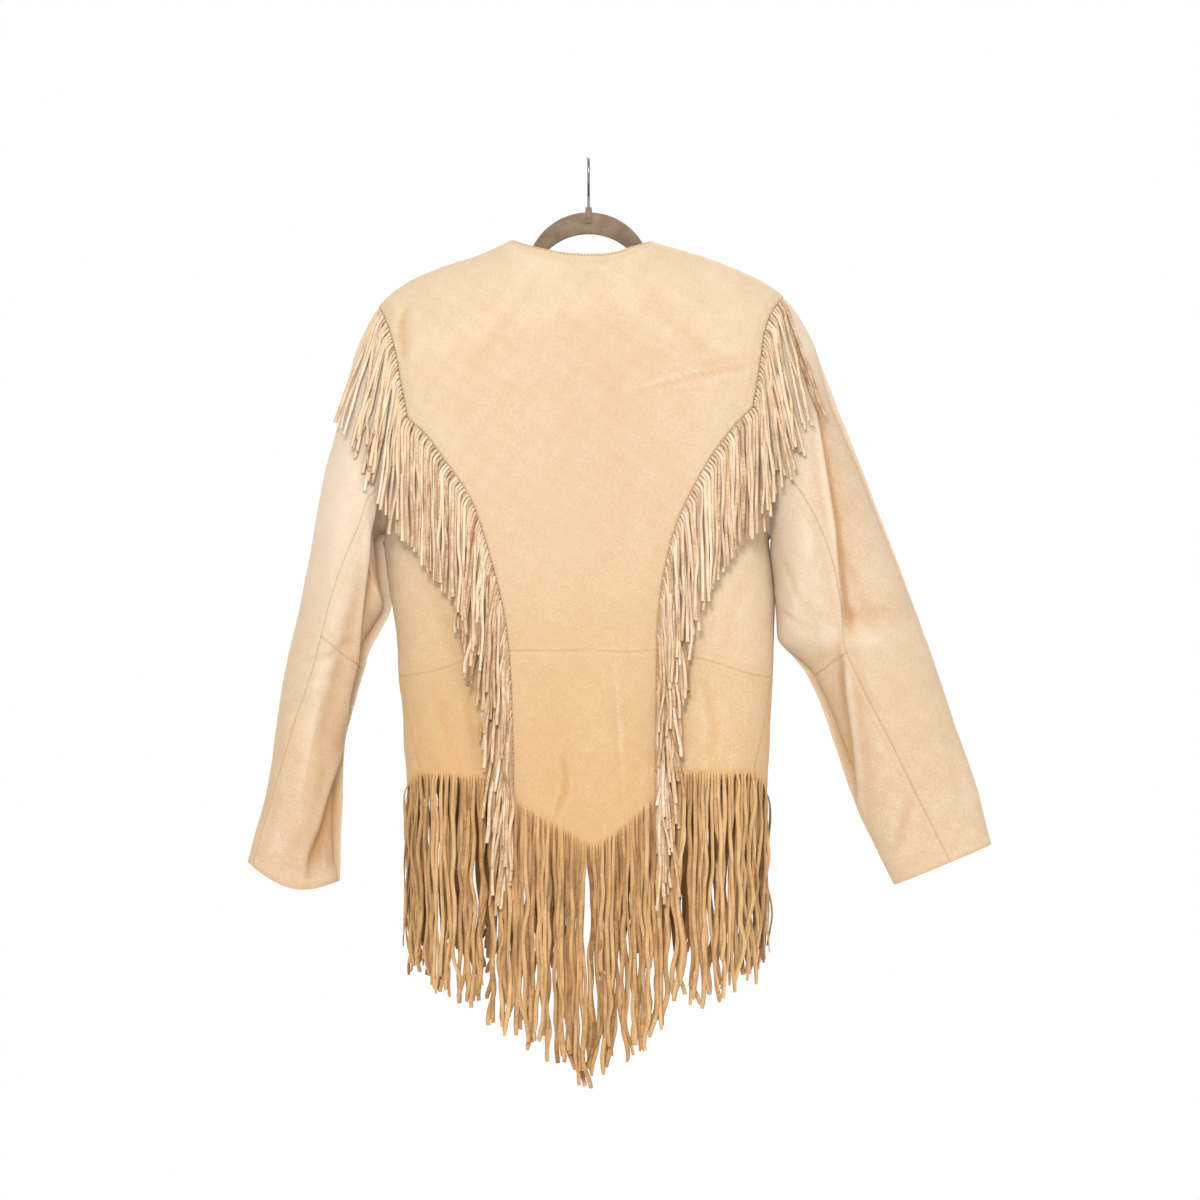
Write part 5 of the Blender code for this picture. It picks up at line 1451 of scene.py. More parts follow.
@dataclass
class Sleeves:
    """The two sleeves: a top piece each, and an under piece above and below the elbow seam."""

    seams: Seams = field(default_factory=Seams)
    grids: dict = field(default_factory=dict)

    def angle(self, side: Side, row: Array, step: int, face: Face, base: Array) -> Array:
        """The turn of a lengthwise line at each section. Lines bunch to keep to the seams.

        Args:
            side: The sleeve's side.
            row: The section numbers.
            step: The line's number down the armhole.
            face: The face that the line is on.
            base: The armhole's turns.

        Returns:
            The line's turn at each section.
        """
        pivot = (BACK_PIVOT if face is Face.BACK else FRONT_PIVOT) * FINER
        share = FORM.sleeve_at[side]["seam"](row) if face is Face.BACK else FRONT_SEAM
        fade = np.clip(row / 2.0, 0.0, 1.0)
        seam = np.arccos(np.clip(1.0 - 2.0 * share, -1.0, 1.0))
        target = base[pivot] * (1.0 - fade) + seam * fade
        if step <= pivot:
            return base[step] * target / base[pivot]
        return base[-1] - (base[-1] - base[step]) * (base[-1] - target) / (base[-1] - base[pivot])

    def line(self, side: Side, rows: Array, step: int, face: Face, base: Array) -> tuple[Array, Array]:
        """One lengthwise line of a sleeve, whose first point lies just off the armhole.

        Args:
            side: Its side.
            rows: The section numbers.
            step: The line's number down the armhole.
            face: Back or front.
            base: The armhole's turns.

        Returns:
            The line's points, and the outward directions there.
        """
        points, normals = FORM.sleeve_surface(side, rows, self.angle(side, rows, step, face, base), face)
        if rows[0] == 0.0:
            seam = FORM.armhole_seam(side, face, base)
            seam_points, body_normals = FORM.body_surface(seam[:, 0], seam[:, 1])
            tangent = unit(np.gradient(seam_points, axis=0))[step]
            across = unit(np.cross(body_normals[step], tangent))
            across = across * np.sign(across @ (points[2] - seam_points[step]))
            if step == len(seam) - 1:
                across = np.array([0.0, 0.0, 1.0])
            points[0] = seam_points[step] + across * HALF_GAP
            normals[0] = body_normals[step]
            for k in range(1, CELLS_A_RING // 2):
                share = k / (CELLS_A_RING / 2)
                normals[k] = unit(normals[0] * (1.0 - share) + normals[k] * share)
        return points, normals

    def cut(self, name: str, side: Side, rows: Array, steps: Sequence[tuple[int, Face]], edges: Edges) -> None:
        """Cuts one sleeve piece across a run of lengthwise lines.

        Args:
            name: The node that it stands for.
            side: The sleeve's side.
            rows: The section numbers, from the top.
            steps: The (number, face) of each lengthwise line.
            edges: The finish of its top, bottom, left and right edges.
        """
        base = FORM.armhole_angles(side, ARM_UPPER * FINER, ARM_LOWER * FINER)
        lines = [self.line(side, rows, step, face, base) for step, face in steps]
        points = np.stack([line[0] for line in lines], axis=1)
        normals = np.stack([line[1] for line in lines], axis=1)
        if side is Side.RIGHT:
            points, normals = points[:, ::-1], normals[:, ::-1]
        points, normals = bunched(points), unit(bunched(normals))
        points = edge_inset(points, normals, SLEEVE_INSET)
        self.grids[name] = PanelGrid(points, normals, edges, sleeve_step_shade(points, side)).pressed()

    def build(self) -> None:
        """Cuts both sleeves."""
        places = np.arange((len(SLEEVE_ROWS) - 1) * CELLS_A_RING + 1) / CELLS_A_RING
        whole = np.interp(places, np.arange(len(SLEEVE_ROWS)), SLEEVE_ROWS)
        elbow = SLEEVE_ROWS.index(ELBOW_ROW) * CELLS_A_RING
        behind, before = BACK_PIVOT * FINER, FRONT_PIVOT * FINER
        end = (ARM_UPPER + ARM_LOWER) * FINER
        outer = [(step, Face.FRONT) for step in range(before, 0, -1)]
        outer += [(step, Face.BACK) for step in range(behind + 1)]
        under = [(step, Face.BACK) for step in range(behind, end + 1)]
        under += [(step, Face.FRONT) for step in range(end - 1, before - 1, -1)]
        for side in Side:
            s = side.value
            seam, free = Edge.SEAM, Edge.FREE
            self.cut(f"sleeve_top_{s}", side, whole, outer, (seam, free, seam, seam))
            self.cut(f"sleeve_under_upper_{s}", side, whole[: elbow + 1], under, (seam, seam, seam, seam))
            self.cut(f"sleeve_under_lower_{s}", side, whole[elbow:], under, (seam, free, seam, seam))


class Tree:
    """A node tree for geometry or a material, and the one way to add a node to it."""

    def __init__(self, tree: bpy.types.NodeTree) -> None:
        """Empties the tree."""
        self.tree = tree
        tree.nodes.clear()

    def add(self, kind: str, settings: Optional[dict] = None, **inputs: object) -> bpy.types.Node:
        """Adds a node with its settings and links.

        Args:
            kind: The node's type.
            settings: Its properties, by name.
            inputs: Its sockets' values or the sockets linked to them, by name with _ for a
                space, or by number as i0, i1 and so on.

        Returns:
            The node.
        """
        node = self.tree.nodes.new(kind)
        for name, value in (settings or {}).items():
            setattr(node, name, value)
        for name, value in inputs.items():
            numbered = name[0] == "i" and name[1:].isdigit()
            socket = node.inputs[int(name[1:]) if numbered else name.replace("_", " ")]
            if isinstance(value, bpy.types.NodeSocket):
                self.tree.links.new(value, socket)
            else:
                socket.default_value = value
        return node


class Workshop:
    """Geometry trees that repeat a shape, and the step that turns their result into a mesh."""

    def group(self, name: str, sizes: Sequence[str]) -> tuple[Tree, bpy.types.Node]:
        """A new geometry tree with named inputs.

        Args:
            name: The tree's name.
            sizes: The names of its numbers, which stand between its geometry and its material.

        Returns:
            The tree and its input node.
        """
        tree = bpy.data.node_groups.new(name, "GeometryNodeTree")
        inputs = [("Geometry", "Geometry"), *((size, "Float") for size in sizes), ("Material", "Material")]
        for label, kind in inputs:
            tree.interface.new_socket(label, in_out="INPUT", socket_type="NodeSocket" + kind)
        tree.interface.new_socket("Geometry", in_out="OUTPUT", socket_type="NodeSocketGeometry")
        made = Tree(tree)
        return made, made.add("NodeGroupInput")

    def finish(self, tree: Tree, geometry: bpy.types.NodeSocket, material: bpy.types.NodeSocket) -> None:
        """Ends a tree in real geometry that carries its material.

        Args:
            tree: The tree.
            geometry: What it has made.
            material: The material's socket.
        """
        real = tree.add("GeometryNodeRealizeInstances", None, i0=geometry)
        dressed = tree.add("GeometryNodeSetMaterial", None, Geometry=real.outputs[0], Material=material)
        tree.add("NodeGroupOutput", None, i0=dressed.outputs[0])

    def fringe_tree(self) -> bpy.types.NodeTree:
        """Cuts a flat thong along each guide line, with a small unevenness of its own.

        Returns:
            The geometry tree.
        """
        sizes = ("Strand Width", "Hide Thickness", "Wander", "Wander Scale", "Seed")
        tree, given = self.group("cut_fringe", sizes)
        out = given.outputs
        lines = tree.add("GeometryNodeMeshToCurve", None, Mesh=out["Geometry"])
        place = tree.add("GeometryNodeInputPosition")
        noise = tree.add(
            "ShaderNodeTexNoise",
            {"noise_dimensions": "4D"},
            Vector=place.outputs[0], W=out["Seed"], Scale=out["Wander Scale"], Detail=1.0,
        )
        centred = tree.add(
            "ShaderNodeVectorMath", {"operation": "SUBTRACT"}, i0=noise.outputs["Color"], i1=(0.5, 0.5, 0.5)
        )
        moved = tree.add("ShaderNodeVectorMath", {"operation": "SCALE"}, i0=centred.outputs[0], Scale=out["Wander"])
        loose = tree.add("GeometryNodeInputNamedAttribute", {"data_type": "FLOAT"}, Name="loose")
        offset = tree.add(
            "ShaderNodeVectorMath", {"operation": "SCALE"}, i0=moved.outputs[0], Scale=loose.outputs[0]
        )
        bent = tree.add("GeometryNodeSetPosition", None, Geometry=lines.outputs[0], Offset=offset.outputs[0])
        facing = tree.add("GeometryNodeInputNamedAttribute", {"data_type": "FLOAT_VECTOR"}, Name="facing")
        turned = tree.add(
            "GeometryNodeSetCurveNormal", {"mode": "FREE"}, Curve=bent.outputs[0], Normal=facing.outputs[0]
        )
        narrow = tree.add("ShaderNodeMath", {"operation": "MULTIPLY"}, i0=out["Strand Width"], i1=0.68)
        section = tree.add(
            "GeometryNodeCurvePrimitiveQuadrilateral",
            {"mode": "TRAPEZOID"},
            Height=out["Hide Thickness"], Bottom_Width=out["Strand Width"], Top_Width=narrow.outputs[0], Offset=0.0,
        )
        outline = tree.add(
            "GeometryNodeTransform", None, Geometry=section.outputs[0], Rotation=(0.0, 0.0, -math.pi / 2.0)
        )
        girth = tree.add("GeometryNodeInputNamedAttribute", {"data_type": "FLOAT"}, Name="girth")
        thong = tree.add(
            "GeometryNodeCurveToMesh",
            None,
            Curve=turned.outputs[0], Profile_Curve=outline.outputs[0], Scale=girth.outputs[0], Fill_Caps=True,
        )
        # rim: 1 on a thong's cut edges and slanted sides, partly their own darker colour and partly painted shadow
        # between the thongs, and up to 0.5 on its back, painted shade.
        towards = tree.add("GeometryNodeInputNormal").outputs[0]
        level = tree.add("ShaderNodeVectorMath", {"operation": "DOT_PRODUCT"}, i0=towards, i1=facing.outputs[0])
        flat = tree.add("ShaderNodeMath", {"operation": "ABSOLUTE"}, i0=level.outputs["Value"])
        edge = tree.add("ShaderNodeMath", {"operation": "SUBTRACT", "use_clamp": True}, i0=1.0, i1=flat.outputs[0])
        behind = tree.add("ShaderNodeMath", {"operation": "MULTIPLY"}, i0=level.outputs["Value"], i1=-0.5)
        rim = tree.add("ShaderNodeMath", {"operation": "MAXIMUM"}, i0=edge.outputs[0], i1=behind.outputs[0])
        told = tree.add(
            "GeometryNodeStoreNamedAttribute",
            {"data_type": "FLOAT", "domain": "FACE"},
            Geometry=thong.outputs[0], Name="rim", Value=rim.outputs[0],
        )
        self.finish(tree, told.outputs[0], out["Material"])
        return tree.tree

    def stitch_tree(self) -> bpy.types.NodeTree:
        """Lays short thread stitches, end to end with gaps, along each guide line.

        Returns:
            The geometry tree.
        """
        sizes = ("Stitch Pitch", "Stitch Length", "Thread Radius", "Slant", "Seed")
        tree, given = self.group("lay_stitches", sizes)
        out = given.outputs
        lines = tree.add("GeometryNodeMeshToCurve", None, Mesh=out["Geometry"])
        points = tree.add(
            "GeometryNodeCurveToPoints", {"mode": "LENGTH"}, Curve=lines.outputs[0], Length=out["Stitch Pitch"]
        )
        ball = tree.add("GeometryNodeMeshUVSphere", None, Segments=6, Rings=4, Radius=1.0)
        half = tree.add("ShaderNodeMath", {"operation": "MULTIPLY"}, i0=out["Stitch Length"], i1=0.5)
        size = tree.add("ShaderNodeCombineXYZ", None, X=out["Thread Radius"], Y=out["Thread Radius"], Z=half.outputs[0])
        stitch = tree.add("GeometryNodeTransform", None, Geometry=ball.outputs[0], Scale=size.outputs[0])
        jitter = tree.add(
            "FunctionNodeRandomValue",
            {"data_type": "FLOAT_VECTOR"},
            i0=(-0.5, -0.5, -0.5), i1=(0.5, 0.5, 0.5), Seed=out["Seed"],
        )
        slanted = tree.add("ShaderNodeVectorMath", {"operation": "SCALE"}, i0=jitter.outputs[0], Scale=out["Slant"])
        along = tree.add(
            "ShaderNodeVectorMath", {"operation": "ADD"}, i0=points.outputs["Tangent"], i1=slanted.outputs[0]
        )
        turn = tree.add("FunctionNodeAlignRotationToVector", {"axis": "Z"}, Vector=along.outputs[0])
        laid = tree.add(
            "GeometryNodeInstanceOnPoints",
            None,
            Points=points.outputs["Points"], Instance=stitch.outputs[0], Rotation=turn.outputs[0],
        )
        self.finish(tree, laid.outputs[0], out["Material"])
        return tree.tree

    def run(self, name: str, guide: bpy.types.Mesh, tree: bpy.types.NodeTree, values: dict) -> bpy.types.Mesh:
        """Runs a tree on a guide mesh and keeps the plain result.

        Args:
            name: The result's name.
            guide: The mesh that the tree takes.
            tree: The geometry tree.
            values: The value of each named input.

        Returns:
            The result, smooth but for its hard edges.
        """
        holder = put_in_scene(name + "_guide", guide)
        modifier = holder.modifiers.new(tree.name, "NODES")
        modifier.node_group = tree
        for item in tree.interface.items_tree:
            if item.in_out == "INPUT" and item.name in values:
                modifier[item.identifier] = values[item.name]
        mesh = plain_mesh(holder)
        mesh.name = name
        for extra in ("facing", "girth", "loose"):
            if extra in mesh.attributes:
                mesh.attributes.remove(mesh.attributes[extra])
        turn_outwards(mesh, merge=False)
        return smoothed(mesh)


def guide_mesh(
    name: str, lines: Sequence[Array], facing: Optional[Sequence[Array]] = None, numbers: Optional[dict] = None
) -> bpy.types.Mesh:
    """A mesh of open lines for a geometry tree to follow.

    Args:
        name: The mesh's name.
        lines: Each line's points, in millimetres.
        facing: The direction that each point's flat side looks towards.
        numbers: Values for each point, by the name of their attribute.

    Returns:
        The mesh, in metres.
    """
    verts = np.concatenate(lines) * MM
    edges, start = [], 0
    for line in lines:
        steps = np.arange(start, start + len(line) - 1)
        edges.append(np.stack([steps, steps + 1], axis=-1))
        start += len(line)
    mesh = bpy.data.meshes.new(name)
    mesh.from_pydata(verts.tolist(), np.concatenate(edges).tolist(), [])
    if facing is not None:
        layer = mesh.attributes.new("facing", "FLOAT_VECTOR", "POINT")
        layer.data.foreach_set("vector", np.concatenate(facing).astype(np.float32).ravel())
    for label, values in (numbers or {}).items():
        layer = mesh.attributes.new(label, "FLOAT", "POINT")
        layer.data.foreach_set("value", np.concatenate(values).astype(np.float32))
    return mesh


@dataclass
class ReachMap:
    """How far out the cloth reaches at each place, seen from the back or the front."""

    face: Face
    cell: float = 2.5
    left: float = -420.0
    top: float = -60.0
    shape: tuple[int, int] = (320, 350)
    grid: Optional[Array] = None

    def __post_init__(self) -> None:
        """Fills the map from the body and both sleeves."""
        reach = np.full(self.shape, NO_CLOTH - 100.0)
        turns = np.linspace(0.0, HALF_TURN, 320)
        turns = turns if self.face is Face.BACK else WHOLE_TURN - turns
        body, _ = FORM.body_surface(*np.meshgrid(turns, np.linspace(0.0, 6.3, 420)))
        body = body.reshape(-1, 3)
        clouds = [body[body[:, 2] > BACK_SIDE_HEM]]
        for side in Side:
            row, angle = np.meshgrid(np.linspace(0.0, 8.0, 260), np.linspace(0.0, np.pi, 140))
            clouds.append(FORM.sleeve_surface(side, row, angle, self.face)[0].reshape(-1, 3))
        for cloud in clouds:
            row, column = self.place(cloud[:, 0], cloud[:, 2])
            np.maximum.at(reach, (row, column), cloud[:, 1] * self.face.value)
        grown = reach.copy()
        for down in range(-1, 2):
            for over in range(-1, 2):
                grown = np.maximum(grown, np.roll(np.roll(reach, down, 0), over, 1))
        self.grid = grown

    def place(self, x: Array, z: Array) -> tuple[Array, Array]:
        """The map's cells at places seen from outside.

        Args:
            x: Their X.
            z: Their Z.

        Returns:
            The row and column of each.
        """
        row = np.clip(((self.top - z) / self.cell).astype(int), 0, self.shape[0] - 1)
        column = np.clip(((x - self.left) / self.cell).astype(int), 0, self.shape[1] - 1)
        return row, column

    def at(self, x: Array, z: Array) -> Array:
        """How far out the cloth reaches there."""
        return self.grid[self.place(x, z)]


@dataclass
class Guides:
    """The lines that thongs are cut along, with what each point carries."""

    lines: list = field(default_factory=list)
    facing: list = field(default_factory=list)
    girth: list = field(default_factory=list)
    loose: list = field(default_factory=list)
    tone: list = field(default_factory=list)

    def add(self, points: Array, outward: Array, twist: Array, girth: Array, loose: Array, tone: Array) -> None:
        """Adds one thong.

        Args:
            points: Its middle line, from the root down.
            outward: The direction that its flat side would look towards untwisted.
            twist: How far it turns about its own length at each point, in radians.
            girth: Its width at each point, as a share of the strand width.
            loose: How freely each point wanders, 0 to 1.
            tone: How pale it is at each point, 0 to 1.
        """
        tangent = unit(np.gradient(points, axis=0))
        flat = outward - tangent * np.sum(outward * tangent, axis=-1, keepdims=True)
        flat = unit(flat)
        side = np.cross(flat, tangent)
        self.lines.append(points)
        self.facing.append(flat * np.cos(twist)[:, None] + side * np.sin(twist)[:, None])
        self.girth.append(girth)
        self.loose.append(loose)
        self.tone.append(np.zeros(len(points)) + tone)

    def mesh(self, name: str) -> bpy.types.Mesh:
        """The lines as a mesh for the fringe's tree."""
        numbers = {"girth": self.girth, "loose": self.loose, "tone": self.tone}
        return guide_mesh(name, self.lines, self.facing, numbers)


@dataclass
class SeamFringe:
    """The fringe set in an armhole and the princess seam below it.

    Fields:
        side: Its side.
        face: Whether it is on the back or the front.
        reach: The map that keeps it clear of the cloth.
        length: The length of a strand.
        pitch: The spacing of the cuts along the seam.
        lean: The most that a strand stands off per millimetre of drop.
        shoulder_drift: How far the strands lean out at the shoulder per unit of drop.
        spread: The most that a strand swings out where the seam runs straight down.
        seed: The start of its random draws.
    """

    side: Side
    face: Face
    reach: ReachMap
    length: float = 139.0
    pitch: float = 4.6
    lean: float = 0.078
    shoulder_drift: float = 0.32
    spread: float = 33.0
    seed: int = 0

    def seam_x(self, z: Array) -> Array:
        """The seam's x: the armhole's, then the princess seam's."""
        return np.where(z > FORM.branch(self.side), FORM.arm_at[self.side](z), FORM.princess_at[self.side](z))

    def roots(self, draw: np.random.Generator) -> Array:
        """The strands' roots, evenly spaced along the seam.

        Args:
            draw: The random draws.

        Returns:
            The height of each.
        """
        top = FORM.shoulder_point(self.side)[0] - 3.0
        low = PRINCESS[self.side].rows[-1][0] + 5.0
        z = np.linspace(top, low, 3000)
        points, _ = FORM.body_surface(*FORM.body_param(self.seam_x(z), z, self.face))
        run = lengths(points)
        places = np.arange(self.pitch / 2.0, run[-1], self.pitch)
        return np.interp(places + draw.uniform(-1.3, 1.3, len(places)), run, z)

    def strand(self, root: float, draw: np.random.Generator, guides: Guides) -> None:
        """Adds the strand rooted at one height.

        Args:
            root: The height of its root.
            draw: The random draws.
            guides: The guides that it joins.
        """
        out, face = self.side.out, float(self.face.value)
        z3 = np.array([root + 1.5, root, root - 1.5])
        seam, normals = FORM.body_surface(*FORM.body_param(self.seam_x(z3), z3, self.face))
        tangent = unit(seam[2] - seam[0])
        across = unit(np.cross(normals[1], tangent))
        across = across * np.sign(across[0] * out)
        steep = float(abs(tangent[2]))
        top, low = FORM.shoulder_point(self.side)[0], FORM.branch(self.side)
        high = float(np.clip((root - low) / (top - low), 0.0, 1.0))
        upright = float(np.clip((steep - 0.86) / 0.12, 0.0, 1.0)) * (1.0 if root < low else 0.45)
        length = self.length * (1.0 + draw.normal(0.0, 0.022))
        drift = self.shoulder_drift * high * draw.uniform(0.3, 1.3)
        swing = self.spread * upright * draw.uniform(0.0, 1.0) ** 1.5
        bend = draw.uniform(11.0, 16.0) * (1.0 - 0.3 * upright)
        lift, stand = draw.uniform(0.0, 1.0), draw.uniform(0.15, 1.0)
        wave, phase = draw.uniform(70.0, 150.0), draw.uniform(0.0, TAU)
        sway = draw.uniform(-1.0, 1.0) * 1.6 + draw.normal(0.0, 1.0) * (0.8 + 1.2 * upright)
        kink, at = draw.normal(0.0, 1.3), draw.uniform(0.35, 0.8)
        s = np.concatenate([np.arange(0.0, 18.0, 2.0), np.arange(18.0, length - 2.0, 6.0), [length]])
        share = s / length
        t = smoothstep((s - 3.0) / bend)
        slope = drift + swing / length * 1.5 * (1.0 - 0.66 * share)
        down = unit(np.stack([np.full(len(s), out * 1.0) * slope, np.full(len(s), -1.0)], axis=-1))
        first = unit(np.array([across[0] * (1.0 - 0.6 * upright), across[2] - 0.15 - 0.9 * upright]))
        heading = unit(first * (1.0 - t)[:, None] + down * t[:, None])
        step = np.diff(s, prepend=0.0)
        path = np.cumsum(heading * step[:, None], axis=0)
        x = seam[1, 0] - across[0] * 1.0 + path[:, 0]
        z = seam[1, 2] - across[2] * 1.0 + path[:, 1]
        x = x + sway * np.sin(TAU * s / wave + phase) * share + kink * bell(share - at, 0.12)
        base = abs(seam[1, 1]) + 0.2
        cloth = np.maximum(self.reach.at(x, z), NO_CLOTH)
        cloth[s < 5.0] = NO_CLOTH
        rest = np.maximum.accumulate(np.maximum(cloth + 0.3, base))
        rest = rest + 1.7 + 1.6 * lift * smoothstep(s / 14.0) + self.lean * stand * s
        rest = rest + 0.9 * np.sin(TAU * s / wave * 1.3 + phase * 2.0) * smoothstep(s / 30.0)
        rest = np.convolve(np.pad(rest, 1, mode="edge"), [0.25, 0.5, 0.25], mode="valid")
        points = np.stack([x, face * rest, z], axis=-1)
        sense = out * face * -1.0
        twist = sense * math.radians(draw.uniform(18.0, 45.0)) * np.exp(-s / 10.0)
        twist = twist + math.radians(draw.uniform(6.0, 34.0)) * np.sin(TAU * s / (wave * 1.4) + phase) * t
        twist = twist + math.radians(draw.normal(0.0, 12.0)) * t
        girth = draw.uniform(0.76, 1.1) * (0.9 + 0.1 * smoothstep(s / 8.0))
        loose = smoothstep((s - 6.0) / 40.0)
        tone = float(np.clip(draw.normal(0.6, 0.38), -0.3, 1.35)) + 0.2 * upright
        tone = tone + 0.24 * np.sin(TAU * s / draw.uniform(16.0, 50.0) + phase) * loose
        guides.add(points, np.array([0.0, face, 0.0]), twist, girth, loose, tone)

    def guides(self) -> Guides:
        """The guides of every strand on the seam.

        Returns:
            The guides.
        """
        draw = np.random.default_rng(self.seed)
        made = Guides()
        for root in self.roots(draw):
            self.strand(float(root), draw, made)
        return made


# Where the hem's strands have parted: x, the height from which and to which, and half the gap.
PARTINGS = Table(
    ("x", "top", "low", "half"),
    (
        (-132.0, -742.0, -842.0, 2.2),
        (-2.5, -790.0, -876.0, 2.2),
        (94.5, -836.0, -893.0, 2.0),
        (143.0, -800.0, -868.0, 1.7),
        (187.0, -832.0, -858.0, 1.6),
    ),
)


@dataclass
class HemFringe:
    """The fringe cut into the lower edge of one panel.

    Fields:
        panel: The panel, whose last row is the edge that the cuts reach.
        end_of_x: The height at which its strands end, by X.
        pitch: The spacing of the cuts.
        jitter: How unevenly the strands end.
        curl: How far they wave.
        seed: The start of its random draws.
    """

    panel: PanelGrid
    end_of_x: Curve
    pitch: float = 3.4
    jitter: float = 9.0
    curl: float = 1.4
    seed: int = 0

    def parted(self, x: Array, z: Array) -> Array:
        """Pushes a strand aside, as a whole, where the hem has parted.

        Args:
            x: The X of its points.
            z: Their heights.

        Returns:
            Their new X.
        """
        for middle, top, low, half in PARTINGS.rows:
            inside = smoothstep((top - z) / 26.0) * smoothstep((z - low) / 26.0 + 1.0)
            if inside.max() > 0.0:
                off = float(np.average(x - middle, weights=inside))
                push = math.copysign(half, off) * math.exp(-((off / 12.0) ** 2))
                x = x + push * inside
        return x

    def guides(self) -> Guides:
        """The guides of every strand below the panel.

        Returns:
            The guides.
        """
        draw = np.random.default_rng(self.seed)
        edge, normals = self.panel.points[-1], self.panel.normals[-1]
        run = lengths(edge)
        count = max(3, round(run[-1] / self.pitch))
        places = (np.arange(count) + 0.5) * run[-1] / count
        roots = at_lengths(places, run, edge)
        outward = unit(at_lengths(places, run, normals) * [1.0, 1.0, 0.0])
        along = unit(np.gradient(roots, axis=0) * [1.0, 1.0, 0.0])
        clump = np.cumsum(draw.uniform(0.0, 1.0, count) < 0.36)
        made = Guides()
        for i in range(count):
            same = clump == clump[i]
            pull = float(places[same].mean() - places[i]) * draw.uniform(0.0, 0.4)
            self.strand(roots[i], outward[i], along[i], pull, draw, made)
        return made

    def strand(
        self, root: Array, outward: Array, along: Array, pull: float, draw: np.random.Generator, guides: Guides
    ) -> None:
        """Adds one strand.

        Args:
            root: Where it leaves the edge.
            outward: The level direction away from the garment there.
            along: The level direction along the edge there.
            pull: How far it leans along the edge, towards its neighbours.
            draw: The random draws.
            guides: The guides that it joins.
        """
        end = float(self.end_of_x(root[0])) + float(np.clip(draw.normal(0.0, self.jitter), -20.0, 14.0))
        if draw.uniform() < 0.12:
            end += draw.uniform(8.0, 34.0)
        length = max(60.0, root[2] - end)
        s = np.concatenate([[-1.2, -0.3, 2.5, 6.0], np.arange(11.0, length - 3.0, 7.0), [length]])
        share = np.clip(s / length, 0.0, 1.0)
        long_wave, short_wave = draw.uniform(130.0, 260.0), draw.uniform(48.0, 92.0)
        a, b, c, d = draw.uniform(0.0, TAU, 4)
        free = smoothstep(s / 45.0)
        ease = smoothstep(s / 120.0)
        lateral = pull * ease + draw.normal(0.0, 3.0) * share
        lateral = lateral + self.curl * free * (
            draw.uniform(0.3, 1.7) * (np.sin(TAU * s / long_wave + a) - math.sin(a)) * (0.5 + 0.5 * share)
            + draw.uniform(0.15, 1.0) * np.sin(TAU * s / short_wave + b) * (0.4 + share)
        )
        deep = self.curl * free * (
            draw.uniform(0.6, 2.8) * np.sin(TAU * s / long_wave * 1.3 + c)
            + draw.uniform(0.1, 0.8) * np.sin(TAU * s / short_wave + d)
        )
        deep = deep + draw.normal(0.0, 3.0) * smoothstep(s / 16.0) - 2.0 * share
        kink, at = draw.normal(0.0, 2.0), draw.uniform(0.25, 0.9)
        lateral = lateral + kink * bell(share - at, 0.07) * free
        curl_end = draw.normal(0.0, 5.0) * smoothstep((share - 0.82) / 0.18) ** 2
        points = root + along * (lateral + curl_end)[:, None] + outward * (deep - LEATHER / 2.0)[:, None]
        points[:, 2] = root[2] - s
        points[:, 0] = self.parted(points[:, 0], points[:, 2])
        twist = math.radians(draw.uniform(6.0, 32.0)) * np.sin(TAU * s / draw.uniform(90.0, 230.0) + a)
        twist = (twist + math.radians(draw.normal(0.0, 13.0))) * smoothstep(s / 26.0)
        notch = smoothstep(s / 5.0) * (1.0 - smoothstep((s - 13.0) / 20.0))
        girth = draw.uniform(0.85, 1.12) * (1.0 - 0.27 * notch)
        girth[-1] *= draw.uniform(0.55, 0.95)
        tone = float(np.clip(draw.normal(0.56, 0.42), -0.5, 1.35)) + 0.36 * float(smoothstep((root[0] - 50.0) / 110.0))
        tone = tone + 0.26 * np.sin(TAU * s / draw.uniform(16.0, 50.0) + c) * free
        tone = tone + (1.35 - tone) * np.exp(-np.clip(s, 0.0, None) / 7.0)
        guides.add(points, outward, twist, girth, smoothstep(s / 60.0), tone)


def front_hem_ends(x: Array) -> Array:
    """The height at which the front's strands end."""
    return FRONT_HEM - 215.0 + 6.0 * np.abs(x) / 100.0


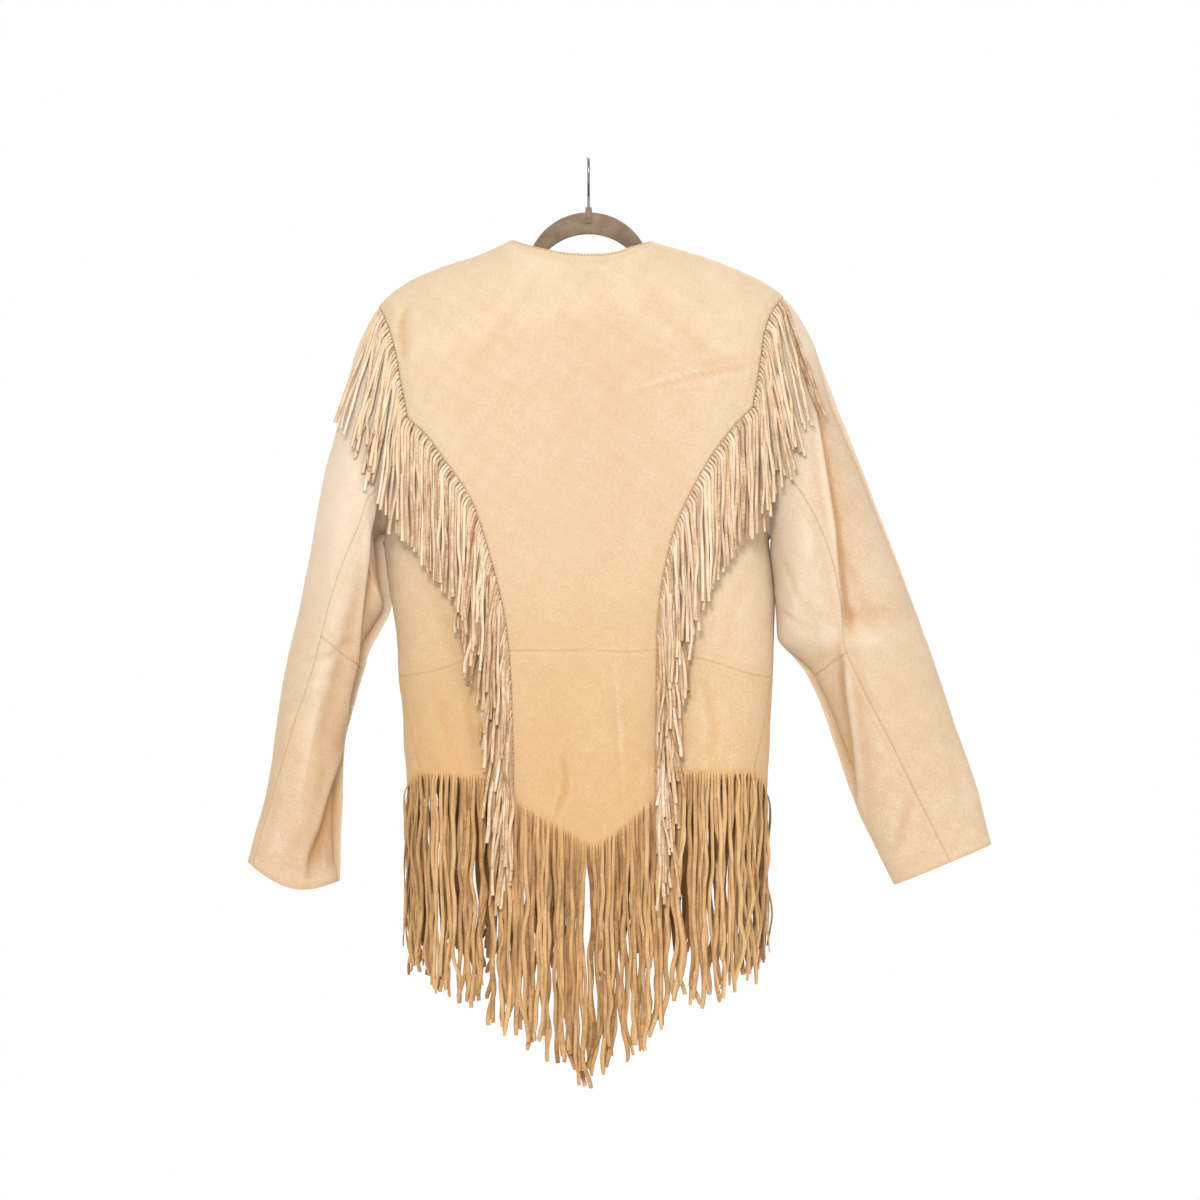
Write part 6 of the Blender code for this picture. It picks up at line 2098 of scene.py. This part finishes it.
@dataclass
class Hanger:
    """The slim hanger: a flat plate with an arched neck, sloping arms, a bar and a boss."""

    thick: float = 5.5
    edge_round: float = 1.3
    arm: Table = Table(
        ("x", "z"), ((66, -103), (105, -106.3), (127, -112.8), (170.4, -130.1), (202, -147))
    )
    arm_width: float = 15.0
    neck: tuple[float, float] = (71.0, -131.2)
    neck_hole: tuple[float, float] = (67.0, -152.0)
    bar: tuple[float, float] = (-176.0, -186.0)
    end: float = 213.0
    boss: tuple[float, float, float, float] = (5.2, 3.4, -72.0, -54.5)
    bore: tuple[float, float] = (1.8, -69.0)

    def outline(self) -> list[tuple[float, float]]:
        """The plate's outer edge, round the right half and back over the left.

        Returns:
            Its (x, z) points.
        """
        radius, centre = self.neck
        x0, z0 = self.arm.rows[0]
        meet = math.atan2(z0 - centre, x0)
        arc = [(radius * math.cos(a), centre + radius * math.sin(a)) for a in np.linspace(math.pi / 2, meet, 28)[:-1]]
        x = np.linspace(x0, self.arm.rows[-1][0], 24)
        arm = list(zip(x.tolist(), self.arm.curve("x", "z")(x).tolist()))
        corner = 14.0
        low = [
            (self.end - corner + corner * math.cos(a), self.bar[1] + corner + corner * math.sin(a))
            for a in np.linspace(0.0, -math.pi / 2, 10)
        ]
        half = arc + arm + [(206.5, -149.6), (209.6, -153), (212, -157), (self.end, -161)] + low
        return [(-x, z) for x, z in reversed(half[1:])] + half

    def hole(self) -> list[tuple[float, float]]:
        """The opening between the neck, the arms and the bar.

        Returns:
            Its (x, z) points.
        """
        radius, centre = self.neck_hole
        arc = [
            (radius * math.cos(a), centre + radius * math.sin(a))
            for a in np.linspace(math.pi / 2, math.radians(36.0), 20)
        ]
        x = np.linspace(105.0, 170.4, 12)
        z = self.arm.curve("x", "z")(x) - self.arm_width
        arm = list(zip(x.tolist(), z.tolist()))
        half = arc + arm + [(184, -153), (190, -156.5), (193, -161), (193.5, -167), (191.5, -172), (186, self.bar[0])]
        return [(-x, z) for x, z in reversed(half[1:])] + half

    def turned(self, name: str, low: float, top: float, bottom: float, crown: float) -> bpy.types.Object:
        """A cone or cylinder on the swivel axis.

        Args:
            name: Its name.
            low: Its radius below.
            top: Its radius above.
            bottom: The height of its foot.
            crown: The height of its top.

        Returns:
            The object.
        """
        mesh = bpy.data.meshes.new(name)
        builder = bmesh.new()
        bmesh.ops.create_cone(
            builder, cap_ends=True, segments=40, radius1=low * MM, radius2=top * MM, depth=(crown - bottom) * MM
        )
        for vert in builder.verts:
            vert.co.z += (crown + bottom) / 2.0 * MM
        builder.to_mesh(mesh)
        builder.free()
        return put_in_scene(name, mesh)

    def build(self) -> bpy.types.Mesh:
        """Makes the plate, joins its boss on and cuts its bore.

        Returns:
            The hanger as one mesh.
        """
        curve = bpy.data.curves.new("hanger_outline", "CURVE")
        curve.dimensions = "2D"
        curve.fill_mode = "BOTH"
        curve.bevel_depth = self.edge_round * MM
        curve.bevel_resolution = 3
        curve.offset = -self.edge_round * MM
        curve.extrude = (self.thick / 2.0 - self.edge_round) * MM
        for loop in (self.outline(), self.hole()):
            draw_line(curve, [(x, z, 0.0) for x, z in loop]).use_cyclic_u = True
        mesh = plain_mesh(put_in_scene("hanger_outline", curve))
        for vert in mesh.vertices:
            vert.co = (vert.co.x, -vert.co.z, vert.co.y)
        turn_outwards(mesh)
        plate = put_in_scene("hanger_plate", mesh)
        boss = self.turned("hanger_boss", *self.boss)
        bore = self.turned("hanger_bore", self.bore[0], self.bore[0], self.bore[1], self.boss[3] + 4.0)
        for tool, kind in ((boss, "UNION"), (bore, "DIFFERENCE")):
            cut = plate.modifiers.new(tool.name, "BOOLEAN")
            cut.operation = kind
            cut.object = tool
        made = plain_mesh(plate, boss, bore)
        made.name = "flocked_hanger"
        return smoothed(made, 40.0)


@dataclass
class Hook:
    """The wire hook: a stem on the swivel axis, then a question mark over it."""

    wire: float = 1.5
    radius: float = 18.5
    stem_end: float = -67.0
    foot: float = -46.0
    reach: float = 26.0
    start_turn: float = 210.0
    end_turn: float = -30.0

    def path(self) -> list[tuple[float, float]]:
        """The wire's middle line.

        Returns:
            Its (y, z) points, from the stem's end to the tip.
        """
        centre = self.wire - self.radius
        turn = math.radians(self.start_turn)
        meet = np.array([self.radius * math.cos(turn), centre + self.radius * math.sin(turn)])
        lean = np.array([math.sin(turn), -math.cos(turn)])
        foot = np.array([0.0, self.foot])
        points = [(0.0, z) for z in (self.stem_end, -62.0, -56.0, -52.0, -49.0)]
        for t in np.linspace(0.0, 1.0, 18)[:-1]:
            points.append(tuple(hermite(t, foot, meet, np.array([0.0, self.reach]), lean * self.reach)))
        for a in np.linspace(turn, math.radians(self.end_turn), 48):
            points.append((self.radius * math.cos(a), centre + self.radius * math.sin(a)))
        return points

    def build(self) -> bpy.types.Mesh:
        """Makes the wire as a closed tube with a rounded tip.

        Returns:
            The hook's mesh.
        """
        curve = bpy.data.curves.new("hook_wire", "CURVE")
        curve.dimensions = "3D"
        curve.bevel_depth = self.wire * MM
        curve.bevel_resolution = 6
        curve.use_fill_caps = True
        line = draw_line(curve, [(0.0, y, z) for y, z in self.path()])
        for back, share in ((1, 0.55), (2, 0.93)):
            line.points[-back].radius = share
        mesh = plain_mesh(put_in_scene("hook_wire", curve))
        turn_outwards(mesh)
        mesh.name = "swivel_hook"
        return smoothed(mesh)


def srgb(colour: str) -> tuple[float, float, float, float]:
    """Turns a colour to linear light.

    Args:
        colour: Its sRGB hex.

    Returns:
        Its linear values, with full alpha.
    """
    parts = [int(colour[i : i + 2], 16) / 255.0 for i in (1, 3, 5)]
    linear = [p / 12.92 if p <= 0.04045 else ((p + 0.055) / 1.055) ** 2.4 for p in parts]
    return (*linear, 1.0)


@dataclass(frozen=True)
class Finish:
    """A material: its name, and the way that every finish is put together."""

    name: str

    def shader(self, tree: Tree) -> bpy.types.Node:
        """Adds the finish's own nodes to a tree and gives the shader that they end in."""
        raise NotImplementedError

    def build(self) -> bpy.types.Material:
        """Makes the material.

        Returns:
            The material.
        """
        material = bpy.data.materials.new(self.name)
        material.use_nodes = True
        tree = Tree(material.node_tree)
        tree.add("ShaderNodeOutputMaterial", None, Surface=self.shader(tree).outputs[0])
        return material


@dataclass(frozen=True)
class Suede(Finish):
    """Buckskin: brain-tanned or smoked deer hide with a brushed nap on both sides.

    Its nap scatters light, so it has almost no gloss and a faint sheen at glancing angles.
    The real nap is under 0.5 mm; it is drawn at about 2 mm so that it shows.

    Fields:
        name: The material's name.
        pale: The colour of rubbed, raised nap, and of painted light.
        middle: The colour of the hide.
        deep: The dark colour: of the hide's darker patches, seams and edges, of painted shade in creases and folds, and
            of the thongs' edges and backs.
        low: The colour that the hide darkens to towards the hem.
        drop: The heights between which it does so, in metres.
        mottle: How strongly the hide's colour varies from place to place.
        grain: How strongly it varies over a few millimetres.
        nap: How strongly its nap shows.
        bump: How deep the nap is, in metres.
        edge: How far a thong's cut edges turn to the deep colour, partly their own darker colour and partly painted
            shadow between the thongs; its back turns up to half as far, in painted shade.
    """

    pale: str
    middle: str
    deep: str
    low: str
    drop: tuple[float, float] = (-0.30, -0.78)
    mottle: float = 1.0
    grain: float = 0.25
    nap: float = 1.1
    bump: float = 0.0004
    edge: float = 0.9

    def shader(self, tree: Tree) -> bpy.types.Node:
        """Adds the finish's nodes.

        Args:
            tree: The material's tree.

        Returns:
            The shader.
        """
        where = tree.add("ShaderNodeTexCoord").outputs["Object"]
        hung = tree.add("ShaderNodeMapping", None, Vector=where, Scale=(1.0, 1.0, 0.42))
        patch_ = tree.add("ShaderNodeTexNoise", None, Vector=hung.outputs[0], Scale=8.0, Detail=2.0, Roughness=0.5)
        blotch = tree.add("ShaderNodeTexNoise", None, Vector=where, Scale=52.0, Detail=4.0, Roughness=0.6)
        nap = tree.add("ShaderNodeTexNoise", None, Vector=where, Scale=480.0, Detail=2.0, Roughness=0.7)
        grain = tree.add("ShaderNodeTexNoise", None, Vector=where, Scale=210.0, Detail=3.0, Roughness=0.6)
        # The tone attribute carries wear, seams and random differences, and also painted light and shade from the
        # panels, the sleeves and the creases.
        tone = tree.add("ShaderNodeAttribute", {"attribute_name": "tone"})
        height = tree.add("ShaderNodeSeparateXYZ", None, i0=where)
        fall = tree.add(
            "ShaderNodeMapRange",
            {"interpolation_type": "SMOOTHSTEP"},
            Value=height.outputs["Z"], From_Min=self.drop[0], From_Max=self.drop[1],
        )
        hide = tree.add(
            "ShaderNodeMix", {"data_type": "RGBA"}, i0=fall.outputs[0], i6=srgb(self.middle), i7=srgb(self.low)
        )
        sources = (
            (patch_.outputs["Fac"], 0.5 * self.mottle),
            (blotch.outputs["Fac"], 0.1 * self.mottle),
            (grain.outputs["Fac"], self.grain),
            (nap.outputs["Fac"], self.nap),
            (tone.outputs["Fac"], 0.8),
        )
        total: Optional[bpy.types.NodeSocket] = None
        for socket, strength in sources:
            part = tree.add("ShaderNodeMath", {"operation": "SUBTRACT"}, i0=socket, i1=0.5)
            part = tree.add("ShaderNodeMath", {"operation": "MULTIPLY"}, i0=part.outputs[0], i1=strength)
            if total is None:
                total = part.outputs[0]
            else:
                total = tree.add("ShaderNodeMath", {"operation": "ADD"}, i0=total, i1=part.outputs[0]).outputs[0]
        light = tree.add("ShaderNodeMath", {"operation": "MULTIPLY", "use_clamp": True}, i0=total, i1=1.0)
        dark = tree.add("ShaderNodeMath", {"operation": "MULTIPLY", "use_clamp": True}, i0=total, i1=-1.0)
        rubbed = tree.add(
            "ShaderNodeMix", {"data_type": "RGBA"}, i0=light.outputs[0], i6=hide.outputs[2], i7=srgb(self.pale)
        )
        colour = tree.add(
            "ShaderNodeMix", {"data_type": "RGBA"}, i0=dark.outputs[0], i6=rubbed.outputs[2], i7=srgb(self.deep)
        )
        # rim darkens the thongs' cut edges, partly their own colour and partly painted shadow between the thongs, and
        # their backs with painted shade.
        rim = tree.add("ShaderNodeAttribute", {"attribute_name": "rim"})
        cut = tree.add("ShaderNodeMath", {"operation": "MULTIPLY"}, i0=rim.outputs["Fac"], i1=self.edge)
        colour = tree.add(
            "ShaderNodeMix", {"data_type": "RGBA"}, i0=cut.outputs[0], i6=colour.outputs[2], i7=srgb(self.deep)
        )
        soft = tree.add("ShaderNodeBump", None, Strength=0.35, Distance=self.bump * 2.0, Height=grain.outputs["Fac"])
        fine = tree.add(
            "ShaderNodeBump", None, Strength=0.4, Distance=self.bump, Height=nap.outputs["Fac"], Normal=soft.outputs[0]
        )
        return tree.add(
            "ShaderNodeBsdfPrincipled",
            None,
            Base_Color=colour.outputs[2], Roughness=0.92, IOR=1.4, Normal=fine.outputs[0],
            Specular_IOR_Level=0.2, Sheen_Weight=0.18, Sheen_Roughness=0.6, Sheen_Tint=srgb("#ffe9cc"),
        )


@dataclass(frozen=True)
class Flock(Finish):
    """Flocking: short nylon fibres glued to moulded plastic, which give a dull velvet look.

    The fibres are about 0.5 mm long; their clusters are drawn at about 1 mm.
    """

    name: str = "nylon_flocking"
    colour: str = "#85725f"
    shade: str = "#68584a"

    def shader(self, tree: Tree) -> bpy.types.Node:
        """Adds the finish's nodes.

        Args:
            tree: The material's tree.

        Returns:
            The shader.
        """
        where = tree.add("ShaderNodeTexCoord").outputs["Object"]
        fibre = tree.add("ShaderNodeTexNoise", None, Vector=where, Scale=950.0, Detail=2.0, Roughness=0.7)
        brushed = tree.add("ShaderNodeTexNoise", None, Vector=where, Scale=70.0, Detail=2.0)
        both = tree.add("ShaderNodeMath", {"operation": "MULTIPLY"}, i0=fibre.outputs["Fac"], i1=brushed.outputs["Fac"])
        spread = tree.add("ShaderNodeMapRange", None, Value=both.outputs[0], From_Min=0.12, From_Max=0.42)
        colour = tree.add(
            "ShaderNodeMix", {"data_type": "RGBA"}, i0=spread.outputs[0], i6=srgb(self.shade), i7=srgb(self.colour)
        )
        bump = tree.add("ShaderNodeBump", None, Strength=0.5, Distance=0.0003, Height=fibre.outputs["Fac"])
        return tree.add(
            "ShaderNodeBsdfPrincipled",
            None,
            Base_Color=colour.outputs[2], Roughness=0.95, IOR=1.5, Normal=bump.outputs[0],
            Specular_IOR_Level=0.15, Sheen_Weight=0.5, Sheen_Roughness=0.4, Sheen_Tint=srgb("#d9c8b8"),
        )


@dataclass(frozen=True)
class PlatedWire(Finish):
    """Nickel-plated steel wire, drawn, so that fine lines run along it and soften its gloss."""

    name: str = "nickel_plated_wire"
    colour: str = "#8e8c88"
    worn: str = "#6b6966"

    def shader(self, tree: Tree) -> bpy.types.Node:
        """Adds the finish's nodes.

        Args:
            tree: The material's tree.

        Returns:
            The shader.
        """
        where = tree.add("ShaderNodeTexCoord").outputs["Object"]
        drawn = tree.add("ShaderNodeMapping", None, Vector=where, Scale=(1.0, 1.0, 0.05))
        lines = tree.add("ShaderNodeTexNoise", None, Vector=drawn.outputs[0], Scale=2600.0, Detail=2.0)
        spots = tree.add("ShaderNodeTexNoise", None, Vector=where, Scale=240.0, Detail=3.0)
        colour = tree.add(
            "ShaderNodeMix", {"data_type": "RGBA"}, i0=spots.outputs["Fac"], i6=srgb(self.worn), i7=srgb(self.colour)
        )
        rough = tree.add("ShaderNodeMapRange", None, Value=lines.outputs["Fac"], To_Min=0.24, To_Max=0.42)
        return tree.add(
            "ShaderNodeBsdfPrincipled", None, Base_Color=colour.outputs[2], Metallic=1.0, Roughness=rough.outputs[0]
        )


@dataclass(frozen=True)
class Thread(Finish):
    """Waxed polyester sewing thread: smooth, slightly shiny, twisted at about 0.5 mm."""

    name: str = "waxed_thread"
    colour: str = "#ad8150"
    shade: str = "#8e673b"

    def shader(self, tree: Tree) -> bpy.types.Node:
        """Adds the finish's nodes.

        Args:
            tree: The material's tree.

        Returns:
            The shader.
        """
        where = tree.add("ShaderNodeTexCoord").outputs["Object"]
        twist = tree.add("ShaderNodeTexNoise", None, Vector=where, Scale=2000.0, Detail=1.0)
        colour = tree.add(
            "ShaderNodeMix", {"data_type": "RGBA"}, i0=twist.outputs["Fac"], i6=srgb(self.shade), i7=srgb(self.colour)
        )
        return tree.add("ShaderNodeBsdfPrincipled", None, Base_Color=colour.outputs[2], Roughness=0.6, IOR=1.5)


@dataclass(frozen=True)
class Paper(Finish):
    """Matte seamless backdrop paper."""

    name: str = "backdrop_paper"
    colour: str = "#f4f3f1"

    def shader(self, tree: Tree) -> bpy.types.Node:
        """Adds the finish's nodes.

        Args:
            tree: The material's tree.

        Returns:
            The shader.
        """
        return tree.add("ShaderNodeBsdfPrincipled", None, Base_Color=srgb(self.colour), Roughness=0.95)


@dataclass
class Studio:
    """The camera, the pale floor and the soft lights.

    Fields:
        eye: Where the camera stands, in metres, level with the middle of the jacket.
        lens: Its focal length, in millimetres, on a 36 mm sensor.
        floor_z: The floor's height: the hook hangs on a rail a little under 2 m up.
        floor_half: Half the floor's width.
        key: The key light's place, its width and its power, high on the left.
        fill: The fill light's, low on the right.
        front: The light on the jacket's far side, for views from there.
        sky: How bright the white surroundings are.
    """

    eye: tuple[float, float, float] = (0.0129, -8.05, -0.499)
    lens: float = 213.33
    floor_z: float = -1.95
    floor_half: float = 4.5
    key: tuple[tuple[float, float, float], float, float] = ((-0.6, -4.3, 1.9), 1.3, 185.0)
    fill: tuple[tuple[float, float, float], float, float] = ((3.2, -3.0, -0.4), 2.4, 27.0)
    front: tuple[tuple[float, float, float], float, float] = ((0.9, 4.3, 1.9), 1.6, 120.0)
    sky: float = 1.0

    def aim(self, thing: bpy.types.Object, at: tuple[float, float, float]) -> None:
        """Turns a lamp or camera to look at a point."""
        from_here = Vector(at) - thing.location
        thing.rotation_euler = from_here.to_track_quat("-Z", "Y").to_euler()

    def place_camera(self) -> None:
        """Makes the camera, square on to the back."""
        data = bpy.data.cameras.new("camera")
        data.lens, data.sensor_width = self.lens, 36.0
        data.clip_end = 60.0
        camera = put_in_scene("camera", data)
        camera.location = self.eye
        camera.rotation_euler = (math.pi / 2.0, 0.0, 0.0)
        bpy.context.scene.camera = camera

    def place_light(self, name: str, settings: tuple[tuple[float, float, float], float, float]) -> None:
        """Adds one square soft light, aimed at the jacket's chest.

        Args:
            name: Its name.
            settings: Its place, width and power.
        """
        place, width, power = settings
        data = bpy.data.lights.new(name, "AREA")
        data.shape, data.size, data.energy = "SQUARE", width, power
        lamp = put_in_scene(name, data)
        lamp.location = place
        self.aim(lamp, (0.0, 0.0, -0.5))

    def lay_floor(self) -> None:
        """Lays the floor."""
        half, z = self.floor_half, self.floor_z
        mesh = bpy.data.meshes.new("floor")
        mesh.from_pydata([(-half, -half, z), (half, -half, z), (half, half, z), (-half, half, z)], [], [(0, 1, 2, 3)])
        mesh.materials.append(Paper().build())
        put_in_scene("floor", mesh)

    def build(self) -> None:
        """Sets everything up."""
        self.place_camera()
        self.place_light("key_light", self.key)
        self.place_light("fill_light", self.fill)
        self.place_light("front_light", self.front)
        self.lay_floor()
        scene = bpy.context.scene
        scene.world = bpy.data.worlds.new("white_surroundings")
        scene.world.use_nodes = True
        tree = Tree(scene.world.node_tree)
        sky = tree.add("ShaderNodeBackground", None, Color=(1.0, 1.0, 1.0, 1.0), Strength=self.sky)
        tree.add("ShaderNodeOutputWorld", None, Surface=sky.outputs[0])
        scene.view_settings.view_transform = "Standard"


@dataclass
class FringedJacket:
    """The jacket: its panels and sleeves, the fringes in its seams and hem, and its stitching.

    Fields:
        hide: The body's leather.
        sleeve_hide: The sleeves', paler and greyer.
        thong_hide: The seam fringe's.
        hem_hide: The hem fringe's, darker and warmer.
        thread: The sewing thread.
        strand_width: The width that the seam fringe is cut to.
        hem_width: The width that the hem fringe is cut to.
        strand_thick: Its thickness.
        seam_stitch: The seam stitches' pitch, length, thread radius and height over the leather.
        edge_stitch: The same for the stitches beside the free edges.
    """

    hide: bpy.types.Material
    sleeve_hide: bpy.types.Material
    thong_hide: bpy.types.Material
    hem_hide: bpy.types.Material
    thread: bpy.types.Material
    strand_width: float = 4.5
    hem_width: float = 5.2
    strand_thick: float = 1.4
    seam_stitch: tuple[float, float, float, float] = (3.2, 2.0, 0.24, 0.06)
    edge_stitch: tuple[float, float, float, float] = (3.8, 2.5, 0.5, 0.25)
    body: BodyPanels = field(default_factory=BodyPanels)
    sleeves: Sleeves = field(default_factory=Sleeves)
    workshop: Workshop = field(default_factory=Workshop)
    pieces: dict = field(default_factory=dict)
    fringes: dict = field(default_factory=dict)

    def lay_panels(self) -> None:
        """Makes a wall of leather for each panel and sleeve piece."""
        self.body.build()
        self.sleeves.build()
        for grids, slot, finish in (
            (self.body.grids, "buckskin", self.hide),
            (self.sleeves.grids, "buckskin_sleeve", self.sleeve_hide),
        ):
            for name, panel in grids.items():
                mesh = wall_mesh(f"leather_{name}", panel, LEATHER)
                self.pieces[name] = add_piece(f"leather_{name}", mesh, "jacket", slot, finish, [name])

    def cut_thongs(
        self, node: str, guides: Guides, width: float, wander: float, seed: int, hide: bpy.types.Material
    ) -> bpy.types.Object:
        """Cuts the thongs of one fringe along its guides.

        Args:
            node: The node that the fringe stands for.
            guides: The thongs' middle lines.
            width: The width that they are cut to.
            wander: How far they stray from their lines.
            seed: The number that their straying starts from.
            hide: Their leather.

        Returns:
            The fringe.
        """
        values = {
            "Strand Width": width * MM,
            "Hide Thickness": self.strand_thick * MM,
            "Wander": wander * MM,
            "Wander Scale": 16.0,
            "Seed": float(seed),
            "Material": hide,
        }
        name = f"strands_{node}"
        mesh = self.workshop.run(name, guides.mesh(name + "_lines"), self.thong_tree, values)
        return add_piece(name, mesh, "jacket", "buckskin_fringe", hide, [node])

    def hang_seam_fringe(self) -> None:
        """Sets the fringe in the four armhole and princess seams."""
        for face in Face:
            reach = ReachMap(face)
            for side in Side:
                name = f"fringe_{face.word}_{side.value}"
                seed = 11 + 2 * (face is Face.FRONT) + (side is Side.RIGHT)
                guides = SeamFringe(side, face, reach, seed=seed).guides()
                piece = self.cut_thongs(name, guides, self.strand_width, 1.6, seed, self.thong_hide)
                panel = f"{face.word}_centre_upper" + ("" if face is Face.BACK else f"_{side.value}")
                self.fringes.setdefault(panel, []).append(piece)

    def cut_hem(self) -> None:
        """Cuts the hem fringe below each lower panel."""
        hem_back = HEM_ENDS.curve("x", "z")
        for seed, (name, panel) in enumerate(sorted(self.body.grids.items())):
            if "_lower" not in name:
                continue
            node = "hem_fringe_" + name.replace("_lower", "")
            ends = hem_back if name.startswith("back") else front_hem_ends
            guides = HemFringe(panel, ends, seed=40 + seed).guides()
            piece = self.cut_thongs(node, guides, self.hem_width, 5.0, 40 + seed, self.hem_hide)
            self.fringes.setdefault(name, []).append(piece)

    def sew(self) -> None:
        """Lays the visible stitching: a bold row beside the back neckline and the front edges, fine rows beside the
        centre panels' armhole and princess seams.
        """
        fronts = [f"front_centre_{part}_{side.value}" for part in ("upper", "lower") for side in Side]
        bold = {"back_centre_upper": (0,), **{name: (3,) for name in fronts}}
        fine = {"back_centre_upper": (2, 3), "back_centre_lower": (2, 3), **{name: (2,) for name in fronts}}
        for word, rows, by, (pitch, length, radius, lift) in (
            ("edge", bold, 2.8, self.edge_stitch),
            ("seam", fine, 2.4, self.seam_stitch),
        ):
            values = {
                "Stitch Pitch": pitch * MM,
                "Stitch Length": length * MM,
                "Thread Radius": radius * MM,
                "Slant": 0.35,
                "Seed": 5.0,
                "Material": self.thread,
            }
            for name, edges in rows.items():
                title = f"{word}_stitches_{name}"
                paths = [self.body.grids[name].inset_line(edge, by, lift) for edge in edges]
                if edges == (0,):
                    paths = [path[(path[:, 0] > NECK_ENDS[0]) & (path[:, 0] < NECK_ENDS[1])] for path in paths]
                mesh = self.workshop.run(title, guide_mesh(title + "_rows", paths), self.stitch_tree, values)
                piece = add_piece(title, mesh, "jacket", "buckskin", self.thread)
                self.fringes.setdefault(name, []).append(piece)

    def declare(self) -> None:
        """Goes through every sheet of leather and the trim on it, and does nothing with them."""
        for name, piece in self.pieces.items():
            if "_lower" in name:
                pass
            elif "side_upper" in name:
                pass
            trim = self.fringes.get(name, [])
            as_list(trim)

    def build(self) -> None:
        """Makes the whole jacket."""
        self.thong_tree = self.workshop.fringe_tree()
        self.stitch_tree = self.workshop.stitch_tree()
        self.lay_panels()
        self.hang_seam_fringe()
        self.cut_hem()
        self.sew()


def main() -> None:
    """Builds the hanger, the jacket on it and the studio round them."""
    logging.basicConfig(level=logging.INFO, format="%(message)s")
    bpy.context.scene.frame_set(1)
    wire, flock = PlatedWire().build(), Flock().build()
    add_piece("swivel_hook", Hook().build(), "hook", "steel_wire", wire, ["hook"])
    add_piece("flocked_hanger", Hanger().build(), "jacket", "flocked_plastic", flock, ["hanger"])
    jacket = FringedJacket(
        hide=Suede("smoked_buckskin", "#c7b8a3", "#b79f82", "#ab7d49", "#b49268").build(),
        sleeve_hide=Suede("smoked_buckskin_sleeve", "#cabcab", "#bca993", "#a37d56", "#b3987a").build(),
        thong_hide=Suede("cut_buckskin_fringe", "#cfbea8", "#c0a789", "#784f2d", "#b18c64", grain=0.7, nap=1.3).build(),
        hem_hide=Suede("cut_buckskin_hem", "#be9b6f", "#ae895f", "#765230", "#ab8356", grain=0.9, nap=1.4).build(),
        thread=Thread().build(),
    )
    jacket.build()
    jacket.declare()
    Studio().build()


if __name__ == "__main__":
    main()
